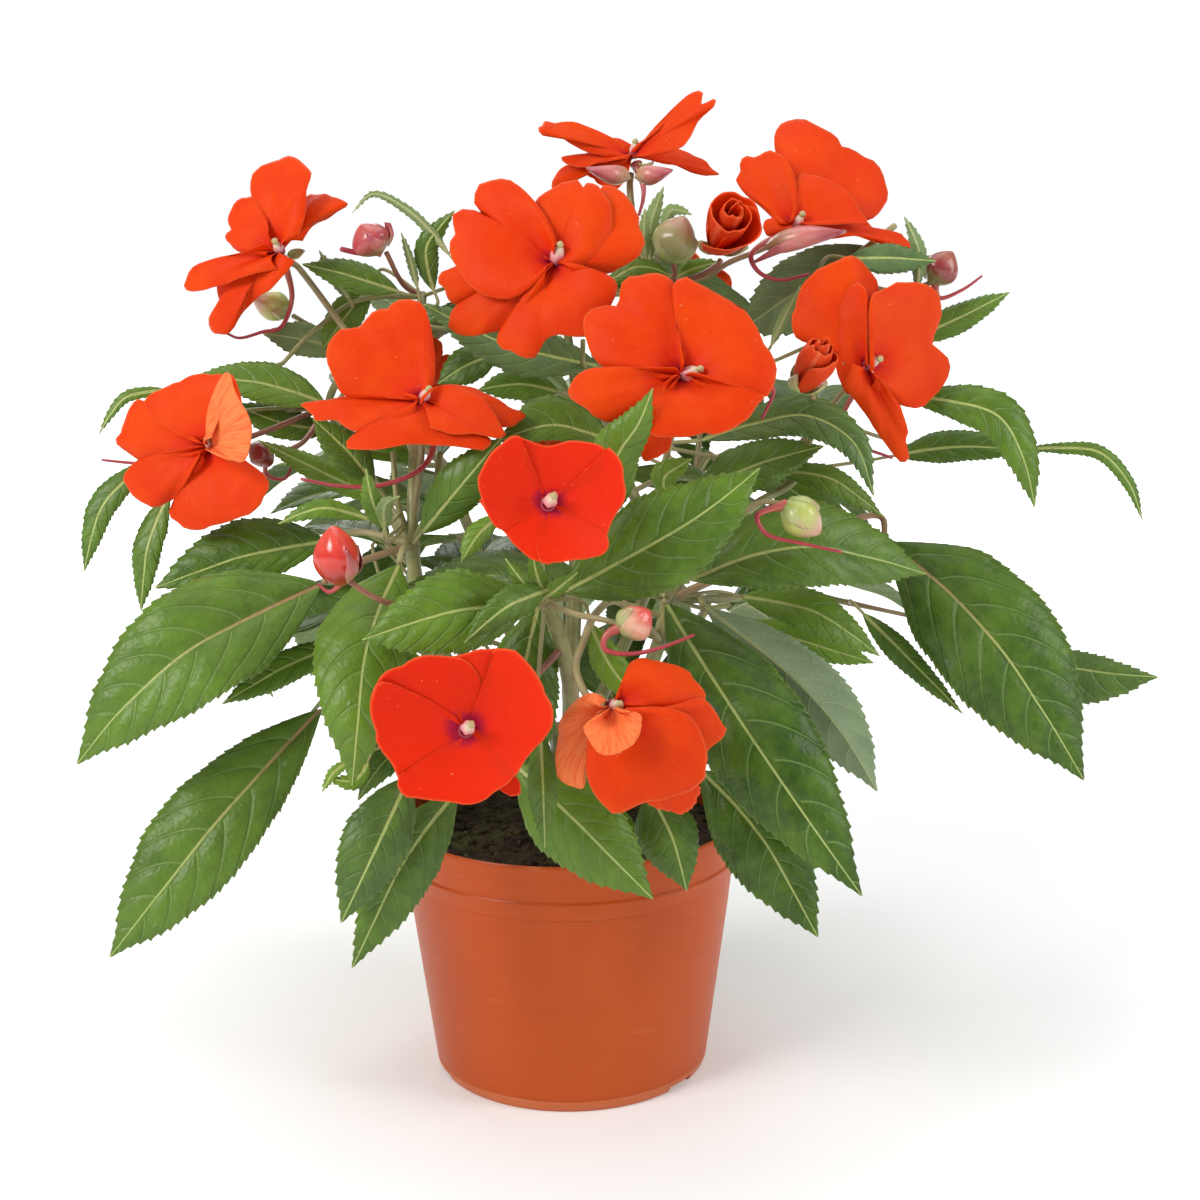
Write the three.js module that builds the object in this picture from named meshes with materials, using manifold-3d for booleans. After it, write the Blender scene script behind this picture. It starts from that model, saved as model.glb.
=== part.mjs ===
// Potted New Guinea impatiens: a bushy flowering plant in a moulded plastic pot.
// Millimetres, +Z up. Origin: centre of the pot's flat underside. The plant's showy side faces -Y.
import * as THREE from 'three';
import { mergeVertices } from 'three/addons/utils/BufferGeometryUtils.js';
import Module from 'manifold-3d';

const wasm = await Module();
wasm.setup();

// ---- driving dimensions ----
const POT_HEIGHT = 90.4;        // standing height of the pot
const RIM_RADIUS = 60;          // outer radius at the rim
const BASE_RADIUS = 47.9;       // outer radius at the foot
const POT_WALL = 1.5;
const BAND_DROP = 18.75;        // lower edge of the rim band, below the rim
const RIDGE_DROP = 13.5;        // fine ridge line in the band
const FOOT_RISE = 2.6;          // raised part of the underside
const BASE_PAD_RADIUS = 17;     // flat disc in the middle of the underside
const DRAIN_HOLES = 6, DRAIN_RADIUS = 4, DRAIN_CIRCLE = 29;
const FOOT_NOTCHES = 3, NOTCH_WIDTH = 12, NOTCH_HEIGHT = 2.2, NOTCH_TURN = -39;
const SOIL_EDGE = 83.2, SOIL_CROWN = 86.2;
const GAP = 0.35;               // clearance between touching pieces
const LEAF_THICKNESS = 0.7;
const PETAL_THICKNESS = 0.6;
const LARGE_LEAF = 30;          // blades longer than this get four steps along and a midrib fold
const STALK_HALF = 0.5;

// ---- solids ----
function toManifold(geometry) {
  const g = geometry.index ? geometry.clone() : geometry.clone();
  for (const a of Object.keys(g.attributes)) if (a !== 'position') g.deleteAttribute(a);
  const m = mergeVertices(g, 1e-4);
  const pos = m.attributes.position, idx = m.index, keep = [];
  for (let i = 0; i < idx.count; i += 3) {
    const a = idx.getX(i), b = idx.getX(i + 1), c = idx.getX(i + 2);
    if (a !== b && b !== c && a !== c) keep.push(a, b, c);
  }
  // faces point out: flip when the signed volume is negative
  let vol = 0;
  const A = new THREE.Vector3(), B = new THREE.Vector3(), C = new THREE.Vector3();
  for (let i = 0; i < keep.length; i += 3) {
    A.fromBufferAttribute(pos, keep[i]); B.fromBufferAttribute(pos, keep[i + 1]); C.fromBufferAttribute(pos, keep[i + 2]);
    vol += A.dot(B.cross(C));
  }
  if (vol < 0) for (let i = 0; i < keep.length; i += 3) { const t = keep[i + 1]; keep[i + 1] = keep[i + 2]; keep[i + 2] = t; }
  return new wasm.Manifold(new wasm.Mesh({ numProp: 3, vertProperties: Float32Array.from(pos.array), triVerts: Uint32Array.from(keep) }));
}
function toGeometry(solid) {
  const m = solid.getMesh();
  const g = new THREE.BufferGeometry();
  g.setAttribute('position', new THREE.BufferAttribute(Float32Array.from(m.vertProperties), 3));
  g.setIndex(new THREE.BufferAttribute(Uint32Array.from(m.triVerts), 1));
  return g;
}
function join(list) { let s = list[0]; for (const t of list.slice(1)) s = s.add(t); return s; }
function pieces(solid, least) { return solid.decompose().filter((p) => p.volume() > least).sort((a, b) => b.volume() - a.volume()); }
function largest(solid) { return pieces(solid, 0)[0]; }

// ---- curves ----
const V = (p) => new THREE.Vector3(p[0], p[1], p[2]);
function along(P, t) {
  const n = P.length - 1; t = Math.min(Math.max(t, 0), 1) * n;
  const i = Math.min(Math.floor(t), n - 1), u = t - i;
  const p1 = P[i], p2 = P[i + 1];
  const p0 = i > 0 ? P[i - 1] : p1.clone().multiplyScalar(2).sub(p2);
  const p3 = i + 2 <= n ? P[i + 2] : p2.clone().multiplyScalar(2).sub(p1);
  const f = (a, b, c, d) => 0.5 * (2 * b + (c - a) * u + (2 * a - 5 * b + 4 * c - d) * u * u + (3 * b - a - 3 * c + d) * u * u * u);
  return new THREE.Vector3(f(p0.x, p1.x, p2.x, p3.x), f(p0.y, p1.y, p2.y, p3.y), f(p0.z, p1.z, p2.z, p3.z));
}
function heading(P, t, d) { return along(P, Math.min(t + d, 1)).sub(along(P, Math.max(t - d, 0))).normalize(); }
// turn v by the smallest rotation that carries a onto b
function carry(v, a, b) {
  const k = a.clone().cross(b), c = a.dot(b);
  return v.clone().multiplyScalar(c).add(k.clone().cross(v)).add(k.clone().multiplyScalar(k.dot(v) / (1 + c + 1e-9)));
}
function blend(values, t) { const n = values.length - 1, x = t * n, i = Math.min(Math.floor(x), n - 1); return values[i].clone().lerp(values[i + 1], x - i); }

// width of a leaf blade along its length: 1 at the widest place, 0 at base and tip
function bladeWidth(t, peak) {
  const q = 1.05, p = peak / (1 - peak) * q;
  const m = Math.pow(peak, p) * Math.pow(1 - peak, q);
  return Math.pow(Math.pow(Math.max(t, 0), p) * Math.pow(Math.max(1 - t, 0), q) / m, 0.8);
}
// a slab of BoxGeometry, carried onto a surface: x runs along, y across, z through
function slab(nu, nv, thickness, fn) {
  const g = new THREE.BoxGeometry(1, 1, 1, nu, nv, 1), pos = g.attributes.position;
  for (let i = 0; i < pos.count; i++) {
    const [p, n] = fn(pos.getX(i) + 0.5, pos.getY(i) + 0.5);
    p.addScaledVector(n, pos.getZ(i) * thickness);
    pos.setXYZ(i, p.x, p.y, p.z);
  }
  return toManifold(g);
}
// leaf blade: midrib points, left and right edge vectors at mid length, place of the widest part
function leafBlade(mid, left, right, peak) {
  const M = mid.map(V), large = M[0].distanceTo(M[4]) > LARGE_LEAF, n = large ? 4 : 2, h = n / 2, T = [], L = [], R = [];
  for (let i = 0; i <= n; i++) T.push(heading(M, i / n, 0.02));
  L[h] = V(left); R[h] = V(right);
  for (let i = h + 1; i <= n; i++) { L[i] = carry(L[i - 1], T[i - 1], T[i]); R[i] = carry(R[i - 1], T[i - 1], T[i]); }
  for (let i = h - 1; i >= 0; i--) { L[i] = carry(L[i + 1], T[i + 1], T[i]); R[i] = carry(R[i + 1], T[i + 1], T[i]); }
  return slab(n, large ? 2 : 1, LEAF_THICKNESS, (u, v) => {
    const i = Math.round(u * n), w = Math.max(bladeWidth(i / n, peak), 0.05), p = along(M, i / n);
    const normal = T[i].clone().cross(R[i].clone().sub(L[i])).normalize();
    if (v < 0.25) p.addScaledVector(L[i], w); else if (v > 0.75) p.addScaledVector(R[i], w);
    return [p, normal];
  });
}
// small leaf: its stalk and blade in one strip, from its root on the branch
function sprout(root, mid, left, right, peak) {
  const M = mid.map(V), T = heading(M, 0.5, 0.02), wide = V(right).sub(V(left));
  const normal = T.clone().cross(wide).normalize(), dir = M[0].clone().sub(V(root)).normalize();
  let side = wide.clone().addScaledVector(dir, -wide.dot(dir)).normalize();
  if (Math.abs(wide.clone().normalize().dot(dir)) > 0.9) side = dir.clone().cross(normal).normalize();
  const up = dir.clone().cross(side).normalize();
  const w = bladeWidth(0.5, peak), m = along(M, 0.5);
  const rows = [[V(root), side, up], [M[0], side, up], [m, null, normal, w], [M[4], null, normal, 0.03]];
  return slab(3, 1, LEAF_THICKNESS + 0.1, (u, v) => {
    const [p, s, n, k] = rows[Math.round(u * 3)];
    const q = p.clone();
    if (s) q.addScaledVector(s, v < 0.5 ? -STALK_HALF : STALK_HALF); else q.addScaledVector(v < 0.5 ? V(left) : V(right), k);
    return [q, n];
  });
}
// corolla: the joined petals as one lobed disc, a flattened CylinderGeometry whose rim follows the outline
function corolla(centre, normal, outline) {
  const c = V(centre), N = V(normal), k = outline.length, g = new THREE.CylinderGeometry(1, 1, 1, k), pos = g.attributes.position;
  for (let i = 0; i < pos.count; i++) {
    const x = pos.getX(i), z = pos.getZ(i), side = Math.sign(pos.getY(i)) * PETAL_THICKNESS / 2;
    const onRim = Math.hypot(x, z) > 0.5, j = Math.round(Math.atan2(z, x) / (2 * Math.PI) * k + k) % k;
    const p = (onRim ? V(outline[j]) : c.clone()).addScaledVector(N, side);
    pos.setXYZ(i, p.x, p.y, p.z);
  }
  return toManifold(g);
}
// stalk: a round tapered rod along a smooth curve
function stalk(path, r0, r1, extra = 0) {
  const sides = r0 > 1.3 ? 5 : r0 > 1.22 ? 4 : 3, steps = path.length - 1;
  const P = path.map(V), T = [], A = [];
  for (let i = 0; i <= steps; i++) T.push(heading(P, i / steps, 0.01));
  A[0] = T[0].clone().cross(Math.abs(T[0].z) < 0.9 ? new THREE.Vector3(0, 0, 1) : new THREE.Vector3(1, 0, 0)).normalize();
  for (let i = 1; i <= steps; i++) A[i] = carry(A[i - 1], T[i - 1], T[i]);
  const g = new THREE.CylinderGeometry(1, 1, 1, sides, steps), pos = g.attributes.position;
  for (let k = 0; k < pos.count; k++) {
    const i = Math.round((pos.getY(k) + 0.5) * steps), t = i / steps, r = r0 + (r1 - r0) * t;
    const B = A[i].clone().cross(T[i]), p = along(P, t).addScaledVector(A[i], pos.getX(k) * (r + extra)).addScaledVector(B, pos.getZ(k) * (r + extra));
    pos.setXYZ(k, p.x, p.y, p.z);
  }
  return toManifold(g);
}
// bud: a turned spindle from its stalk end to its tip
function bud(centre, tip, foot, radius) {
  const c = V(centre), axis = V(tip).sub(V(foot)).normalize();
  const fore = Math.max(V(tip).distanceTo(c), radius), aft = Math.max(V(foot).distanceTo(c), radius * 0.9);
  const profile = [[0, -aft], [0.72 * radius, -0.62 * aft], [radius, -0.1 * aft], [0.82 * radius, 0.45 * fore], [0.45 * radius, 0.8 * fore], [0, fore]];
  const g = new THREE.LatheGeometry(profile.map((p) => new THREE.Vector2(p[0], p[1])), 7);
  g.applyQuaternion(new THREE.Quaternion().setFromUnitVectors(new THREE.Vector3(0, 1, 0), axis));
  g.translate(c.x, c.y, c.z);
  return toManifold(g);
}
function turned(profile, sides) {
  const g = new THREE.LatheGeometry(profile.map((p) => new THREE.Vector2(p[0], p[1])), sides);
  g.rotateX(Math.PI / 2);
  return toManifold(g);
}

// leaf blades: node, five midrib points from base to tip, left and right edge vectors, widest place, 1 = pale underside shows
const LEAVES = [
  ["leaf_left_large",[[-75.46,-58.0,183.13],[-94.7,-69.58,175.73],[-113.82,-79.69,166.29],[-131.53,-84.54,151.66],[-146.96,-84.0,133.75]],[10.02,-7.25,-11.89],[-10.89,6.27,13.83],0.42,0],
  ["leaf_left_low",[[-77.83,-52.0,141.84],[-93.38,-65.7,127.39],[-108.92,-77.47,111.35],[-124.51,-84.91,93.02],[-140.3,-86.0,73.33]],[10.55,-2.7,-8.51],[-12.27,5.25,8.81],0.55,0],
  ["leaf_front_left",[[-51.35,-60.0,189.44],[-55.88,-75.78,179.09],[-59.54,-89.83,166.39],[-61.09,-98.19,149.07],[-63.45,-98.0,129.9]],[12.77,4.04,-3.72],[-14.87,4.39,2.07],0.45,0],
  ["leaf_front_centre",[[-10.74,-87.8,181.79],[-21.78,-94.92,182.35],[-33.44,-100.84,181.96],[-46.0,-102.5,178.66],[-58.48,-102.81,174.56]],[2.47,-4.58,-10.45],[-2.49,4.58,10.56],0.45,0],
  ["leaf_over_pot_left_outer",[[-47.53,-86.0,129.45],[-51.74,-94.45,121.42],[-56.54,-100.76,112.02],[-61.94,-102.77,101.07],[-67.37,-104.0,90.0]],[7.58,2.58,-4.91],[-9.63,2.06,4.13],0.45,0],
  ["leaf_over_pot_left",[[-34.07,-74.0,120.91],[-42.63,-85.09,112.87],[-51.04,-93.23,101.98],[-58.36,-96.04,87.87],[-65.42,-98.0,73.47]],[8.38,2.96,-6.54],[-7.0,1.57,3.78],0.45,0],
  ["leaf_over_pot_centre",[[-16.09,-85.13,131.84],[-6.17,-93.1,124.63],[4.12,-98.17,115.69],[14.3,-99.84,105.32],[24.42,-101.09,94.81]],[8.85,4.84,7.57],[-9.23,2.53,-10.44],0.42,0],
  ["leaf_front_right_large",[[31.12,-48.0,173.85],[41.2,-71.4,159.48],[53.87,-90.42,141.45],[69.55,-100.14,119.04],[86.2,-102.0,95.06]],[15.53,6.14,8.43],[-12.14,2.19,-9.01],0.5,0],
  ["leaf_front_right_low",[[41.55,-58.0,121.47],[51.84,-66.58,112.46],[61.29,-73.24,101.31],[69.09,-76.86,87.66],[76.59,-80.0,73.7]],[10.18,3.44,5.62],[-11.04,2.66,-8.8],0.45,0],
  ["leaf_right_large",[[108.89,-8.0,185.79],[126.31,-21.08,171.77],[141.84,-32.44,154.46],[155.73,-38.71,133.6],[168.86,-42.0,111.49]],[18.07,7.29,11.63],[-16.11,-2.02,-12.27],0.45,0],
  ["leaf_right_middle",[[38.62,-54.0,181.92],[57.32,-57.25,189.81],[77.36,-56.9,192.33],[96.53,-51.29,187.56],[114.65,-44.0,181.11]],[1.1,7.16,13.39],[-0.91,-5.92,-10.88],0.45,0],
  ["leaf_centre_right",[[-1.33,-84.0,184.24],[14.17,-85.48,192.45],[29.62,-85.68,200.82],[44.24,-81.43,209.59],[57.81,-76.0,219.39]],[-6.66,5.43,10.98],[6.72,-5.55,-11.07],0.45,0],
  ["leaf_right_arching",[[43.95,-24.0,222.63],[60.77,-27.38,228.02],[77.93,-31.63,230.68],[92.06,-37.03,222.43],[98.2,-40.0,205.81]],[1.57,3.26,6.0],[-1.83,-5.22,-5.76],0.45,0],
  ["leaf_right_drooping",[[111.82,-8.0,234.95],[127.81,-11.97,233.42],[142.89,-16.29,228.6],[151.02,-18.91,214.82],[155.19,-20.0,198.85]],[5.24,3.68,5.33],[-4.79,-2.81,-5.11],0.5,0],
  ["leaf_centre_pale",[[12.25,4.0,245.15],[-2.86,1.08,248.54],[-17.84,-1.72,252.53],[-32.01,-3.99,259.0],[-45.69,-6.0,266.58]],[-2.58,-4.12,-7.25],[2.82,4.46,7.93],0.45,0],
  ["leaf_right_turned_over",[[44.76,-36.0,169.71],[60.04,-44.52,158.55],[75.02,-51.63,146.15],[88.17,-54.2,130.37],[98.66,-54.0,112.47]],[8.24,4.28,6.69],[-7.23,3.21,-8.56],0.55,1],
  ["leaf_upper_right",[[103.88,14.0,284.14],[92.65,15.23,277.38],[81.47,16.0,270.46],[70.57,15.27,263.12],[59.81,14.0,255.65]],[8.35,4.24,-11.51],[-6.56,-3.39,9.03],0.5,0],
  ["leaf_left_middle",[[-75.55,-40.0,193.41],[-89.54,-41.08,191.51],[-103.39,-42.13,188.78],[-116.82,-43.07,184.4],[-130.14,-44.0,179.65]],[2.6,-4.16,-7.34],[-3.63,5.76,10.28],0.45,0],
  ["leaf_front_shaded",[[-8.69,-70.85,177.55],[-11.73,-76.32,165.97],[-13.72,-80.89,153.84],[-12.32,-82.39,140.89],[-9.89,-82.88,127.96]],[10.77,3.22,-1.07],[-10.93,3.22,-0.51],0.5,0],
  ["leaf_back_right_outer",[[57.11,70.67,205.68],[75.31,82.04,201.81],[92.81,92.98,194.8],[109.25,103.25,184.81],[124.26,112.63,172.08]],[-7.01,16.64,6.76],[10.48,-16.17,0.75],0.45,0],
  ["leaf_back_right_inner",[[52.79,86.64,199.29],[58.93,109.58,202.42],[65.08,132.53,199.29],[70.81,153.91,190.12],[75.73,172.26,175.54]],[-18.63,6.65,5.97],[19.97,-4.64,2.57],0.45,0],
  ["stem_far_left",[[-135.94,-16.0,217.21],[-144.04,-19.23,210.53],[-151.0,-22.19,202.66],[-154.5,-24.23,192.49],[-157.07,-26.0,181.96]],[3.75,-0.86,-2.04],[-4.29,1.86,2.08],0.45,0,[-79.51,4.08,233.05]],
  ["stem_far_left",[[-130.44,-14.0,206.33],[-134.43,-17.4,197.57],[-137.55,-20.34,188.33],[-138.88,-22.28,178.41],[-139.82,-24.0,168.39]],[4.62,-0.93,-0.94],[-4.86,1.86,0.79],0.45,0,[-79.45,4.1,233.14]],
  ["stem_far_left",[[-74.67,14.6,250.15],[-81.29,13.65,252.3],[-87.96,12.68,254.29],[-94.78,11.65,255.62],[-101.66,10.6,256.66]],[-0.99,-2.81,-5.11],[1.06,2.99,5.46],0.5,1,[-72.84,20.24,249.84]],
  ["stem_far_left",[[-78.47,-8.0,234.28],[-88.65,-9.31,238.33],[-99.2,-10.09,241.4],[-110.11,-10.11,243.01],[-121.06,-10.0,244.38]],[-0.7,-4.26,-5.44],[0.88,5.21,6.74],0.45,0,[-79.78,4.34,232.95]],
  ["stem_far_left",[[-78.19,0.0,224.91],[-86.62,-1.25,225.92],[-94.97,-2.07,227.7],[-102.98,-2.11,230.8],[-110.9,-2.0,234.13]],[-1.04,-3.09,-4.53],[1.13,3.29,4.87],0.5,0,[-79.86,4.31,233.61]],
  ["stem_far_left",[[-75.84,14.64,236.35],[-73.69,28.09,239.6],[-71.48,41.91,239.12],[-69.37,55.11,234.94],[-67.51,66.74,227.37]],[-10.37,1.98,1.87],[10.32,-1.19,2.67],0.438,0],
  ["stem_front",[[-8.2,-98.02,147.54],[-7.8,-103.51,140.21],[-7.44,-108.09,132.31],[-7.25,-109.58,123.3],[-7.12,-110.07,114.14]],[4.0,2.37,-0.61],[-4.37,2.54,-0.88],0.5,0,[-6.37,-83.84,181.69]],
  ["stem_front",[[24.03,-80.0,121.87],[27.74,-84.56,115.88],[31.09,-88.21,109.16],[33.32,-89.41,101.19],[35.24,-90.0,93.05]],[7.5,2.29,2.02],[-10.03,3.17,-4.94],0.4,0,[-0.16,-8.53,99.85]],
  ["stem_front",[[-5.36,-93.07,186.58],[-10.86,-99.1,185.7],[-16.69,-104.63,184.17],[-23.08,-106.76,179.69],[-29.2,-107.15,174.24]],[2.12,0.85,-3.91],[-2.48,1.45,3.95],0.4,0,[-6.46,-83.4,180.94]],
  ["stem_front",[[-6.28,-91.06,183.84],[-4.21,-93.73,185.89],[-2.09,-96.32,187.97],[0.48,-98.14,190.31],[3.36,-99.11,192.83]],[-1.39,-0.69,1.99],[1.39,0.69,-2.0],0.4,0,[-6.4,-83.26,181.03]],
  ["stem_front",[[-7.77,-89.05,183.48],[-9.93,-92.17,186.13],[-12.24,-94.9,189.03],[-14.9,-95.48,192.7],[-17.56,-95.09,196.47]],[-1.99,0.78,-1.87],[1.95,0.78,1.59],0.4,0,[-6.17,-83.22,180.95]],
  ["stem_front",[[-6.3,-89.05,184.06],[-7.38,-91.78,187.53],[-8.43,-94.4,191.09],[-9.21,-96.16,195.19],[-9.72,-97.1,199.61]],[-2.24,0.7,-0.76],[2.21,0.7,0.52],0.4,0,[-6.39,-83.78,181.17]],
  ["stem_front",[[7.01,-71.92,172.61],[9.6,-75.52,166.59],[12.87,-78.25,160.47],[17.21,-79.27,154.46],[21.72,-79.95,148.53]],[4.16,1.44,2.22],[-4.13,-0.96,-2.33],0.5,0,[-6.92,-84.48,181.64]],
  ["stem_front",[[-69.56,-36.0,160.3],[-80.37,-38.36,156.69],[-91.0,-40.24,152.37],[-101.19,-41.21,146.84],[-111.27,-42.0,141.08]],[2.52,-2.57,-4.14],[-2.53,2.57,4.17],0.5,0,[0.64,-8.75,99.45]],
  ["stem_front",[[53.95,-56.0,95.76],[57.74,-58.03,90.17],[61.6,-59.8,84.56],[65.78,-60.27,78.92],[70.09,-60.0,73.36]],[3.77,1.3,2.22],[-3.48,1.3,-3.17],0.4,0,[-0.39,-8.66,100.03]],
  ["stem_front",[[13.19,-74.0,115.39],[15.31,-75.97,111.22],[17.45,-77.74,106.98],[19.67,-78.28,102.48],[21.89,-78.0,97.92]],[3.35,1.08,1.31],[-3.28,1.08,-2.03],0.4,0,[1.32,-54.11,132.63]],
  ["stem_right",[[146.8,8.0,147.95],[161.42,7.2,142.95],[176.18,6.21,138.41],[191.35,4.34,136.18],[206.62,2.0,135.21]],[1.94,2.96,5.29],[-3.52,-4.73,-10.77],0.5,0],
  ["stem_right",[[12.06,-73.62,202.51],[13.28,-76.92,213.31],[15.52,-79.9,224.0],[21.62,-81.51,233.4],[25.96,-79.57,243.58]],[-7.49,2.51,3.05],[6.01,1.97,-2.83],0.4,0,[32.79,-39.58,172.58]],
  ["stem_right",[[99.51,-14.0,162.97],[107.93,-16.65,154.57],[116.41,-18.42,146.01],[124.9,-19.27,137.31],[133.4,-20.0,128.6]],[2.88,1.47,2.3],[-3.22,-0.87,-2.91],0.35,0,[97.63,0.34,163.38]],
  ["stem_right",[[56.28,-34.0,172.81],[68.34,-37.27,171.22],[80.22,-40.06,168.27],[90.83,-41.27,161.64],[100.86,-42.0,154.06]],[2.95,3.21,5.37],[-3.02,-3.85,-5.19],0.45,0,[31.95,-40.15,172.95]],
  ["stem_right",[[58.79,-26.0,162.52],[69.2,-27.91,159.21],[79.63,-29.72,155.91],[90.16,-31.01,152.66],[100.74,-32.0,149.45]],[2.15,2.94,5.12],[-1.85,-2.94,-4.13],0.5,0,[31.96,-40.31,173.18]],
  ["stem_right",[[48.72,-28.0,157.01],[44.57,-30.03,152.69],[40.47,-31.89,148.24],[36.6,-33.09,143.39],[32.84,-34.0,138.39]],[4.8,1.76,-4.24],[-4.54,1.76,3.4],0.5,0,[32.1,-40.33,173.38]],
  ["stem_right",[[16.63,-42.47,173.35],[0.18,-46.18,179.51],[-17.03,-50.05,182.87],[-34.54,-53.99,183.32],[-51.9,-57.9,180.86]],[3.08,-13.98,-0.66],[-2.11,12.56,6.57],0.457,0],
  ["stem_right",[[33.58,-41.7,143.82],[48.6,-54.14,141.36],[62.43,-65.61,133.41],[73.92,-75.14,120.63],[82.11,-81.92,104.1]],[9.0,11.5,-0.65],[-5.45,-12.27,5.77],0.447,0],
  ["stem_upper_right",[[41.8,-18.0,204.88],[52.82,-16.13,209.36],[63.95,-14.01,213.44],[75.3,-11.13,216.21],[86.7,-8.0,218.55]],[-2.17,4.84,7.05],[2.14,-4.84,-6.97],0.45,0,[80.87,4.3,209.21]],
  ["stem_upper_right",[[71.07,-2.0,209.28],[81.13,-4.36,209.09],[90.91,-6.27,206.71],[99.31,-7.22,200.79],[107.35,-8.0,194.34]],[2.0,2.45,3.38],[-2.32,-2.86,-3.92],0.45,0,[80.93,4.38,209.14]],
  ["stem_upper_right",[[112.53,6.0,213.38],[124.29,4.97,215.45],[136.14,3.63,216.53],[147.98,1.85,216.16],[159.81,0.0,215.56]],[0.47,3.53,5.46],[-0.28,-2.42,-4.52],0.42,0,[79.57,3.95,209.05]],
  ["stem_upper_right",[[154.51,6.0,214.98],[168.85,4.85,215.62],[183.0,3.33,214.06],[192.62,1.37,204.04],[197.96,0.0,190.74]],[1.25,0.97,2.05],[-1.24,-0.97,-2.04],0.6,0,[82.99,6.51,228.24]],
  ["stem_upper_right",[[115.74,6.0,252.08],[124.62,6.13,255.79],[133.41,5.95,259.7],[141.94,5.06,264.05],[150.41,4.0,268.5]],[-1.65,2.43,4.17],[1.64,-2.43,-4.14],0.45,0,[83.96,8.01,269.82]],
  ["stem_upper_right",[[117.87,-0.09,268.87],[118.34,-1.18,275.3],[118.19,-2.07,281.76],[115.89,-2.21,287.86],[112.89,-2.08,293.67]],[-2.15,0.72,-0.32],[2.44,0.72,0.32],0.45,0,[84.0,8.08,267.16]],
  ["stem_upper_right",[[93.61,-4.08,280.23],[100.63,-6.24,280.23],[107.72,-8.12,280.09],[114.96,-9.2,279.6],[122.23,-10.06,279.01]],[0.49,2.38,4.51],[-0.62,-3.06,-4.81],0.45,0,[83.96,8.28,269.45]],
  ["stem_upper_right",[[69.44,1.9,250.72],[71.76,0.87,256.02],[74.13,-0.02,261.32],[76.7,-0.23,266.6],[79.36,-0.09,271.85]],[-1.45,0.52,0.72],[1.58,0.52,-0.75],0.4,0,[86.04,8.32,252.11]],
  ["stem_upper_right",[[83.39,14.09,220.53],[87.08,34.54,227.62],[90.93,55.9,230.84],[94.82,77.49,230.09],[98.63,98.59,225.4]],[-17.61,2.87,5.24],[18.08,-3.42,2.72],0.499,0],
  ["stem_upper_left",[[-36.13,-6.0,281.36],[-42.92,-6.0,290.18],[-51.15,-6.0,297.65],[-61.13,-6.0,302.13],[-68.62,-6.0,295.72]],[-0.97,0.51,-1.31],[0.77,-0.41,1.05],0.3,0,[-47.63,8.33,268.61]],
  ["stem_upper_left",[[-42.44,-4.0,270.41],[-44.24,-5.13,277.69],[-44.39,-6.03,285.1],[-40.0,-6.12,291.22],[-34.77,-6.0,296.71]],[-3.53,1.12,0.98],[3.67,1.23,-1.05],0.4,0,[-47.56,4.01,263.21]],
  ["stem_upper_left",[[-47.69,-4.0,271.1],[-48.59,-5.17,275.78],[-49.64,-6.03,280.48],[-51.05,-6.12,285.17],[-52.55,-6.0,289.84]],[-1.3,0.41,-0.35],[1.23,0.41,0.35],0.4,0,[-47.29,4.88,264.03]],
  ["stem_upper_left",[[-54.17,2.0,270.4],[-61.97,1.04,273.08],[-69.81,0.07,275.65],[-77.76,-0.96,277.83],[-85.75,-2.0,279.85]],[-1.09,-2.89,-4.33],[1.26,3.3,4.99],0.45,0,[-46.78,8.52,268.78]],
  ["stem_upper_left",[[-71.57,8.0,267.8],[-74.18,8.0,271.85],[-76.77,8.0,275.91],[-79.18,8.0,280.07],[-81.33,8.0,284.39]],[-1.81,0.63,-1.06],[1.65,0.63,1.05],0.4,0,[-70.78,9.35,265.29]],
  ["stem_upper_left",[[-129.5,-10.0,239.56],[-136.79,-10.97,238.99],[-143.82,-11.99,237.27],[-148.67,-13.02,231.91],[-152.56,-14.0,225.72]],[0.9,-0.51,-1.36],[-1.13,0.81,1.62],0.4,0,[-93.26,0.11,247.53]],
  ["stem_upper_left",[[-21.65,12.0,249.76],[-27.3,12.0,247.73],[-32.88,12.0,245.52],[-38.08,12.0,242.52],[-43.03,12.0,239.12]],[2.76,-2.53,-5.32],[-2.77,2.53,5.35],0.5,0,[-48.0,-0.42,259.41]],
  ["stem_upper_left",[[-64.43,12.0,272.98],[-68.92,10.95,267.71],[-73.32,9.92,262.35],[-77.49,8.95,256.81],[-81.59,8.0,251.22]],[4.32,-1.12,-3.22],[-4.95,1.89,3.61],0.5,0,[-47.12,7.94,268.85]],
  ["stem_upper_left",[[-49.41,7.14,258.68],[-53.04,26.05,263.85],[-56.79,45.62,264.49],[-60.47,64.82,260.58],[-63.89,82.64,252.31]],[-14.17,-2.02,8.3],[16.21,2.98,-1.56],0.457,0],
  ["stem_upper_centre",[[14.87,-42.44,224.17],[6.25,-44.42,227.53],[-2.66,-46.29,230.02],[-11.83,-47.54,228.42],[-20.66,-48.46,225.16]],[-0.14,-2.67,-4.09],[0.31,5.72,8.86],0.5,0,[12.46,18.51,237.91]],
  ["stem_upper_centre",[[-1.36,8.0,236.26],[-8.23,8.13,238.01],[-15.22,7.98,239.12],[-22.21,7.09,238.49],[-29.13,6.0,237.37]],[-0.12,-2.62,-4.88],[0.12,2.62,4.91],0.5,0,[9.48,7.57,243.11]],
  ["stem_upper_centre",[[12.41,0.15,271.8],[18.08,-0.8,274.99],[23.93,-1.69,277.84],[30.32,-2.01,277.38],[36.25,-1.87,274.55]],[-0.47,1.37,2.55],[0.52,-1.54,-2.86],0.5,0,[25.93,10.54,268.9]],
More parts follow.
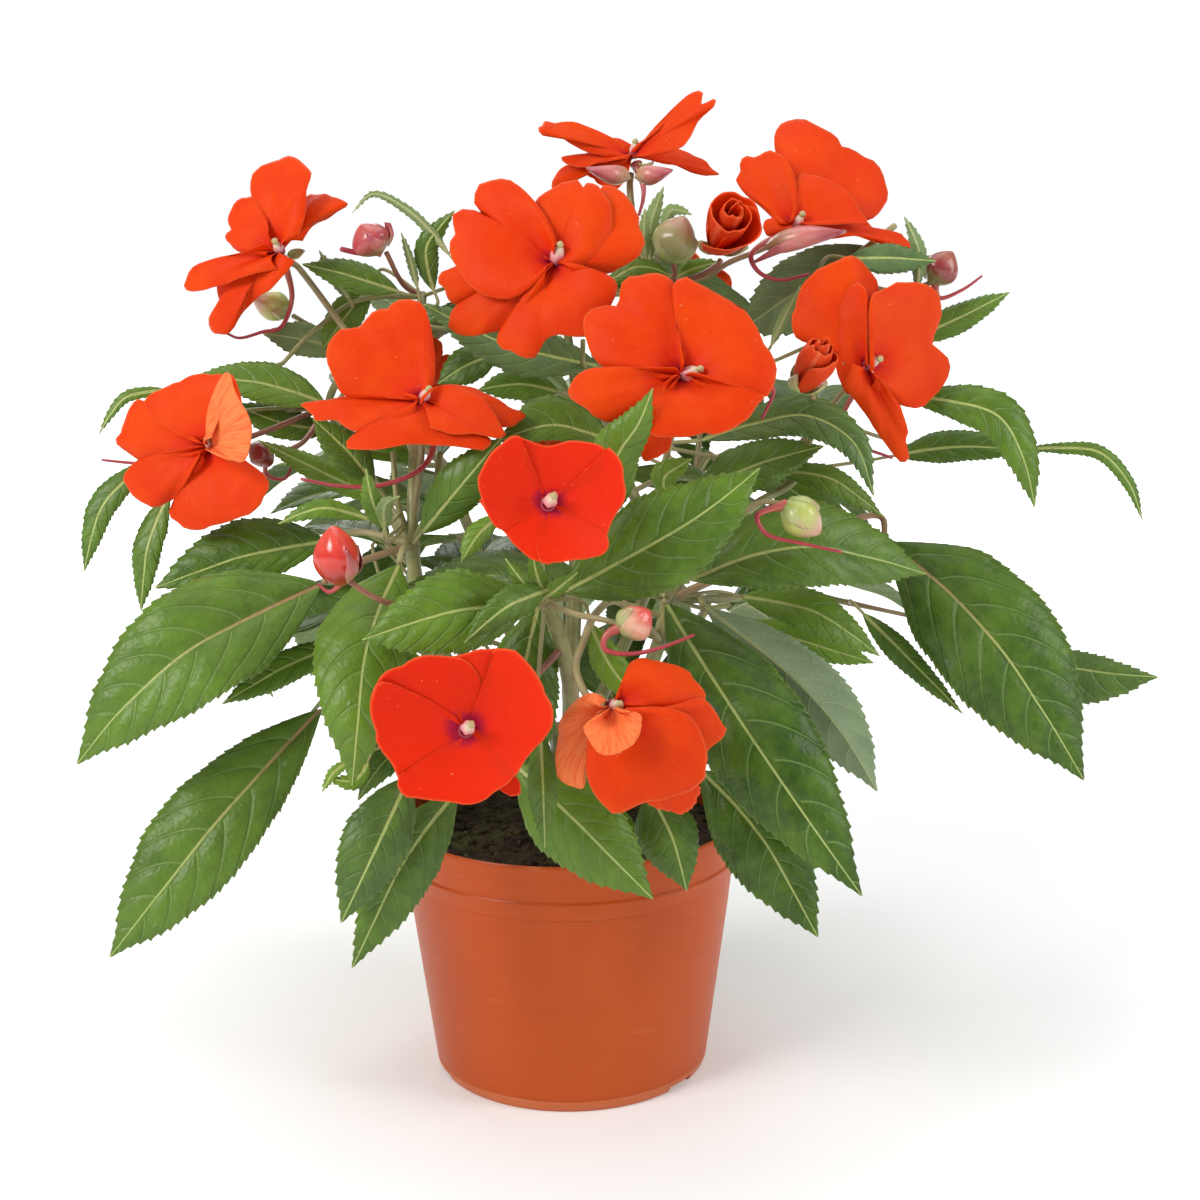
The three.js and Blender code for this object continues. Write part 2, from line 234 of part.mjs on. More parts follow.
  ["stem_upper_centre",[[29.26,4.18,279.48],[29.14,2.99,285.76],[29.64,2.12,292.06],[31.59,2.04,298.14],[33.88,2.16,304.11]],[-2.89,0.93,0.6],[2.65,0.83,-0.5],0.4,0,[31.33,6.31,279.46]],
  ["stem_upper_centre",[[27.74,0.15,279.5],[27.25,-1.7,283.6],[26.96,-2.97,287.9],[27.11,-3.04,292.42],[27.34,-2.87,296.93]],[-1.95,0.62,-0.0],[2.01,0.62,0.01],0.45,0,[31.28,6.45,279.46]],
  ["stem_upper_centre",[[33.52,8.2,289.31],[34.79,8.2,292.87],[36.49,8.2,296.21],[40.07,8.2,296.19],[43.58,8.2,294.8]],[-1.05,0.84,1.67],[1.04,-0.84,-1.67],0.4,0,[30.88,5.87,278.88]],
  ["stem_upper_centre",[[35.39,6.19,273.48],[39.53,5.19,275.3],[43.72,4.3,277.04],[48.16,4.03,278.32],[52.68,4.18,279.27]],[-0.92,1.56,2.79],[0.91,-1.56,-2.78],0.5,0,[29.21,7.08,277.41]],
  ["stem_upper_centre",[[32.01,-50.0,206.64],[30.59,-52.34,210.6],[31.06,-54.17,214.75],[35.01,-54.21,217.46],[39.2,-54.0,219.83]],[-3.5,1.31,2.33],[2.99,-1.13,-1.99],0.45,0,[29.32,-27.78,183.9]],
  ["stem_upper_centre",[[32.55,-0.12,208.44],[46.89,8.29,205.68],[59.77,15.84,197.88],[69.92,21.78,185.81],[76.32,25.53,170.69]],[-3.73,12.41,4.1],[7.19,-11.52,0.51],0.491,0],
  ["stem_left",[[-59.86,-42.0,211.38],[-63.85,-43.19,217.08],[-68.16,-44.04,222.6],[-73.12,-44.12,227.62],[-78.22,-44.0,232.51]],[-4.13,-2.42,-3.78],[4.16,2.42,3.8],0.5,0,[-48.03,-48.11,192.73]],
  ["stem_left",[[-45.15,-54.23,197.17],[-38.85,-57.42,204.8],[-32.41,-60.06,212.52],[-25.59,-59.88,220.32],[-18.74,-58.24,227.97]],[-5.69,2.97,4.43],[5.36,2.97,-5.2],0.5,0,[-48.46,-47.6,192.81]],
  ["stem_left",[[-59.41,-58.0,202.58],[-66.23,-60.08,205.17],[-73.32,-61.89,207.01],[-80.63,-62.26,205.32],[-87.56,-62.0,202.27]],[0.11,-1.11,-2.6],[-0.11,1.11,2.61],0.5,0,[-51.54,-46.16,203.23]],
  ["stem_left",[[-55.32,-60.0,199.73],[-56.72,-62.95,204.17],[-58.08,-65.62,208.79],[-59.09,-66.42,214.1],[-59.81,-66.0,219.54]],[-3.3,1.01,-1.14],[2.52,0.83,0.71],0.4,0,[-50.23,-46.68,199.27]],
  ["stem_left",[[-55.3,-60.0,200.35],[-55.09,-63.1,203.49],[-54.83,-66.2,206.63],[-53.34,-68.92,209.64],[-49.49,-70.0,211.47]],[-2.43,0.73,0.37],[2.28,0.73,-0.58],0.4,0,[-50.41,-46.5,199.89]],
  ["stem_left",[[-54.28,-36.69,204.24],[-65.13,-36.83,209.26],[-75.92,-36.62,214.41],[-86.57,-35.74,219.8],[-97.17,-34.7,225.23]],[-1.45,-2.33,-3.15],[1.58,2.52,3.43],0.45,0,[-48.07,-48.35,192.73]],
  ["stem_left",[[-20.06,-60.0,203.96],[-23.26,-63.09,201.65],[-26.43,-65.87,198.97],[-29.25,-67.23,195.09],[-31.84,-68.0,190.87]],[2.24,0.92,-2.15],[-2.81,1.47,2.18],0.5,0,[-42.06,-49.74,205.97]],
  ["stem_left",[[-65.69,-78.0,132.07],[-68.6,-79.19,130.63],[-71.28,-80.06,128.66],[-73.17,-80.11,125.76],[-74.85,-80.0,122.73]],[1.14,-0.45,-0.93],[-1.14,0.45,0.94],0.4,0,[-39.02,-38.88,153.78]],
  ["stem_left",[[-60.85,-78.0,132.0],[-62.57,-79.15,128.73],[-65.2,-80.06,126.2],[-69.05,-80.11,126.27],[-72.89,-80.0,126.79]],[1.06,-0.81,-2.38],[-0.83,0.63,1.86],0.4,0,[-38.43,-38.26,152.17]],
  ["stem_left",[[-99.14,-34.0,155.28],[-99.33,-35.2,151.82],[-98.98,-36.06,148.3],[-97.51,-36.11,144.95],[-95.84,-36.0,141.69]],[1.66,-0.49,0.55],[-1.66,0.49,-0.55],0.4,0,[-44.32,-44.48,170.27]],
  ["stem_left",[[-53.31,-44.0,161.81],[-51.73,-47.51,153.89],[-49.74,-50.24,145.78],[-46.97,-51.31,137.51],[-44.04,-52.0,129.24]],[7.78,2.46,1.69],[-8.23,2.46,-2.9],0.5,0,[0.47,-8.69,99.45]],
  ["stem_left",[[-56.99,-35.39,191.53],[-69.34,-20.19,193.64],[-81.69,-4.99,191.44],[-93.43,9.47,185.03],[-104.02,22.51,174.73]],[-11.29,-8.72,1.57],[9.95,9.36,4.41],0.467,0],
  ["stem_left",[[-54.37,-43.55,174.15],[-76.61,-41.6,171.08],[-97.8,-39.74,163.62],[-117.09,-38.04,152.08],[-133.71,-36.58,136.92]],[-1.16,-18.99,-1.08],[-2.36,17.04,8.21],0.495,0],
  ["stem_back_top",[[9.43,73.07,227.87],[20.68,92.55,234.96],[32.46,112.95,235.99],[43.97,132.9,230.89],[54.43,151.01,220.0]],[-16.54,10.16,6.06],[17.58,-9.89,2.61],0.45,0],
  ["stem_back_top",[[3.93,83.6,229.65],[0.89,108.39,232.83],[-2.16,133.22,230.09],[-5.05,156.74,221.58],[-7.62,177.63,207.78]],[-21.11,-1.54,4.53],[20.86,3.62,4.53],0.45,0],
  ["stem_back_top",[[2.18,68.97,231.0],[-3.92,66.75,237.93],[-11.6,63.96,242.77],[-20.25,60.81,245.13],[-29.17,57.56,244.82]],[2.95,-6.38,1.42],[-1.84,6.78,1.42],0.45,0,[5.03,68.53,231.24]],
  ["stem_back_top",[[7.6,68.5,231.0],[13.22,65.25,237.93],[20.3,61.17,242.77],[28.27,56.56,245.13],[36.49,51.82,244.82]],[2.99,6.36,1.42],[-4.01,-5.77,1.42],0.45,0,[3.92,68.68,231.18]],
  ["stem_back_top",[[-7.48,50.95,291.0],[-5.83,60.31,291.1],[-4.2,69.57,289.76],[-2.62,78.52,287.0],[-1.13,86.96,282.89]],[-6.84,1.54,1.5],[6.95,-0.89,1.5],0.45,0,[-8.06,47.68,289.89]],
  ["stem_back_top",[[-10.6,49.5,291.0],[-18.82,54.25,291.1],[-26.97,58.95,289.76],[-34.84,63.5,287.0],[-42.26,67.78,282.89]],[-3.79,-5.9,1.5],[3.21,6.23,1.5],0.45,0,[-7.65,47.8,289.86]],
  ["stem_back_top",[[-5.18,49.03,291.0],[3.75,52.28,291.1],[12.58,55.49,289.76],[21.13,58.6,287.0],[29.17,61.53,282.89]],[-2.08,6.69,1.5],[2.71,-6.46,1.5],0.45,0,[-8.46,47.83,289.84]],
  ["stem_back_top",[[14.32,52.13,202.3],[32.14,49.51,200.42],[48.75,47.07,193.66],[62.9,44.98,182.56],[73.5,43.43,167.97]],[5.11,13.66,5.35],[-2.07,-15.39,0.34],0.441,0],
  ["stem_back_top",[[12.94,59.6,271.26],[34.33,58.6,266.01],[52.92,57.74,254.17],[66.72,57.1,236.98],[74.28,56.74,216.27]],[6.79,14.41,6.83],[-2.23,-17.11,-1.6],0.462,0],
  ["stem_back_top",[[7.72,52.58,279.69],[26.47,47.63,278.79],[44.66,42.82,274.03],[61.57,38.35,265.61],[76.52,34.41,253.86]],[3.71,14.06,-0.01],[-1.35,-13.29,5.74],0.46,0],
  ["stem_back_top",[[-9.83,68.03,263.69],[-23.65,75.28,263.52],[-37.09,82.32,259.87],[-49.47,88.8,252.92],[-60.16,94.4,243.02]],[-6.15,-8.0,4.77],[5.31,9.81,-0.41],0.432,0],
  ["stem_back_top",[[13.29,71.17,213.03],[25.23,89.07,220.21],[37.82,107.93,220.5],[49.86,125.98,213.87],[60.21,141.5,200.96]],[-13.77,9.72,3.07],[14.14,-8.71,4.21],0.476,0],
  ["stem_back_left",[[-51.01,43.93,207.57],[-70.71,55.3,210.57],[-90.41,66.68,207.57],[-108.77,77.28,198.79],[-124.53,86.38,184.82]],[-10.38,-16.66,2.46],[8.11,17.12,5.72],0.45,0],
  ["stem_back_left",[[-48.73,90.49,205.33],[-54.58,112.33,210.35],[-60.57,134.69,209.33],[-66.29,156.03,202.37],[-71.34,174.9,189.92]],[-19.37,-5.04,0.83],[17.54,6.07,7.52],0.45,0],
  ["stem_back_left",[[-46.37,42.4,192.21],[-59.35,33.6,198.91],[-73.25,24.18,201.88],[-87.34,14.63,200.96],[-100.89,5.44,196.2]],[6.74,-10.02,-0.7],[-5.7,9.03,5.69],0.48,0],
  ["stem_back_left",[[-39.56,36.17,182.97],[-52.14,23.56,181.47],[-63.97,11.71,175.2],[-74.15,1.51,164.62],[-81.92,-6.27,150.52]],[8.64,-11.93,4.31],[-11.35,10.22,1.45],0.442,0],
  ["stem_back_left",[[-47.91,52.2,195.04],[-69.8,53.88,193.17],[-90.07,55.44,184.69],[-106.8,56.72,170.42],[-118.39,57.61,151.7]],[-3.35,-15.69,3.5],[-0.3,16.23,2.52],0.484,0],
  ["stem_back_left",[[-26.69,16.43,148.26],[-45.49,16.77,148.24],[-63.65,17.1,143.34],[-79.92,17.39,133.92],[-93.2,17.62,120.6]],[-2.1,-15.19,4.4],[-0.51,15.83,1.9],0.435,0],
  ["stem_back_left",[[-43.93,66.01,200.55],[-49.09,84.39,198.49],[-54.06,102.09,192.95],[-58.68,118.51,184.13],[-62.78,133.09,172.32]],[-14.94,-2.29,4.54],[14.9,4.91,1.72],0.445,0],
  ["stem_back_left",[[-30.6,34.06,161.35],[-41.84,47.46,166.92],[-53.58,61.46,168.67],[-65.29,75.43,166.52],[-76.45,88.74,160.58]],[-10.88,-9.05,5.11],[11.48,9.64,1.3],0.472,0],
  ["stem_back_low",[[-0.81,114.18,148.76],[-3.38,143.61,147.14],[-5.81,171.42,137.33],[-7.91,195.38,120.09],[-9.5,213.57,96.82]],[-23.79,0.33,4.62],[23.37,4.46,4.62],0.45,0],
  ["stem_back_low",[[4.4,76.83,157.9],[17.11,98.85,154.56],[28.96,119.37,144.74],[39.13,136.99,129.13],[46.93,150.51,108.78]],[-17.36,11.59,2.35],[18.93,-7.3,5.44],0.45,0],
  ["stem_back_low",[[-5.69,80.24,152.21],[-22.25,99.98,150.8],[-37.9,118.63,142.24],[-51.39,134.7,127.21],[-61.63,146.91,106.9]],[-16.44,-13.26,0.79],[12.58,15.41,7.15],0.45,0],
  ["stem_back_low",[[12.62,58.41,142.66],[35.16,55.12,141.38],[56.45,52.01,133.81],[74.82,49.33,120.55],[88.81,47.29,102.64]],[4.34,15.23,4.04],[-1.21,-16.15,2.18],0.486,0],
  ["stem_back_low_left",[[-63.26,77.64,153.38],[-87.21,84.06,152.3],[-110.09,90.18,144.83],[-130.31,95.6,131.49],[-146.51,99.95,113.19]],[-8.43,-18.18,7.38],[5.16,20.71,0.81],0.45,0],
  ["stem_back_low_left",[[-60.56,91.91,154.17],[-76.3,114.39,150.56],[-90.97,135.34,139.96],[-103.57,153.33,123.11],[-113.23,167.13,101.15]],[-19.67,-9.63,5.87],[17.58,14.09,2.53],0.45,0],
  ["stem_back_low_left",[[-43.37,78.6,148.6],[-38.69,96.66,158.14],[-33.63,116.18,163.83],[-28.38,136.41,165.43],[-23.16,156.55,162.88]],[-16.81,3.52,4.61],[16.84,-4.9,2.91],0.457,0],
  ["stem_back_low_left",[[-29.2,14.92,122.65],[-41.91,7.67,122.22],[-54.02,0.77,117.74],[-64.57,-5.25,109.57],[-72.73,-9.91,98.35]],[6.15,-9.6,-1.21],[-7.11,7.19,5.4],0.476,0],
  ["stem_back_low_left",[[-38.23,36.9,130.46],[-52.75,48.23,129.52],[-66.47,58.94,123.43],[-78.29,68.16,112.69],[-87.25,75.15,98.17]],[-8.88,-10.18,1.42],[6.41,11.37,3.74],0.451,0],
  ["stem_back_low_right",[[62.98,85.97,145.53],[84.41,95.51,152.26],[106.7,105.44,152.26],[128.13,114.98,145.53],[147.04,123.4,132.6]],[-7.55,18.45,4.34],[8.66,-17.95,4.34],0.45,0],
  ["stem_back_low_right",[[59.99,95.25,147.0],[73.69,117.16,141.86],[86.27,137.29,130.41],[96.92,154.34,113.38],[104.98,167.24,91.87]],[-18.17,13.23,2.44],[20.25,-8.31,5.67],0.45,0],
  ["stem_back_low_right",[[16.49,33.02,121.14],[14.13,53.74,130.69],[11.57,76.26,134.21],[8.99,98.88,131.45],[6.59,119.91,122.61]],[-19.27,-2.16,-2.06],[16.64,1.73,10.01],0.445,0],
  ["stem_back_right",[[57.58,59.08,202.13],[69.33,46.97,202.72],[80.74,35.22,198.62],[90.91,24.74,190.16],[99.06,16.35,177.98]],[10.93,7.81,4.95],[-10.07,-10.16,0.67],0.446,0],
  ["stem_back_right",[[29.41,52.95,171.89],[24.39,72.89,177.88],[19.16,93.65,177.19],[14.24,113.18,169.9],[10.12,129.55,156.72]],[-17.74,-4.6,-0.7],[15.46,5.51,8.18],0.444,0],
  ["stem_back_right",[[20.47,28.13,145.34],[23.17,40.07,151.39],[26.06,52.83,155.31],[29.05,66.06,156.98],[32.06,79.37,156.36]],[-10.31,2.35,-0.11],[9.11,-3.01,4.44],0.471,0],
  ["stem_back_right",[[28.38,17.62,150.33],[42.73,6.91,148.12],[55.97,-2.99,140.9],[67.03,-11.24,129.27],[74.98,-17.18,114.2]],[10.56,8.08,5.84],[-9.04,-11.34,-0.74],0.459,0],
];

// flowers: node, throat centre, facing, outline of the five joined petals, spur [path, radii]
const FLOWERS = [
  ["flower_upper_left",[-91.69,-7.19,283.45],[-0.55,-0.78,0.3],[[-104.49,-3.21,283.61],[-125.19,4.6,272.6],[-114.44,1.1,266.6],[-113.73,-3.07,257.05],[-99.33,-8.55,269.21],[-95.28,-10.88,270.58],[-92.04,-12.57,272.13],[-89.48,-13.42,274.61],[-87.64,-13.74,277.16],[-86.04,-14.0,279.44],[-89.01,-9.34,282.78],[-88.75,-9.16,283.74],[-88.72,-8.81,284.69],[-84.11,-12.28,290.74],[-70.87,-2.74,299.33],[-81.03,-7.77,308.14],[-85.99,-2.23,313.41],[-93.28,3.05,313.78],[-100.46,6.48,309.54],[-105.38,4.16,301.12],[-110.31,5.7,296.08],[-110.37,2.92,288.75]],[[[-91.72,-3.21,281.85],[-91.06,8.72,269.29],[-94.53,6.73,259.42],[-100.99,4.74,257.56],[-108.07,2.76,255.73],[-112.28,0.77,257.5]],0.9,0.45]],
  ["flower_top_centre",[-2.0,-34.0,279.22],[-0.199,-0.916,0.348],[[-36.25,-23.93,277.5],[-35.69,-27.66,268.03],[-35.4,-34.53,258.74],[-21.7,-37.64,258.4],[-17.39,-44.97,253.07],[-9.02,-47.73,250.6],[-0.59,-47.24,256.72],[7.4,-49.05,256.51],[13.1,-48.13,262.18],[16.26,-46.28,268.84],[5.65,-38.4,277.77],[21.13,-35.98,278.61],[25.76,-34.1,286.21],[23.94,-30.85,293.71],[19.64,-27.37,300.42],[10.24,-29.5,303.77],[2.64,-27.68,304.22],[-4.31,-27.54,300.61],[-11.86,-29.82,301.8],[-23.17,-26.34,304.48],[-27.05,-28.7,296.06],[-33.11,-29.96,289.27]],[[[-1.4,-30.0,277.96],[2.32,-16.0,267.66],[2.88,-10.0,257.81]],1.1,0.5]],
  ["flower_centre",[35.23,-62.8,245.29],[0.0,-0.917,0.399],[[4.85,-67.42,247.21],[3.38,-71.17,238.62],[11.48,-73.52,233.2],[21.56,-76.48,233.93],[23.75,-70.13,220.87],[32.21,-78.7,228.83],[38.29,-78.48,229.33],[44.83,-78.47,229.36],[51.07,-77.4,231.82],[55.99,-75.44,236.33],[60.7,-70.35,240.5],[63.3,-67.36,247.36],[60.78,-64.37,254.24],[57.69,-61.6,260.61],[53.12,-59.11,266.33],[46.63,-57.37,270.34],[39.3,-55.88,273.76],[30.6,-52.05,275.03],[20.67,-52.02,275.11],[15.16,-55.46,267.21],[6.06,-57.2,263.17],[8.24,-61.51,253.28]],[[[36.41,-58.79,243.8],[54.39,-48.77,244.17],[64.87,-46.76,240.84],[61.53,-46.76,231.27]],1.0,0.5]],
  ["flower_top",[24.12,22.0,314.24],[0.0,0.25,0.968],[[24.65,24.86,313.5],[23.79,24.94,313.48],[22.93,24.77,313.53],[22.14,24.38,313.63],[21.49,23.77,313.78],[18.71,25.26,319.7],[14.89,23.54,318.87],[-2.82,12.95,306.66],[8.4,11.43,310.61],[19.08,16.01,312.71],[21.91,17.17,313.22],[23.49,18.62,315.11],[24.5,18.53,315.13],[25.52,18.73,315.08],[26.44,19.21,314.96],[34.23,14.76,314.29],[27.73,20.84,314.54],[27.96,21.43,312.57],[47.44,27.96,313.54],[27.52,23.95,313.74],[26.85,24.83,313.51],[25.93,25.51,313.34]],[[[25.47,22.0,312.25],[27.65,18.0,305.1],[27.54,16.0,300.08],[26.08,14.0,295.08]],1.2,0.5]],
  ["flower_upper_right",[77.07,2.0,290.16],[0.31,-0.62,0.72],[[68.04,1.46,287.28],[72.58,0.67,287.83],[75.12,-0.18,289.12],[75.81,-0.43,288.61],[76.62,-0.49,288.21],[77.49,-0.35,287.96],[78.35,-0.01,287.88],[81.08,-2.47,290.1],[83.0,-2.14,290.18],[86.78,-1.52,290.33],[117.83,7.32,283.55],[104.54,11.99,290.83],[111.58,21.94,300.41],[107.94,27.07,312.1],[96.52,26.63,317.63],[86.7,27.27,324.3],[75.24,24.43,325.3],[69.18,13.18,315.22],[60.24,13.56,309.32],[67.13,5.22,296.77],[67.58,4.29,291.61],[67.27,2.88,289.23]],[[[76.56,3.0,288.22],[67.01,-2.0,285.33],[62.09,-5.0,281.15],[65.0,-6.0,275.63],[72.28,-6.0,273.29],[81.18,-6.0,275.16]],1.2,0.5]],
  ["flower_right",[97.56,-24.0,245.96],[0.641,-0.751,0.16],[[91.09,-29.39,246.0],[89.84,-28.92,243.12],[90.19,-28.29,240.32],[91.68,-27.62,237.91],[93.66,-26.88,235.35],[96.37,-25.86,231.84],[101.28,-23.87,224.88],[111.76,-21.58,219.25],[111.37,-20.92,232.23],[118.12,-16.77,233.81],[124.23,-12.57,238.93],[126.74,-10.14,247.13],[122.08,-11.98,254.75],[124.43,-9.24,266.25],[116.85,-13.06,271.78],[108.08,-18.18,272.06],[95.92,-14.02,279.85],[84.16,-15.46,277.74],[76.48,-17.14,269.02],[74.27,-18.36,259.45],[87.71,-22.57,249.08],[87.96,-22.9,246.82]],[[[98.27,-20.0,243.77],[91.96,-12.0,227.53],[97.76,-10.0,219.3],[109.24,-10.0,214.5]],0.9,0.5]],
  ["flower_left",[-111.54,-36.0,223.3],[-0.381,-0.912,0.15],[[-137.41,-29.26,217.94],[-139.78,-29.88,208.26],[-131.68,-33.93,204.44],[-120.36,-37.77,210.12],[-120.33,-42.92,199.03],[-113.54,-45.89,198.43],[-106.67,-48.58,199.74],[-100.17,-50.77,203.01],[-93.56,-52.86,207.26],[-91.69,-52.32,215.25],[-94.99,-62.14,224.26],[-93.79,-62.15,231.86],[-95.87,-59.9,238.92],[-99.1,-55.89,244.87],[-102.18,-40.06,242.39],[-106.9,-37.45,246.16],[-112.93,-34.88,246.25],[-118.92,-32.55,245.07],[-124.88,-30.44,242.67],[-131.65,-28.09,239.6],[-139.07,-23.62,234.43],[-144.51,-22.76,225.81]],[[[-114.52,-31.0,221.21],[-129.33,-24.0,216.73],[-140.09,-22.0,216.95],[-150.03,-22.0,218.04]],0.9,0.4]],
  ["flower_left_centre",[-43.98,-50.78,237.96],[0.0,-0.552,0.834],[[-76.98,-51.89,233.02],[-66.41,-57.14,230.59],[-64.83,-62.28,224.7],[-56.67,-63.29,223.53],[-49.65,-62.47,224.48],[-44.52,-62.01,225.02],[-39.76,-61.87,225.17],[-33.94,-62.21,224.78],[-24.5,-63.04,223.83],[-18.41,-60.14,229.1],[-15.02,-52.01,230.53],[-19.35,-46.36,236.22],[-25.93,-43.34,240.38],[-32.22,-42.5,242.73],[-39.99,-48.55,245.05],[-39.91,-46.0,253.11],[-43.21,-41.67,266.83],[-50.42,-41.14,268.51],[-57.71,-41.89,266.14],[-63.8,-43.68,260.45],[-72.28,-45.34,255.2],[-69.87,-49.01,243.59]],[[[-43.65,-47.79,235.87],[-40.59,-46.79,225.83],[-44.23,-50.78,217.6],[-56.34,-54.78,212.95],[-69.11,-55.78,212.91],[-80.95,-55.78,215.2]],1.2,0.5]],
  ["flower_front_centre",[-4.95,-97.54,212.31],[0.0,-0.993,0.12],[[-21.66,-103.88,209.82],[-18.39,-101.35,205.78],[-15.69,-101.76,202.49],[-12.59,-102.13,199.51],[-8.78,-102.43,196.98],[-4.14,-104.52,196.31],[0.61,-104.44,197.0],[5.98,-104.36,197.69],[11.5,-104.06,200.08],[12.13,-104.31,206.25],[15.08,-103.72,211.14],[17.03,-102.97,217.25],[16.05,-102.16,223.79],[11.38,-99.61,228.26],[5.17,-99.37,230.21],[-0.77,-99.4,229.92],[-5.75,-99.49,229.22],[-11.27,-99.28,230.89],[-17.36,-101.37,230.31],[-21.7,-101.89,226.09],[-24.25,-102.54,220.69],[-23.58,-103.27,214.79]],[[[-5.01,-93.56,210.61],[-4.01,-85.58,203.0],[-0.25,-81.59,199.37]],1.0,0.5]],
  ["flower_front_left",[-28.45,-120.0,152.24],[0.0,-0.995,0.1],[[-51.0,-126.49,147.79],[-47.57,-127.05,142.27],[-44.82,-126.66,136.21],[-38.32,-126.84,134.43],[-32.54,-126.96,133.34],[-26.9,-126.97,133.19],[-21.72,-126.76,135.19],[-14.18,-117.92,133.17],[-13.87,-128.05,142.26],[-10.84,-127.62,146.56],[-6.51,-127.11,151.55],[-4.17,-126.41,158.39],[-5.96,-125.7,165.38],[-10.05,-125.07,171.53],[-15.85,-124.58,176.32],[-23.59,-119.64,175.51],[-30.14,-119.82,173.69],[-36.75,-121.77,174.27],[-43.94,-121.91,172.9],[-50.9,-122.3,169.1],[-53.77,-125.03,162.02],[-53.68,-125.8,154.45]],[[[-28.2,-115.0,150.31],[-25.57,-104.0,138.95],[-20.02,-100.0,134.7]],1.0,0.5]],
  ["flower_front_right",[12.43,-113.0,156.77],[0.1,-0.99,-0.1],[[0.31,-108.65,154.63],[-2.12,-107.22,149.63],[-3.44,-106.45,141.99],[-0.99,-107.88,133.05],[8.05,-118.66,132.01],[15.31,-117.84,127.86],[23.74,-111.31,127.21],[35.48,-110.61,126.48],[38.29,-117.65,137.54],[43.51,-109.56,145.53],[41.18,-110.81,155.0],[35.82,-104.74,162.95],[27.88,-103.4,166.81],[21.56,-103.45,167.99],[14.19,-113.15,160.02],[13.21,-113.29,160.43],[12.15,-113.41,160.54],[11.08,-113.5,160.34],[10.12,-114.42,159.85],[7.3,-112.76,160.57],[4.99,-111.4,159.62],[2.74,-110.08,157.71]],[[[12.23,-110.01,156.01],[20.93,-99.03,154.88],[27.07,-93.05,156.31]],1.0,0.5]],
  ["flower_half_open_top",[53.31,-10.62,289.52],[-0.1,-0.974,0.201],[[41.53,-12.1,286.34],[42.53,-12.9,283.02],[44.78,-13.71,280.29],[47.96,-13.44,278.32],[51.3,-14.14,276.65],[55.31,-14.85,275.33],[60.75,-15.78,273.62],[60.55,-19.13,281.97],[62.98,-12.88,283.6],[65.22,-12.55,286.33],[66.16,-11.91,289.78],[65.61,-11.12,293.33],[64.22,-10.27,296.64],[62.1,-9.41,299.67],[58.04,-10.83,300.63],[54.52,-10.68,299.55],[51.8,-10.54,298.88],[49.18,-10.39,298.31],[46.41,-10.29,297.39],[43.82,-10.39,295.6],[42.36,-10.83,292.81],[41.56,-11.4,289.68]],[[[53.19,-11.79,289.76],[53.62,-7.6,288.9]],1.7,1.1]],
  ["flower_half_open_right",[78.41,-36.0,246.86],[-0.1,-0.99,0.1],[[69.03,-39.36,244.13],[70.6,-39.74,241.99],[72.45,-40.11,240.24],[74.78,-40.44,239.33],[77.21,-40.67,239.47],[79.61,-38.89,239.53],[82.04,-39.14,239.54],[85.17,-39.44,239.73],[87.23,-39.43,241.86],[87.44,-39.15,244.84],[87.58,-38.89,247.53],[87.15,-38.57,250.17],[85.76,-38.2,252.43],[83.74,-37.83,254.04],[81.38,-37.51,254.84],[79.03,-37.25,255.03],[76.6,-39.04,254.89],[73.96,-38.73,255.23],[71.19,-38.53,254.45],[68.88,-38.49,252.53],[67.74,-38.66,249.73],[67.91,-38.98,246.75]],[[[78.29,-37.19,246.98],[78.72,-32.93,246.55]],1.7,1.1]],
  ["flower_back_right",[48.0,92.0,262.0],[0.45,0.74,0.5],[[71.19,82.81,249.8],[68.13,88.55,245.44],[62.06,93.73,244.86],[59.2,99.26,241.39],[53.49,103.14,242.29],[47.57,106.67,242.42],[40.64,103.78,245.46],[33.09,108.89,246.31],[28.99,107.27,252.64],[24.12,105.42,258.43],[24.32,99.96,264.24],[27.75,99.01,271.84],[28.45,94.33,276.99],[31.93,88.88,279.84],[36.28,83.77,281.68],[41.98,80.01,280.81],[47.47,74.08,282.61],[53.26,72.57,277.68],[59.83,70.43,274.27],[62.15,74.26,267.35],[68.47,73.62,262.07],[70.38,77.8,255.82]],[[[47.0,90.0,259.0],[40.0,78.0,262.0],[30.0,74.0,254.0]],1.0,0.5]],
  ["flower_back_left",[-62.05,84.58,231.96],[-0.551,0.702,0.451],[[-49.7,100.04,213.36],[-56.5,97.77,210.75],[-63.25,96.07,207.5],[-68.81,91.05,209.82],[-73.5,86.98,212.74],[-78.29,83.13,215.3],[-80.86,79.08,219.87],[-81.62,75.0,224.92],[-79.12,69.51,229.06],[-80.16,65.34,235.84],[-75.03,65.67,241.38],[-70.42,64.35,247.23],[-63.2,68.25,247.54],[-60.43,73.82,252.86],[-54.69,77.29,252.73],[-48.99,80.89,251.66],[-45.66,85.04,247.43],[-41.87,89.26,243.79],[-38.39,93.63,238.79],[-39.56,95.91,231.87],[-40.97,98.77,225.32],[-47.39,96.46,221.0]],[[[-61.05,82.58,229.96],[-54.05,70.57,235.96],[-48.04,64.57,227.95]],1.0,0.5]],
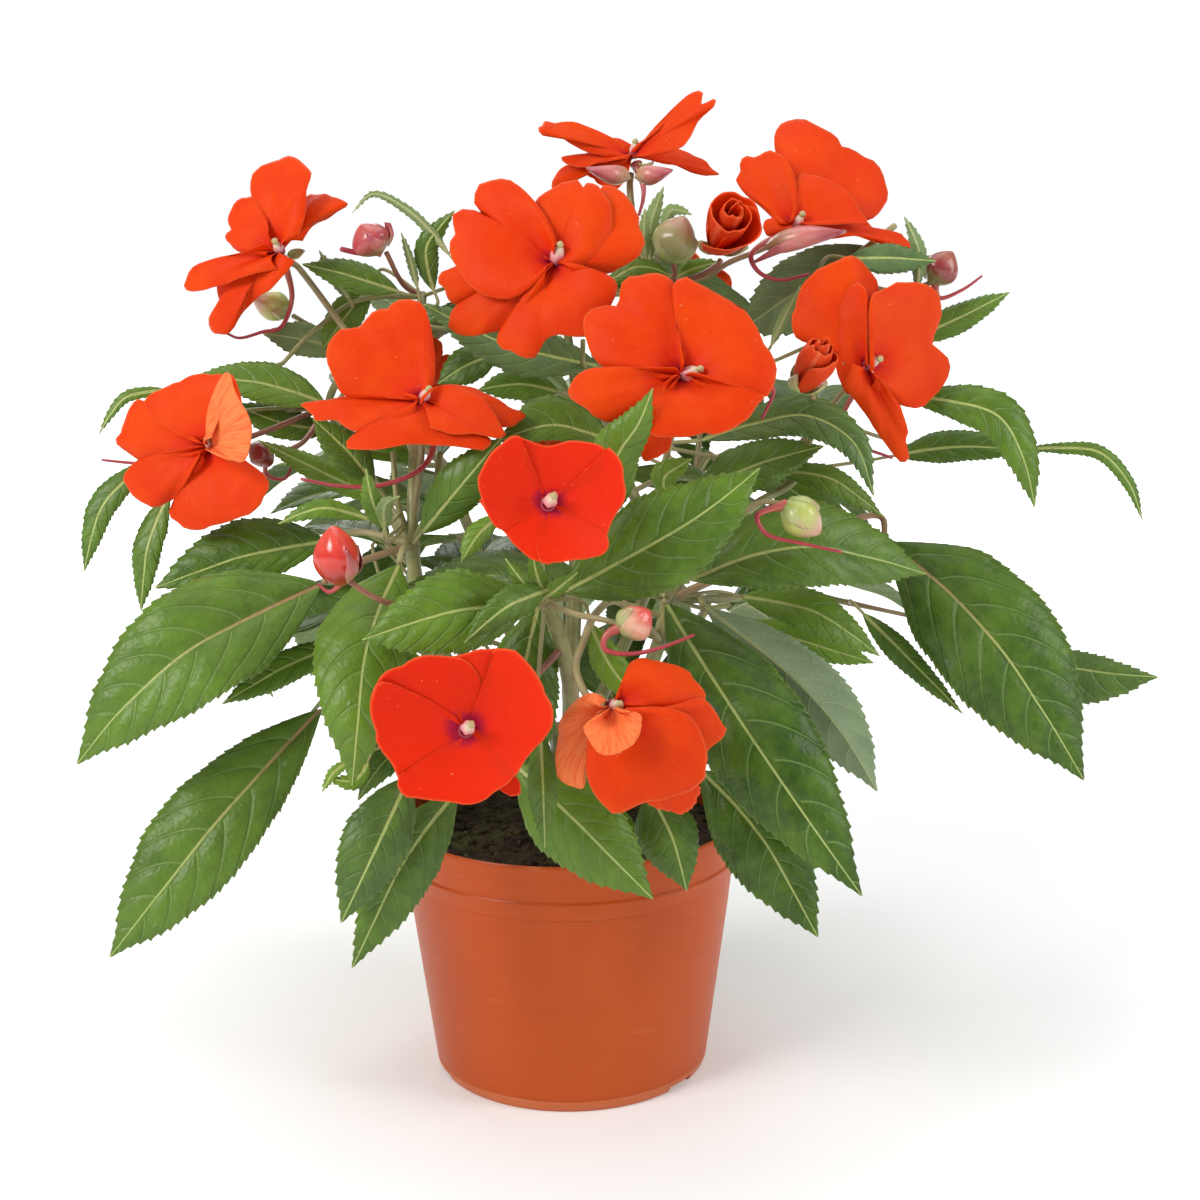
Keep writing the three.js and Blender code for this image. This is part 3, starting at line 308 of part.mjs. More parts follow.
  ["flower_back_middle",[-4.0,112.0,196.0],[-0.1,0.911,0.4],[[15.12,118.16,179.13],[10.17,121.16,173.65],[1.71,120.18,174.82],[-5.03,121.24,173.84],[-11.69,120.93,175.49],[-18.12,119.77,177.68],[-21.93,116.79,182.6],[-26.95,111.6,185.55],[-31.0,109.0,191.74],[-29.41,105.83,198.62],[-27.86,102.05,205.2],[-18.61,101.13,206.85],[-16.55,102.88,215.54],[-9.59,102.16,216.68],[-2.77,100.91,218.49],[3.36,102.46,214.78],[11.04,102.37,214.68],[17.13,103.74,210.39],[20.69,106.08,204.14],[22.31,109.19,197.56],[19.97,111.73,190.99],[21.26,115.69,183.66]],[[[-4.0,110.0,193.0],[4.0,98.0,198.0],[8.0,92.0,190.0]],1.0,0.5]],
];

// buds: node, centre, tip, stalk end, radius, colour, spur
const BUD_LIST = [
  ["bud_upper_left",[-62.98,-10.0,286.38],[-64.14,-12.0,293.64],[-58.2,-10.0,284.11],6.43,"pinkred",[[[-59.29,-9.0,283.48],[-65.68,-10.0,283.21],[-71.55,-12.0,284.53]],0.9,0.9]],
  ["bud_left_glossy",[-67.57,-90.0,195.64],[-66.0,-90.0,206.75],[-64.58,-88.0,188.75],6.73,"red",[[[-64.56,-88.0,189.35],[-69.6,-84.0,185.1],[-73.59,-80.0,186.81]],0.8,0.4]],
  ["bud_right_green",[70.69,-70.0,203.41],[77.41,-70.0,198.45],[66.1,-70.0,208.02],5.78,"green",[[[66.41,-70.0,207.41],[61.48,-71.0,206.39],[57.47,-72.0,204.16],[60.71,-73.0,198.81],[70.25,-74.0,196.42],[82.94,-74.0,193.53]],1.0,0.45]],
  ["bud_front_pale",[19.92,-98.0,176.32],[23.88,-100.0,182.83],[15.3,-98.0,176.08],5.47,"redpale",[[[15.88,-98.0,176.67],[11.22,-99.0,173.99],[11.16,-100.0,170.08],[18.03,-101.0,169.04],[26.62,-102.0,170.91],[36.38,-102.0,174.59]],1.0,0.45]],
  ["bud_left_dark",[-97.04,-29.31,219.88],[-100.62,-31.31,217.89],[-94.7,-27.31,222.21],4.58,"darkred",[[[-95.41,-27.31,220.61],[-96.7,-25.31,213.27],[-91.29,-23.3,211.34],[-88.83,-21.3,215.32]],0.8,0.4]],
  ["bud_right_top",[126.72,3.1,275.99],[130.56,3.1,282.53],[123.53,5.11,272.04],5.85,"darkred",[[[124.68,4.1,272.04],[126.63,3.1,266.75],[133.98,3.1,269.33],[140.57,3.1,273.89]],0.9,0.4]],
  ["bud_top",[36.77,-4.39,286.53],[40.71,-4.39,294.21],[34.9,-2.4,279.44],7.23,"greenbrown",null],
  ["bud_left_green",[-98.35,13.85,266.91],[-105.06,11.82,268.02],[-93.04,15.88,263.78],5.2,"green",null],
];

// stems, leaf stalks and flower stalks: node, path, start radius, end radius
const STEMS = [
  ["stem_front",[[0.0,-5.99,51.7],[0.0,-7.0,80.0],[-1.0,-9.0,104.0],[-2.0,-12.0,124.0]],5.2,4.0],
  ["stem_front",[[-0.02,-7.63,95.83],[1.66,-34.0,108.16],[1.55,-62.0,141.04],[-1.55,-78.0,166.92],[-6.55,-84.19,181.76]],3.0,2.0],
  ["stem_left",[[-0.65,-8.74,99.72],[-21.32,-24.0,115.92],[-38.03,-38.0,150.38],[-46.41,-46.0,175.1],[-48.32,-48.07,193.73]],3.0,2.1],
  ["stem_right",[[-0.4,-8.63,99.68],[13.92,-22.0,111.33],[23.66,-34.0,141.89],[30.05,-38.0,159.41],[32.68,-40.11,173.71]],3.0,2.1],
  ["stem_upper_left",[[-48.27,-48.21,192.37],[-47.88,-44.0,206.75],[-47.97,-34.0,221.44],[-47.05,-14.0,242.26],[-47.37,8.59,269.61]],1.9,1.4],
  ["stem_far_left",[[-49.34,-46.62,192.31],[-62.92,-22.0,210.53],[-73.11,-6.0,224.76],[-79.74,4.0,232.99],[-72.62,20.69,250.58]],1.6,1.1],
  ["stem_upper_centre",[[32.72,-40.67,172.28],[27.13,-20.0,192.69],[18.86,6.0,213.04],[12.48,18.0,237.79],[21.13,14.0,260.07],[31.53,5.59,280.45]],2.0,1.3],
  ["stem_upper_right",[[32.01,-40.72,172.35],[45.82,-22.0,187.77],[63.95,-6.0,198.65],[80.35,4.0,209.15],[85.96,8.0,239.44],[84.15,8.0,270.09]],1.8,1.2],
  ["stem_right",[[31.72,-40.83,173.09],[58.28,-14.0,168.3],[80.08,-2.0,167.13],[98.19,0.06,163.26]],1.4,1.0],
  ["stem_back_top",[[-0.01,-8.17,103.75],[2.0,20.0,146.0],[5.0,52.0,196.0],[5.0,70.0,225.0],[0.0,62.0,262.0],[-8.16,47.71,290.57]],3.0,1.2],
  ["stem_back_left",[[0.15,-8.21,107.68],[-20.0,20.0,150.0],[-45.27,62.45,205.59]],2.6,1.6],
  ["stem_back_right",[[-0.21,-8.3,107.63],[22.0,24.0,148.0],[50.34,72.58,200.63]],2.6,1.6],
  ["stem_back_low",[[0.0,-8.53,97.66],[0.0,30.0,122.0],[0.0,85.94,150.48]],2.4,1.6],
  ["stem_back_low_left",[[0.38,-8.51,97.62],[-28.0,30.0,126.0],[-55.52,80.96,150.46]],2.4,1.6],
  ["stem_back_low_right",[[-0.43,-8.61,97.6],[28.0,32.0,124.0],[55.17,85.34,145.13]],2.4,1.6],
  ["stem_upper_left",[[-46.41,7.91,268.96],[-68.44,10.0,267.73],[-83.14,4.0,258.08],[-94.02,-0.14,247.08]],1.0,0.7],
  ["stem_upper_centre",[[12.81,18.92,237.36],[6.83,2.0,245.33],[6.45,-8.5,254.21]],1.0,0.8],
  ["stem_left",[[-48.8,-47.84,192.04],[-41.51,-50.0,205.92],[-38.77,-45.8,221.81]],1.3,0.9],
  ["stem_left",[[-48.16,-48.05,192.79],[-52.44,-46.0,205.49],[-54.0,-41.77,221.67]],1.2,0.8],
  ["stem_left",[[-47.87,-47.91,193.19],[-65.98,-52.3,187.97],[-75.17,-57.82,183.24]],1.25,1.0],
  ["stem_front",[[0.39,-8.8,99.72],[-70.45,-45.49,149.91],[-77.61,-51.8,142.05]],1.25,1.0],
  ["stem_left",[[-47.71,-48.29,192.98],[-64.87,-39.17,196.06],[-75.19,-39.97,193.46]],1.25,1.0],
  ["stem_left",[[-48.08,-47.28,193.06],[-50.21,-56.01,193.25],[-51.27,-59.71,189.63]],1.25,1.0],
  ["stem_front",[[-5.76,-83.44,181.22],[-10.44,-87.61,181.77]],1.25,1.0],
  ["stem_front",[[0.46,-8.27,99.59],[-43.45,-77.82,138.42],[-47.41,-85.75,129.68]],1.25,1.0],
  ["stem_front",[[0.43,-8.12,99.57],[-27.71,-65.76,128.09],[-33.88,-73.75,121.09]],1.25,1.0],
  ["stem_front",[[0.34,-8.01,99.45],[-24.24,-78.59,138.95],[-16.34,-84.93,132.01]],1.25,1.0],
  ["stem_right",[[32.6,-39.71,172.9],[31.0,-47.71,174.03]],1.25,1.0],
  ["stem_front",[[-0.22,-8.72,99.81],[33.9,-51.63,129.37],[41.32,-57.81,121.67]],1.25,1.0],
  ["stem_right",[[32.12,-40.3,172.91],[41.05,-33.93,173.62],[44.49,-35.85,169.91]],1.25,1.0],
  ["stem_right",[[32.01,-40.3,172.78],[100.82,-1.94,193.49],[108.64,-7.82,185.99]],1.25,1.0],
  ["stem_right",[[96.98,-0.16,163.56],[135.46,8.62,153.03],[148.31,7.92,147.43]],0.8,0.6],
  ["stem_right",[[32.54,-39.27,172.51],[32.49,-52.94,180.54],[38.29,-53.94,181.78]],1.25,1.0],
  ["stem_front",[[-7.22,-84.01,180.81],[-1.65,-83.97,184.07]],1.25,1.0],
  ["stem_upper_right",[[81.27,4.5,208.94],[32.73,-21.74,220.23],[43.61,-23.93,222.52]],0.8,0.6],
  ["stem_upper_right",[[83.69,8.4,270.69],[100.22,-5.12,237.25],[111.47,-7.91,234.98]],1.25,1.0],
  ["stem_upper_right",[[83.94,7.96,269.52],[112.03,13.11,290.25],[104.19,13.97,284.33]],1.25,1.0],
  ["stem_upper_centre",[[12.34,18.33,237.61],[18.02,5.11,245.06],[12.6,4.07,245.08]],1.25,1.0],
  ["stem_front",[[-6.35,-84.51,181.22],[-7.47,-68.67,183.38],[-8.61,-70.7,177.86]],1.25,1.0],
  ["stem_back_top",[[4.57,69.64,224.72],[10.2,74.39,228.35]],1.25,1.0],
  ["stem_back_top",[[5.03,69.37,224.61],[4.59,78.21,230.16],[3.74,85.18,229.85]],1.25,1.0],
  ["stem_back_left",[[-45.01,62.84,204.89],[-44.74,40.31,207.82],[-52.38,44.72,207.78]],1.25,1.0],
  ["stem_back_left",[[-44.95,61.04,205.04],[-45.97,80.19,204.17],[-49.13,92.0,205.68]],1.25,1.0],
  ["stem_back_right",[[49.51,72.37,199.12],[54.19,68.85,207.51],[56.81,70.48,205.75]],1.25,1.0],
  ["stem_back_right",[[49.83,70.83,200.03],[51.33,81.21,199.75],[52.69,86.29,199.25]],1.25,1.0],
  ["stem_back_low",[[-0.0,84.7,149.99],[0.16,103.14,150.56],[-0.95,115.77,148.67]],1.25,1.0],
  ["stem_back_low",[[-0.05,85.32,149.75],[2.1,72.85,159.71],[5.19,78.2,157.69]],1.25,1.0],
  ["stem_back_low",[[0.44,85.23,149.86],[-6.71,81.46,152.12]],1.25,1.0],
  ["stem_back_low_left",[[-54.59,80.27,149.6],[-59.87,76.73,154.74],[-64.8,78.05,153.31]],1.25,1.0],
  ["stem_back_low_left",[[-54.81,79.44,149.56],[-57.58,87.65,156.05],[-61.47,93.2,153.96]],1.25,1.0],
  ["stem_back_low_right",[[54.17,84.86,144.91],[64.38,86.6,145.97]],1.25,1.0],
  ["stem_back_low_right",[[54.68,84.23,144.53],[57.71,91.59,149.05],[60.83,96.58,146.68]],1.25,1.0],
  ["stem_back_low_left",[[-47.15,64.05,142.38],[-43.02,79.98,149.33]],1.0,0.8],
  ["stem_back_left",[[-36.18,49.31,187.13],[-47.59,41.58,192.84]],1.0,0.8],
  ["stem_upper_right",[[81.7,4.73,216.61],[83.66,15.58,221.05]],1.0,0.8],
  ["stem_back_low_right",[[18.24,17.62,114.74],[16.32,34.47,121.8]],1.0,0.8],
  ["stem_back_left",[[-32.99,42.75,179.17],[-40.68,35.04,182.83]],1.0,0.8],
  ["stem_back_low_left",[[-20.02,20.16,118.32],[-30.59,14.13,122.6]],1.0,0.8],
  ["stem_back_top",[[4.31,53.6,198.18],[15.9,51.9,202.14]],1.0,0.8],
  ["stem_back_left",[[-37.95,51.44,190.98],[-49.5,52.33,194.9]],1.0,0.8],
  ["stem_back_top",[[-1.91,60.29,265.19],[14.49,59.53,270.88]],1.0,0.8],
  ["stem_back_right",[[47.43,69.52,196.16],[58.69,57.93,202.18]],1.0,0.8],
  ["stem_upper_left",[[-46.98,-5.54,253.37],[-49.7,8.65,259.09]],1.0,0.8],
  ["stem_back_top",[[-3.94,55.66,274.73],[9.26,52.17,279.62]],1.0,0.8],
  ["stem_left",[[-47.21,-47.43,185.14],[-57.99,-34.16,191.7]],1.0,0.8],
  ["stem_right",[[31.93,-39.03,166.88],[15.16,-42.8,173.9]],1.0,0.8],
  ["stem_back_top",[[0.94,62.39,258.7],[-11.25,68.78,263.67]],1.0,0.8],
  ["stem_back_top",[[4.62,58.18,206.6],[14.13,72.43,213.54]],1.0,0.8],
  ["stem_far_left",[[-78.1,0.55,230.48],[-75.6,16.18,236.72]],1.0,0.8],
  ["stem_back_right",[[32.48,40.74,166.71],[29.03,54.44,172.34]],1.0,0.8],
  ["stem_left",[[-43.72,-44.49,169.82],[-55.95,-43.41,173.93]],1.0,0.8],
  ["stem_back_left",[[-16.22,16.25,144.01],[-28.29,16.46,148.26]],1.0,0.8],
  ["stem_back_low",[[-0.28,60.29,137.3],[14.21,58.18,142.57]],1.0,0.8],
  ["stem_back_low_left",[[-25.83,27.23,123.99],[-39.49,37.89,130.38]],1.0,0.8],
  ["stem_back_right",[[18.23,18.2,141.13],[20.79,29.53,146.04]],1.0,0.8],
  ["stem_upper_centre",[[22.14,-6.22,203.51],[33.91,0.68,208.18]],1.0,0.8],
  ["stem_back_left",[[-40.64,54.33,195.59],[-44.36,67.54,200.38]],1.0,0.8],
  ["stem_right",[[21.75,-31.89,137.52],[34.81,-42.71,143.62]],1.0,0.8],
  ["stem_back_left",[[-22.34,24.22,156.06],[-31.58,35.23,161.83]],1.0,0.8],
  ["stem_back_right",[[20.45,23.54,146.33],[29.65,16.67,150.13]],1.0,0.8],
  ["stem_upper_left",[[-47.53,-35.04,220.11],[-57.11,-19.18,238.83],[-72.88,2.01,258.06],[-86.3,3.35,276.9],[-89.28,0.25,280.24]],1.2,1.0],
  ["stem_upper_centre",[[12.52,18.21,237.59],[8.23,-4.0,259.16],[1.75,-24.03,275.1]],1.2,1.0],
  ["stem_upper_centre",[[27.06,-19.83,192.32],[33.01,-33.22,220.47],[35.97,-54.87,240.11]],1.2,1.0],
  ["stem_upper_centre",[[29.51,7.1,275.78],[24.45,16.0,292.82],[23.34,21.0,303.6],[23.66,22.37,309.13]],1.3,1.1],
  ["stem_upper_centre",[[27.51,8.34,273.8],[46.29,8.0,274.02],[56.2,6.0,279.24],[67.7,4.0,283.73],[73.11,4.0,286.93]],1.1,0.9],
  ["stem_upper_right",[[81.9,5.73,218.71],[89.76,-4.0,231.87],[95.73,-16.14,242.1]],1.2,1.0],
  ["stem_far_left",[[-79.17,4.59,233.21],[-93.29,-10.0,227.67],[-107.94,-28.02,223.15]],1.1,0.9],
  ["stem_upper_left",[[-48.21,-45.84,199.42],[-44.82,-46.49,219.61],[-44.12,-47.57,232.67]],1.2,1.0],
  ["stem_front",[[-6.3,-84.09,180.23],[-7.4,-82.98,193.71],[-5.6,-91.24,207.67]],1.2,1.0],
  ["stem_front",[[-0.74,-76.73,166.64],[-13.47,-90.0,156.13],[-25.32,-111.75,151.64]],1.2,1.0],
  ["stem_right",[[30.17,-37.78,159.25],[16.44,-62.32,176.81],[9.01,-80.5,177.38],[4.93,-92.64,171.53],[2.47,-98.78,164.6],[5.75,-106.9,157.66],[9.05,-109.45,156.8]],1.3,1.0],
  ["stem_upper_centre",[[26.54,9.51,271.32],[43.14,1.71,274.12],[50.53,-5.47,278.02],[51.75,-7.73,279.76]],1.1,0.9],
  ["stem_upper_right",[[80.32,4.39,208.81],[81.76,-14.0,224.52],[79.67,-29.95,236.8]],1.1,0.9],
  ["stem_back_right",[[49.95,71.77,199.41],[53.0,86.0,236.0],[47.65,89.57,256.52]],1.2,1.0],
  ["stem_back_left",[[-44.54,61.57,204.61],[-58.03,74.35,215.97],[-60.53,80.34,226.73]],1.2,1.0],
  ["stem_back_low",[[0.09,84.46,149.35],[-3.0,103.0,172.0],[-3.88,109.14,189.55]],1.2,1.0],
  ["stem_upper_left",[[-46.77,8.62,268.48],[-53.09,2.0,273.02],[-57.44,-6.81,283.26]],1.0,0.8],
  ["stem_left",[[-47.01,-45.18,175.43],[-37.54,-58.0,170.34],[-41.28,-80.0,177.93],[-52.05,-90.0,182.74],[-58.52,-91.0,186.27],[-63.2,-90.05,189.53]],1.0,0.8],
  ["stem_right",[[32.32,-39.13,172.18],[38.04,-62.0,192.1],[52.04,-69.0,204.7],[59.16,-70.0,208.4],[65.2,-70.0,207.76]],1.0,0.8],
  ["stem_front",[[-6.62,-83.82,181.35],[2.4,-91.0,178.97],[9.57,-97.0,178.6],[15.02,-97.95,177.33]],1.0,0.8],
  ["stem_far_left",[[-79.65,4.37,233.15],[-84.8,-17.67,223.39],[-90.9,-27.48,220.58],[-93.96,-28.24,221.58]],1.0,0.8],
  ["stem_upper_right",[[83.66,7.92,269.66],[100.82,10.46,270.84],[114.09,8.35,268.75],[123.27,5.2,271.62]],1.0,0.8],
  ["stem_upper_centre",[[26.41,9.7,271.25],[36.5,2.28,273.85],[36.81,-3.18,279.22]],1.0,0.9],
  ["stem_far_left",[[-72.3,19.86,249.47],[-82.27,22.18,255.65],[-92.32,17.02,262.58]],1.0,0.8],
];

// ---- pot ----
const flare = (z) => BASE_RADIUS + (RIM_RADIUS - BASE_RADIUS) * z / POT_HEIGHT;
const bandZ = POT_HEIGHT - BAND_DROP, ridgeZ = POT_HEIGHT - RIDGE_DROP;
const potOutline = [
  [0, 0], [BASE_PAD_RADIUS, 0], [BASE_PAD_RADIUS + 1.5, FOOT_RISE], [41, FOOT_RISE], [42.2, 0], [BASE_RADIUS - 1.2, 0], [BASE_RADIUS, 1.6],
  [flare(bandZ) - 0.35, bandZ - 0.6], [flare(bandZ) + 0.25, bandZ], [flare(ridgeZ) + 0.3, ridgeZ],
  [RIM_RADIUS, POT_HEIGHT - 0.7], [RIM_RADIUS - 0.5, POT_HEIGHT], [RIM_RADIUS - POT_WALL, POT_HEIGHT - 0.2],
  [flare(6) - POT_WALL - 0.2, 6.2], [40.5, FOOT_RISE + 1.8], [BASE_PAD_RADIUS + 2.4, FOOT_RISE + 1.8], [BASE_PAD_RADIUS + 0.6, 1.8], [0, 1.8],
];
let potSolid = turned(potOutline, 30);
for (let i = 0; i < DRAIN_HOLES; i++) {
  const a = (i + 0.5) * 2 * Math.PI / DRAIN_HOLES, g = new THREE.CylinderGeometry(DRAIN_RADIUS, DRAIN_RADIUS, 12, 8);
  g.rotateX(Math.PI / 2); g.translate(DRAIN_CIRCLE * Math.cos(a), DRAIN_CIRCLE * Math.sin(a), 4);
  potSolid = potSolid.subtract(toManifold(g));
}
for (let i = 0; i < FOOT_NOTCHES; i++) {
  const g = new THREE.BoxGeometry(14, NOTCH_WIDTH, NOTCH_HEIGHT * 2);
  g.translate(46, 0, 0); g.rotateZ(NOTCH_TURN * Math.PI / 180 + i * 2 * Math.PI / FOOT_NOTCHES);
  potSolid = potSolid.subtract(toManifold(g));
}

// ---- shoots: each main stem with its stalks, its small leaves and, at the back, its large ones ----
const SHOOTS = [...new Set(STEMS.map(([node]) => node))];
const grown = LEAVES.filter(([node]) => SHOOTS.includes(node));
const shootClear = (node, gap) => join([
  ...STEMS.filter((s) => s[0] === node).map(([, path, a, b]) => stalk(path, a, b, gap)),
  ...grown.filter((l) => l[0] === node && l[6]).map(([, mid, , , , , root]) => stalk([root, mid[0]], 1.1, 1.1, gap)),
]);
const shoots = {};
let stemClear = null;
for (const node of SHOOTS) {
  let solid = join([
    ...STEMS.filter((s) => s[0] === node).map(([, path, a, b]) => stalk(path, a, b)),
    ...grown.filter((l) => l[0] === node).map(([, mid, left, right, peak, , root]) => (root ? sprout(root, mid, left, right, peak) : leafBlade(mid, left, right, peak))),
  ]);
  if (stemClear) solid = solid.subtract(stemClear);
  shoots[node] = largest(solid);
  const wider = shootClear(node, GAP);
  stemClear = stemClear ? stemClear.add(wider) : wider;
}
const clear = (solid) => (solid.intersect(stemClear).volume() > 1e-6 ? largest(solid.subtract(stemClear)) : solid);

// ---- soil: a plug inside the pot, open round the stems ----
const inner = (z) => flare(z) - POT_WALL - 0.2 - GAP;
let soilSolid = turned([
  [0, 1.8 + GAP], [BASE_PAD_RADIUS, 1.8 + GAP], [BASE_PAD_RADIUS + 2, FOOT_RISE + 1.8 + GAP], [40, FOOT_RISE + 1.8 + GAP], [inner(6.6), 7],
  [inner(SOIL_EDGE) + 0.1, SOIL_EDGE], [inner(SOIL_EDGE) - 8, SOIL_EDGE + 1.2], [30, SOIL_CROWN - 1], [14, SOIL_CROWN], [0, SOIL_CROWN + 0.6],
], 24).subtract(stemClear);
soilSolid = largest(soilSolid);

// ---- materials ----
const mat = (color, roughness, metalness = 0) => new THREE.MeshStandardMaterial({ color, roughness, metalness });
const POT = mat(0xb8562a, 0.45), SOIL = mat(0x3a2b1c, 0.95), STEM = mat(0x7d8a3a, 0.5);
const LEAF = mat(0x4d7a26, 0.4), PALE_LEAF = mat(0x93a47c, 0.5), PETAL = mat(0xe84a10, 0.45);
const BUDS = { pinkred: mat(0xa8404a, 0.35), red: mat(0xc33018, 0.25), green: mat(0xa8b03a, 0.4), redpale: mat(0xd98a70, 0.4), darkred: mat(0x7a2a20, 0.4), greenbrown: mat(0x8a8a50, 0.5) };

const plant = new THREE.Group();
plant.name = 'potted_new_guinea_impatiens';
function put(name, solid, material) {
  const mesh = new THREE.Mesh(toGeometry(solid), material);
  mesh.name = name;
  plant.add(mesh);
}
put('pot', potSolid, POT);
put('soil', soilSolid, SOIL);
for (const node of SHOOTS) put(node, shoots[node], STEM);

const made = [];
for (const [node, mid, left, right, peak, pale] of LEAVES) {
  if (!SHOOTS.includes(node)) made.push([node, clear(leafBlade(mid, left, right, peak)), pale ? PALE_LEAF : LEAF]);
}
for (const [node, centre, facing, outline, spur] of FLOWERS) {
  const solid = corolla(centre, facing, outline).add(stalk(spur[0], spur[1], spur[2]));
  made.push([node, clear(largest(solid)), PETAL]);
}
for (const [node, centre, tip, foot, radius, colour, spur] of BUD_LIST) {
  const list = [bud(centre, tip, foot, radius)];
  if (spur) list.push(stalk([centre, ...spur[0].slice(1)], spur[1], spur[2]));
  made.push([node, clear(largest(join(list))), BUDS[colour]]);
}
for (const [node, solid, material] of made) put(node, solid, material);

export default plant;
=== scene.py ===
import bpy, math
import numpy as np
from mathutils import Matrix, Vector


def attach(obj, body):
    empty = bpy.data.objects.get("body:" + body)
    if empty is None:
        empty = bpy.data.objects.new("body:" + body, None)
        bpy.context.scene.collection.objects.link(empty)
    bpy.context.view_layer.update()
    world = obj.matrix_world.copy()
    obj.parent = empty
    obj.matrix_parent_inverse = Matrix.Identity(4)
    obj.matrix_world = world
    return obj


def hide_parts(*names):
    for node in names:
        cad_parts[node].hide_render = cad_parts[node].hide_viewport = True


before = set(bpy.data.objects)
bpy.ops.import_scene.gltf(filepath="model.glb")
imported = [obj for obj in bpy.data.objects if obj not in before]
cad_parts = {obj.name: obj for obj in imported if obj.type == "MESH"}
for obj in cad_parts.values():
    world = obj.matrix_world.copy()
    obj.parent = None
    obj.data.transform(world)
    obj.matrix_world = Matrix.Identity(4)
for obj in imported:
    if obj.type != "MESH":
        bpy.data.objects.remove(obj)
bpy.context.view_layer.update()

MM = 0.001

POT_H, RIM_R, BASE_R = 90.4, 60.0, 47.9
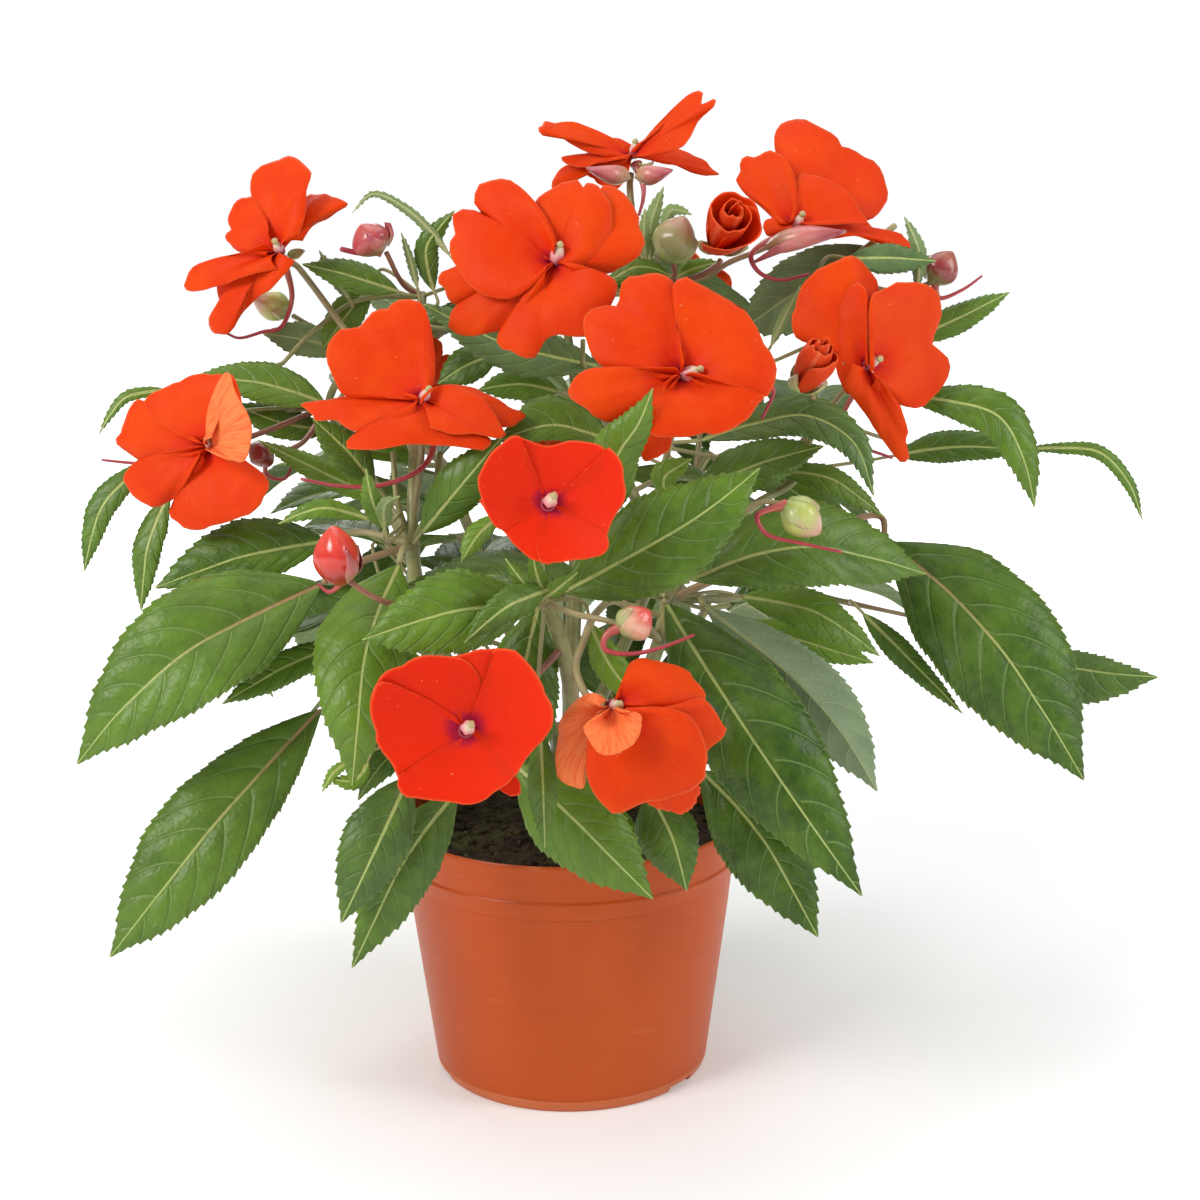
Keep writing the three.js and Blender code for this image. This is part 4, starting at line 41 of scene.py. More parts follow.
# leaf blades, in mm: name, CAD node, midrib from base to tip, left and right edge vectors, place of the widest part, underside shows, front of the plant
LEAVES = [
    ["L1","leaf_left_large",[[-75.46,-58.0,183.13],[-94.7,-69.58,175.73],[-113.82,-79.69,166.29],[-131.53,-84.54,151.66],[-146.96,-84.0,133.75]],[10.02,-7.25,-11.89],[-10.89,6.27,13.83],0.42,0,1],
    ["L2","leaf_left_low",[[-77.83,-52.0,141.84],[-93.38,-65.7,127.39],[-108.92,-77.47,111.35],[-124.51,-84.91,93.02],[-140.3,-86.0,73.33]],[10.55,-2.7,-8.51],[-12.27,5.25,8.81],0.55,0,1],
    ["L3","leaf_left_middle",[[-75.55,-40.0,193.41],[-89.54,-41.08,191.51],[-103.39,-42.13,188.78],[-116.82,-43.07,184.4],[-130.14,-44.0,179.65]],[2.6,-4.16,-7.34],[-3.63,5.76,10.28],0.45,0,1],
    ["L4","stem_far_left",[[-135.94,-16.0,217.21],[-144.04,-19.23,210.53],[-151.0,-22.19,202.66],[-154.5,-24.23,192.49],[-157.07,-26.0,181.96]],[3.75,-0.86,-2.04],[-4.29,1.86,2.08],0.45,0,1],
    ["L5","stem_far_left",[[-130.44,-14.0,206.33],[-134.43,-17.4,197.57],[-137.55,-20.34,188.33],[-138.88,-22.28,178.41],[-139.82,-24.0,168.39]],[4.62,-0.93,-0.94],[-4.86,1.86,0.79],0.45,0,1],
    ["L6","leaf_front_left",[[-51.35,-60.0,189.44],[-55.88,-75.78,179.09],[-59.54,-89.83,166.39],[-61.09,-98.19,149.07],[-63.45,-98.0,129.9]],[12.77,4.04,-3.72],[-14.87,4.39,2.07],0.45,0,1],
    ["L7","leaf_front_centre",[[-10.74,-87.8,181.79],[-21.78,-94.92,182.35],[-33.44,-100.84,181.96],[-46.0,-102.5,178.66],[-58.48,-102.81,174.56]],[2.47,-4.58,-10.45],[-2.49,4.58,10.56],0.45,0,1],
    ["L8","leaf_over_pot_left_outer",[[-47.53,-86.0,129.45],[-51.74,-94.45,121.42],[-56.54,-100.76,112.02],[-61.94,-102.77,101.07],[-67.37,-104.0,90.0]],[7.58,2.58,-4.91],[-9.63,2.06,4.13],0.45,0,1],
    ["L9","leaf_over_pot_left",[[-34.07,-74.0,120.91],[-42.63,-85.09,112.87],[-51.04,-93.23,101.98],[-58.36,-96.04,87.87],[-65.42,-98.0,73.47]],[8.38,2.96,-6.54],[-7.0,1.57,3.78],0.45,0,1],
    ["L10","leaf_over_pot_centre",[[-16.09,-85.13,131.84],[-6.17,-93.1,124.63],[4.12,-98.17,115.69],[14.3,-99.84,105.32],[24.42,-101.09,94.81]],[8.85,4.84,7.57],[-9.23,2.53,-10.44],0.42,0,1],
    ["L11","stem_front",[[-8.2,-98.02,147.54],[-7.8,-103.51,140.21],[-7.44,-108.09,132.31],[-7.25,-109.58,123.3],[-7.12,-110.07,114.14]],[4.0,2.37,-0.61],[-4.37,2.54,-0.88],0.5,0,1],
    ["L12","stem_front",[[24.03,-80.0,121.87],[27.74,-84.56,115.88],[31.09,-88.21,109.16],[33.32,-89.41,101.19],[35.24,-90.0,93.05]],[7.5,2.29,2.02],[-10.03,3.17,-4.94],0.4,0,1],
    ["L13","leaf_front_right_large",[[31.12,-48.0,173.85],[41.2,-71.4,159.48],[53.87,-90.42,141.45],[69.55,-100.14,119.04],[86.2,-102.0,95.06]],[15.53,6.14,8.43],[-12.14,2.19,-9.01],0.5,0,1],
    ["L14","leaf_front_right_low",[[41.55,-58.0,121.47],[51.84,-66.58,112.46],[61.29,-73.24,101.31],[69.09,-76.86,87.66],[76.59,-80.0,73.7]],[10.18,3.44,5.62],[-11.04,2.66,-8.8],0.45,0,1],
    ["L15","leaf_right_turned_over",[[44.76,-36.0,169.71],[60.04,-44.52,158.55],[75.02,-51.63,146.15],[88.17,-54.2,130.37],[98.66,-54.0,112.47]],[8.24,4.28,6.69],[-7.23,3.21,-8.56],0.55,1,1],
    ["L16","leaf_right_large",[[108.89,-8.0,185.79],[126.31,-21.08,171.77],[141.84,-32.44,154.46],[155.73,-38.71,133.6],[168.86,-42.0,111.49]],[18.07,7.29,11.63],[-16.11,-2.02,-12.27],0.45,0,1],
    ["L17","stem_right",[[146.8,8.0,147.95],[161.42,7.2,142.95],[176.18,6.21,138.41],[191.35,4.34,136.18],[206.62,2.0,135.21]],[1.94,2.96,5.29],[-3.52,-4.73,-10.77],0.5,0,1],
    ["L18","leaf_right_middle",[[38.62,-54.0,181.92],[57.32,-57.25,189.81],[77.36,-56.9,192.33],[96.53,-51.29,187.56],[114.65,-44.0,181.11]],[1.1,7.16,13.39],[-0.91,-5.92,-10.88],0.45,0,1],
    ["L19","leaf_centre_right",[[-1.33,-84.0,184.24],[14.17,-85.48,192.45],[29.62,-85.68,200.82],[44.24,-81.43,209.59],[57.81,-76.0,219.39]],[-6.66,5.43,10.98],[6.72,-5.55,-11.07],0.45,0,1],
    ["L20","leaf_right_arching",[[43.95,-24.0,222.63],[60.77,-27.38,228.02],[77.93,-31.63,230.68],[92.06,-37.03,222.43],[98.2,-40.0,205.81]],[1.57,3.26,6.0],[-1.83,-5.22,-5.76],0.45,0,1],
    ["L21","stem_upper_right",[[41.8,-18.0,204.88],[52.82,-16.13,209.36],[63.95,-14.01,213.44],[75.3,-11.13,216.21],[86.7,-8.0,218.55]],[-2.17,4.84,7.05],[2.14,-4.84,-6.97],0.45,0,1],
    ["L21b","stem_upper_right",[[71.07,-2.0,209.28],[81.13,-4.36,209.09],[90.91,-6.27,206.71],[99.31,-7.22,200.79],[107.35,-8.0,194.34]],[2.0,2.45,3.38],[-2.32,-2.86,-3.92],0.45,0,1],
    ["L22","stem_upper_right",[[112.53,6.0,213.38],[124.29,4.97,215.45],[136.14,3.63,216.53],[147.98,1.85,216.16],[159.81,0.0,215.56]],[0.47,3.53,5.46],[-0.28,-2.42,-4.52],0.42,0,1],
    ["L22b","stem_upper_right",[[154.51,6.0,214.98],[168.85,4.85,215.62],[183.0,3.33,214.06],[192.62,1.37,204.04],[197.96,0.0,190.74]],[1.25,0.97,2.05],[-1.24,-0.97,-2.04],0.6,0,1],
    ["L23","leaf_right_drooping",[[111.82,-8.0,234.95],[127.81,-11.97,233.42],[142.89,-16.29,228.6],[151.02,-18.91,214.82],[155.19,-20.0,198.85]],[5.24,3.68,5.33],[-4.79,-2.81,-5.11],0.5,0,1],
    ["L24","stem_upper_right",[[115.74,6.0,252.08],[124.62,6.13,255.79],[133.41,5.95,259.7],[141.94,5.06,264.05],[150.41,4.0,268.5]],[-1.65,2.43,4.17],[1.64,-2.43,-4.14],0.45,0,1],
    ["L25","stem_upper_right",[[117.87,-0.09,268.87],[118.34,-1.18,275.3],[118.19,-2.07,281.76],[115.89,-2.21,287.86],[112.89,-2.08,293.67]],[-2.15,0.72,-0.32],[2.44,0.72,0.32],0.45,0,1],
    ["L26","leaf_upper_right",[[103.88,14.0,284.14],[92.65,15.23,277.38],[81.47,16.0,270.46],[70.57,15.27,263.12],[59.81,14.0,255.65]],[8.35,4.24,-11.51],[-6.56,-3.39,9.03],0.5,0,1],
    ["L27","stem_upper_right",[[93.61,-4.08,280.23],[100.63,-6.24,280.23],[107.72,-8.12,280.09],[114.96,-9.2,279.6],[122.23,-10.06,279.01]],[0.49,2.38,4.51],[-0.62,-3.06,-4.81],0.45,0,1],
    ["L28","stem_upper_left",[[-36.13,-6.0,281.36],[-42.92,-6.0,290.18],[-51.15,-6.0,297.65],[-61.13,-6.0,302.13],[-68.62,-6.0,295.72]],[-0.97,0.51,-1.31],[0.77,-0.41,1.05],0.3,0,1],
    ["L29","stem_upper_left",[[-42.44,-4.0,270.41],[-44.24,-5.13,277.69],[-44.39,-6.03,285.1],[-40.0,-6.12,291.22],[-34.77,-6.0,296.71]],[-3.53,1.12,0.98],[3.67,1.23,-1.05],0.4,0,1],
    ["L29b","stem_upper_left",[[-47.69,-4.0,271.1],[-48.59,-5.17,275.78],[-49.64,-6.03,280.48],[-51.05,-6.12,285.17],[-52.55,-6.0,289.84]],[-1.3,0.41,-0.35],[1.23,0.41,0.35],0.4,0,1],
    ["L30","stem_upper_left",[[-54.17,2.0,270.4],[-61.97,1.04,273.08],[-69.81,0.07,275.65],[-77.76,-0.96,277.83],[-85.75,-2.0,279.85]],[-1.09,-2.89,-4.33],[1.26,3.3,4.99],0.45,0,1],
    ["L30b","stem_upper_left",[[-71.57,8.0,267.8],[-74.18,8.0,271.85],[-76.77,8.0,275.91],[-79.18,8.0,280.07],[-81.33,8.0,284.39]],[-1.81,0.63,-1.06],[1.65,0.63,1.05],0.4,0,1],
    ["L31","stem_far_left",[[-74.67,14.6,250.15],[-81.29,13.65,252.3],[-87.96,12.68,254.29],[-94.78,11.65,255.62],[-101.66,10.6,256.66]],[-0.99,-2.81,-5.11],[1.06,2.99,5.46],0.5,1,1],
    ["L32","stem_far_left",[[-78.47,-8.0,234.28],[-88.65,-9.31,238.33],[-99.2,-10.09,241.4],[-110.11,-10.11,243.01],[-121.06,-10.0,244.38]],[-0.7,-4.26,-5.44],[0.88,5.21,6.74],0.45,0,1],
    ["L33","stem_upper_left",[[-129.5,-10.0,239.56],[-136.79,-10.97,238.99],[-143.82,-11.99,237.27],[-148.67,-13.02,231.91],[-152.56,-14.0,225.72]],[0.9,-0.51,-1.36],[-1.13,0.81,1.62],0.4,0,1],
    ["L34","leaf_centre_pale",[[12.25,4.0,245.15],[-2.86,1.08,248.54],[-17.84,-1.72,252.53],[-32.01,-3.99,259.0],[-45.69,-6.0,266.58]],[-2.58,-4.12,-7.25],[2.82,4.46,7.93],0.45,0,1],
    ["L35","stem_upper_centre",[[14.87,-42.44,224.17],[6.25,-44.42,227.53],[-2.66,-46.29,230.02],[-11.83,-47.54,228.42],[-20.66,-48.46,225.16]],[-0.14,-2.67,-4.09],[0.31,5.72,8.86],0.5,0,1],
    ["L36","stem_right",[[12.06,-73.62,202.51],[13.28,-76.92,213.31],[15.52,-79.9,224.0],[21.62,-81.51,233.4],[25.96,-79.57,243.58]],[-7.49,2.51,3.05],[6.01,1.97,-2.83],0.4,0,1],
    ["L37","stem_front",[[-5.36,-93.07,186.58],[-10.86,-99.1,185.7],[-16.69,-104.63,184.17],[-23.08,-106.76,179.69],[-29.2,-107.15,174.24]],[2.12,0.85,-3.91],[-2.48,1.45,3.95],0.4,0,1],
    ["L37b","stem_front",[[-6.28,-91.06,183.84],[-4.21,-93.73,185.89],[-2.09,-96.32,187.97],[0.48,-98.14,190.31],[3.36,-99.11,192.83]],[-1.39,-0.69,1.99],[1.39,0.69,-2.0],0.4,0,1],
    ["L37c","stem_front",[[-7.77,-89.05,183.48],[-9.93,-92.17,186.13],[-12.24,-94.9,189.03],[-14.9,-95.48,192.7],[-17.56,-95.09,196.47]],[-1.99,0.78,-1.87],[1.95,0.78,1.59],0.4,0,1],
    ["L37d","stem_front",[[-6.3,-89.05,184.06],[-7.38,-91.78,187.53],[-8.43,-94.4,191.09],[-9.21,-96.16,195.19],[-9.72,-97.1,199.61]],[-2.24,0.7,-0.76],[2.21,0.7,0.52],0.4,0,1],
    ["L39","stem_right",[[99.51,-14.0,162.97],[107.93,-16.65,154.57],[116.41,-18.42,146.01],[124.9,-19.27,137.31],[133.4,-20.0,128.6]],[2.88,1.47,2.3],[-3.22,-0.87,-2.91],0.35,0,1],
    ["L41","stem_left",[[-59.86,-42.0,211.38],[-63.85,-43.19,217.08],[-68.16,-44.04,222.6],[-73.12,-44.12,227.62],[-78.22,-44.0,232.51]],[-4.13,-2.42,-3.78],[4.16,2.42,3.8],0.5,0,1],
    ["L43","leaf_front_shaded",[[-8.69,-70.85,177.55],[-11.73,-76.32,165.97],[-13.72,-80.89,153.84],[-12.32,-82.39,140.89],[-9.89,-82.88,127.96]],[10.77,3.22,-1.07],[-10.93,3.22,-0.51],0.5,0,1],
    ["L44","stem_left",[[-45.15,-54.23,197.17],[-38.85,-57.42,204.8],[-32.41,-60.06,212.52],[-25.59,-59.88,220.32],[-18.74,-58.24,227.97]],[-5.69,2.97,4.43],[5.36,2.97,-5.2],0.5,0,1],
    ["Lr1","stem_right",[[56.28,-34.0,172.81],[68.34,-37.27,171.22],[80.22,-40.06,168.27],[90.83,-41.27,161.64],[100.86,-42.0,154.06]],[2.95,3.21,5.37],[-3.02,-3.85,-5.19],0.45,0,1],
    ["Lr2","stem_right",[[58.79,-26.0,162.52],[69.2,-27.91,159.21],[79.63,-29.72,155.91],[90.16,-31.01,152.66],[100.74,-32.0,149.45]],[2.15,2.94,5.12],[-1.85,-2.94,-4.13],0.5,0,1],
    ["Lr3","stem_front",[[7.01,-71.92,172.61],[9.6,-75.52,166.59],[12.87,-78.25,160.47],[17.21,-79.27,154.46],[21.72,-79.95,148.53]],[4.16,1.44,2.22],[-4.13,-0.96,-2.33],0.5,0,1],
    ["Lb1","stem_front",[[-69.56,-36.0,160.3],[-80.37,-38.36,156.69],[-91.0,-40.24,152.37],[-101.19,-41.21,146.84],[-111.27,-42.0,141.08]],[2.52,-2.57,-4.14],[-2.53,2.57,4.17],0.5,0,1],
    ["Lc1","stem_left",[[-59.41,-58.0,202.58],[-66.23,-60.08,205.17],[-73.32,-61.89,207.01],[-80.63,-62.26,205.32],[-87.56,-62.0,202.27]],[0.11,-1.11,-2.6],[-0.11,1.11,2.61],0.5,0,1],
    ["Lc2","stem_left",[[-55.32,-60.0,199.73],[-56.72,-62.95,204.17],[-58.08,-65.62,208.79],[-59.09,-66.42,214.1],[-59.81,-66.0,219.54]],[-3.3,1.01,-1.14],[2.52,0.83,0.71],0.4,0,1],
    ["Lc3","stem_left",[[-55.3,-60.0,200.35],[-55.09,-63.1,203.49],[-54.83,-66.2,206.63],[-53.34,-68.92,209.64],[-49.49,-70.0,211.47]],[-2.43,0.73,0.37],[2.28,0.73,-0.58],0.4,0,1],
    ["Lc4","stem_left",[[-54.28,-36.69,204.24],[-65.13,-36.83,209.26],[-75.92,-36.62,214.41],[-86.57,-35.74,219.8],[-97.17,-34.7,225.23]],[-1.45,-2.33,-3.15],[1.58,2.52,3.43],0.45,0,1],
    ["Lc5","stem_left",[[-20.06,-60.0,203.96],[-23.26,-63.09,201.65],[-26.43,-65.87,198.97],[-29.25,-67.23,195.09],[-31.84,-68.0,190.87]],[2.24,0.92,-2.15],[-2.81,1.47,2.18],0.5,0,1],
    ["Ld1","stem_far_left",[[-78.19,0.0,224.91],[-86.62,-1.25,225.92],[-94.97,-2.07,227.7],[-102.98,-2.11,230.8],[-110.9,-2.0,234.13]],[-1.04,-3.09,-4.53],[1.13,3.29,4.87],0.5,0,1],
    ["Ld2","stem_upper_centre",[[-1.36,8.0,236.26],[-8.23,8.13,238.01],[-15.22,7.98,239.12],[-22.21,7.09,238.49],[-29.13,6.0,237.37]],[-0.12,-2.62,-4.88],[0.12,2.62,4.91],0.5,0,1],
    ["Ld3","stem_upper_left",[[-21.65,12.0,249.76],[-27.3,12.0,247.73],[-32.88,12.0,245.52],[-38.08,12.0,242.52],[-43.03,12.0,239.12]],[2.76,-2.53,-5.32],[-2.77,2.53,5.35],0.5,0,1],
    ["Ld4","stem_upper_left",[[-64.43,12.0,272.98],[-68.92,10.95,267.71],[-73.32,9.92,262.35],[-77.49,8.95,256.81],[-81.59,8.0,251.22]],[4.32,-1.12,-3.22],[-4.95,1.89,3.61],0.5,0,1],
    ["Le1","stem_upper_centre",[[12.41,0.15,271.8],[18.08,-0.8,274.99],[23.93,-1.69,277.84],[30.32,-2.01,277.38],[36.25,-1.87,274.55]],[-0.47,1.37,2.55],[0.52,-1.54,-2.86],0.5,0,1],
    ["Le2","stem_upper_centre",[[29.26,4.18,279.48],[29.14,2.99,285.76],[29.64,2.12,292.06],[31.59,2.04,298.14],[33.88,2.16,304.11]],[-2.89,0.93,0.6],[2.65,0.83,-0.5],0.4,0,1],
    ["Le3","stem_upper_centre",[[27.74,0.15,279.5],[27.25,-1.7,283.6],[26.96,-2.97,287.9],[27.11,-3.04,292.42],[27.34,-2.87,296.93]],[-1.95,0.62,-0.0],[2.01,0.62,0.01],0.45,0,1],
    ["Le4","stem_upper_centre",[[33.52,8.2,289.31],[34.79,8.2,292.87],[36.49,8.2,296.21],[40.07,8.2,296.19],[43.58,8.2,294.8]],[-1.05,0.84,1.67],[1.04,-0.84,-1.67],0.4,0,1],
    ["Le5","stem_upper_centre",[[35.39,6.19,273.48],[39.53,5.19,275.3],[43.72,4.3,277.04],[48.16,4.03,278.32],[52.68,4.18,279.27]],[-0.92,1.56,2.79],[0.91,-1.56,-2.78],0.5,0,1],
    ["Lf1","stem_upper_centre",[[32.01,-50.0,206.64],[30.59,-52.34,210.6],[31.06,-54.17,214.75],[35.01,-54.21,217.46],[39.2,-54.0,219.83]],[-3.5,1.31,2.33],[2.99,-1.13,-1.99],0.45,0,1],
    ["Lf2","stem_upper_right",[[69.44,1.9,250.72],[71.76,0.87,256.02],[74.13,-0.02,261.32],[76.7,-0.23,266.6],[79.36,-0.09,271.85]],[-1.45,0.52,0.72],[1.58,0.52,-0.75],0.4,0,1],
    ["Lg1","stem_left",[[-65.69,-78.0,132.07],[-68.6,-79.19,130.63],[-71.28,-80.06,128.66],[-73.17,-80.11,125.76],[-74.85,-80.0,122.73]],[1.14,-0.45,-0.93],[-1.14,0.45,0.94],0.4,0,1],
    ["Lg2","stem_left",[[-60.85,-78.0,132.0],[-62.57,-79.15,128.73],[-65.2,-80.06,126.2],[-69.05,-80.11,126.27],[-72.89,-80.0,126.79]],[1.06,-0.81,-2.38],[-0.83,0.63,1.86],0.4,0,1],
    ["Lg3","stem_left",[[-99.14,-34.0,155.28],[-99.33,-35.2,151.82],[-98.98,-36.06,148.3],[-97.51,-36.11,144.95],[-95.84,-36.0,141.69]],[1.66,-0.49,0.55],[-1.66,0.49,-0.55],0.4,0,1],
    ["Lh1","stem_front",[[53.95,-56.0,95.76],[57.74,-58.03,90.17],[61.6,-59.8,84.56],[65.78,-60.27,78.92],[70.09,-60.0,73.36]],[3.77,1.3,2.22],[-3.48,1.3,-3.17],0.4,0,1],
    ["Lh2","stem_front",[[13.19,-74.0,115.39],[15.31,-75.97,111.22],[17.45,-77.74,106.98],[19.67,-78.28,102.48],[21.89,-78.0,97.92]],[3.35,1.08,1.31],[-3.28,1.08,-2.03],0.4,0,1],
    ["Li1","stem_right",[[48.72,-28.0,157.01],[44.57,-30.03,152.69],[40.47,-31.89,148.24],[36.6,-33.09,143.39],[32.84,-34.0,138.39]],[4.8,1.76,-4.24],[-4.54,1.76,3.4],0.5,0,1],
    ["Li2","stem_left",[[-53.31,-44.0,161.81],[-51.73,-47.51,153.89],[-49.74,-50.24,145.78],[-46.97,-51.31,137.51],[-44.04,-52.0,129.24]],[7.78,2.46,1.69],[-8.23,2.46,-2.9],0.5,0,1],
    ["K1","stem_back_top",[[9.43,73.07,227.87],[20.68,92.55,234.96],[32.46,112.95,235.99],[43.97,132.9,230.89],[54.43,151.01,220.0]],[-16.54,10.16,6.06],[17.58,-9.89,2.61],0.45,0,0],
    ["K2","stem_back_top",[[3.93,83.6,229.65],[0.89,108.39,232.83],[-2.16,133.22,230.09],[-5.05,156.74,221.58],[-7.62,177.63,207.78]],[-21.11,-1.54,4.53],[20.86,3.62,4.53],0.45,0,0],
    ["K3","stem_back_left",[[-51.01,43.93,207.57],[-70.71,55.3,210.57],[-90.41,66.68,207.57],[-108.77,77.28,198.79],[-124.53,86.38,184.82]],[-10.38,-16.66,2.46],[8.11,17.12,5.72],0.45,0,0],
    ["K4","stem_back_left",[[-48.73,90.49,205.33],[-54.58,112.33,210.35],[-60.57,134.69,209.33],[-66.29,156.03,202.37],[-71.34,174.9,189.92]],[-19.37,-5.04,0.83],[17.54,6.07,7.52],0.45,0,0],
    ["K5","leaf_back_right_outer",[[57.11,70.67,205.68],[75.31,82.04,201.81],[92.81,92.98,194.8],[109.25,103.25,184.81],[124.26,112.63,172.08]],[-7.01,16.64,6.76],[10.48,-16.17,0.75],0.45,0,0],
    ["K6","leaf_back_right_inner",[[52.79,86.64,199.29],[58.93,109.58,202.42],[65.08,132.53,199.29],[70.81,153.91,190.12],[75.73,172.26,175.54]],[-18.63,6.65,5.97],[19.97,-4.64,2.57],0.45,0,0],
    ["K7","stem_back_low",[[-0.81,114.18,148.76],[-3.38,143.61,147.14],[-5.81,171.42,137.33],[-7.91,195.38,120.09],[-9.5,213.57,96.82]],[-23.79,0.33,4.62],[23.37,4.46,4.62],0.45,0,0],
    ["K8","stem_back_low",[[4.4,76.83,157.9],[17.11,98.85,154.56],[28.96,119.37,144.74],[39.13,136.99,129.13],[46.93,150.51,108.78]],[-17.36,11.59,2.35],[18.93,-7.3,5.44],0.45,0,0],
    ["K9","stem_back_low",[[-5.69,80.24,152.21],[-22.25,99.98,150.8],[-37.9,118.63,142.24],[-51.39,134.7,127.21],[-61.63,146.91,106.9]],[-16.44,-13.26,0.79],[12.58,15.41,7.15],0.45,0,0],
    ["K10","stem_back_low_left",[[-63.26,77.64,153.38],[-87.21,84.06,152.3],[-110.09,90.18,144.83],[-130.31,95.6,131.49],[-146.51,99.95,113.19]],[-8.43,-18.18,7.38],[5.16,20.71,0.81],0.45,0,0],
    ["K11","stem_back_low_left",[[-60.56,91.91,154.17],[-76.3,114.39,150.56],[-90.97,135.34,139.96],[-103.57,153.33,123.11],[-113.23,167.13,101.15]],[-19.67,-9.63,5.87],[17.58,14.09,2.53],0.45,0,0],
    ["K12","stem_back_low_right",[[62.98,85.97,145.53],[84.41,95.51,152.26],[106.7,105.44,152.26],[128.13,114.98,145.53],[147.04,123.4,132.6]],[-7.55,18.45,4.34],[8.66,-17.95,4.34],0.45,0,0],
    ["K13","stem_back_low_right",[[59.99,95.25,147.0],[73.69,117.16,141.86],[86.27,137.29,130.41],[96.92,154.34,113.38],[104.98,167.24,91.87]],[-18.17,13.23,2.44],[20.25,-8.31,5.67],0.45,0,0],
    ["Ks0","stem_back_top",[[2.18,68.97,231.0],[-3.92,66.75,237.93],[-11.6,63.96,242.77],[-20.25,60.81,245.13],[-29.17,57.56,244.82]],[2.95,-6.38,1.42],[-1.84,6.78,1.42],0.45,0,0],
    ["Ks1","stem_back_top",[[7.6,68.5,231.0],[13.22,65.25,237.93],[20.3,61.17,242.77],[28.27,56.56,245.13],[36.49,51.82,244.82]],[2.99,6.36,1.42],[-4.01,-5.77,1.42],0.45,0,0],
    ["Ks2","stem_back_top",[[-7.48,50.95,291.0],[-5.83,60.31,291.1],[-4.2,69.57,289.76],[-2.62,78.52,287.0],[-1.13,86.96,282.89]],[-6.84,1.54,1.5],[6.95,-0.89,1.5],0.45,0,0],
    ["Ks3","stem_back_top",[[-10.6,49.5,291.0],[-18.82,54.25,291.1],[-26.97,58.95,289.76],[-34.84,63.5,287.0],[-42.26,67.78,282.89]],[-3.79,-5.9,1.5],[3.21,6.23,1.5],0.45,0,0],
    ["Ks4","stem_back_top",[[-5.18,49.03,291.0],[3.75,52.28,291.1],[12.58,55.49,289.76],[21.13,58.6,287.0],[29.17,61.53,282.89]],[-2.08,6.69,1.5],[2.71,-6.46,1.5],0.45,0,0],
    ["X1","stem_back_low_left",[[-43.37,78.6,148.6],[-38.69,96.66,158.14],[-33.63,116.18,163.83],[-28.38,136.41,165.43],[-23.16,156.55,162.88]],[-16.81,3.52,4.61],[16.84,-4.9,2.91],0.46,0,0],
    ["X2","stem_back_left",[[-46.37,42.4,192.21],[-59.35,33.6,198.91],[-73.25,24.18,201.88],[-87.34,14.63,200.96],[-100.89,5.44,196.2]],[6.74,-10.02,-0.7],[-5.7,9.03,5.69],0.48,0,0],
    ["X3","stem_upper_right",[[83.39,14.09,220.53],[87.08,34.54,227.62],[90.93,55.9,230.84],[94.82,77.49,230.09],[98.63,98.59,225.4]],[-17.61,2.87,5.24],[18.08,-3.42,2.72],0.5,0,0],
    ["X4","stem_back_low_right",[[16.49,33.02,121.14],[14.13,53.74,130.69],[11.57,76.26,134.21],[8.99,98.88,131.45],[6.59,119.91,122.61]],[-19.27,-2.16,-2.06],[16.64,1.73,10.01],0.45,0,0],
    ["X5","stem_back_left",[[-39.56,36.17,182.97],[-52.14,23.56,181.47],[-63.97,11.71,175.2],[-74.15,1.51,164.62],[-81.92,-6.27,150.52]],[8.64,-11.93,4.31],[-11.35,10.22,1.45],0.44,0,0],
    ["X6","stem_back_low_left",[[-29.2,14.92,122.65],[-41.91,7.67,122.22],[-54.02,0.77,117.74],[-64.57,-5.25,109.57],[-72.73,-9.91,98.35]],[6.15,-9.6,-1.21],[-7.11,7.19,5.4],0.48,0,0],
    ["X7","stem_back_top",[[14.32,52.13,202.3],[32.14,49.51,200.42],[48.75,47.07,193.66],[62.9,44.98,182.56],[73.5,43.43,167.97]],[5.11,13.66,5.35],[-2.07,-15.39,0.34],0.44,0,0],
    ["X8","stem_back_left",[[-47.91,52.2,195.04],[-69.8,53.88,193.17],[-90.07,55.44,184.69],[-106.8,56.72,170.42],[-118.39,57.61,151.7]],[-3.35,-15.69,3.5],[-0.3,16.23,2.52],0.48,0,0],
    ["X9","stem_back_top",[[12.94,59.6,271.26],[34.33,58.6,266.01],[52.92,57.74,254.17],[66.72,57.1,236.98],[74.28,56.74,216.27]],[6.79,14.41,6.83],[-2.23,-17.11,-1.6],0.46,0,0],
    ["X10","stem_back_right",[[57.58,59.08,202.13],[69.33,46.97,202.72],[80.74,35.22,198.62],[90.91,24.74,190.16],[99.06,16.35,177.98]],[10.93,7.81,4.95],[-10.07,-10.16,0.67],0.45,0,0],
    ["X11","stem_upper_left",[[-49.41,7.14,258.68],[-53.04,26.05,263.85],[-56.79,45.62,264.49],[-60.47,64.82,260.58],[-63.89,82.64,252.31]],[-14.17,-2.02,8.3],[16.21,2.98,-1.56],0.46,0,0],
    ["X12","stem_back_top",[[7.72,52.58,279.69],[26.47,47.63,278.79],[44.66,42.82,274.03],[61.57,38.35,265.61],[76.52,34.41,253.86]],[3.71,14.06,-0.01],[-1.35,-13.29,5.74],0.46,0,0],
    ["X13","stem_left",[[-56.99,-35.39,191.53],[-69.34,-20.19,193.64],[-81.69,-4.99,191.44],[-93.43,9.47,185.03],[-104.02,22.51,174.73]],[-11.29,-8.72,1.57],[9.95,9.36,4.41],0.47,0,0],
    ["X14","stem_right",[[16.63,-42.47,173.35],[0.18,-46.18,179.51],[-17.03,-50.05,182.87],[-34.54,-53.99,183.32],[-51.9,-57.9,180.86]],[3.08,-13.98,-0.66],[-2.11,12.56,6.57],0.46,0,0],
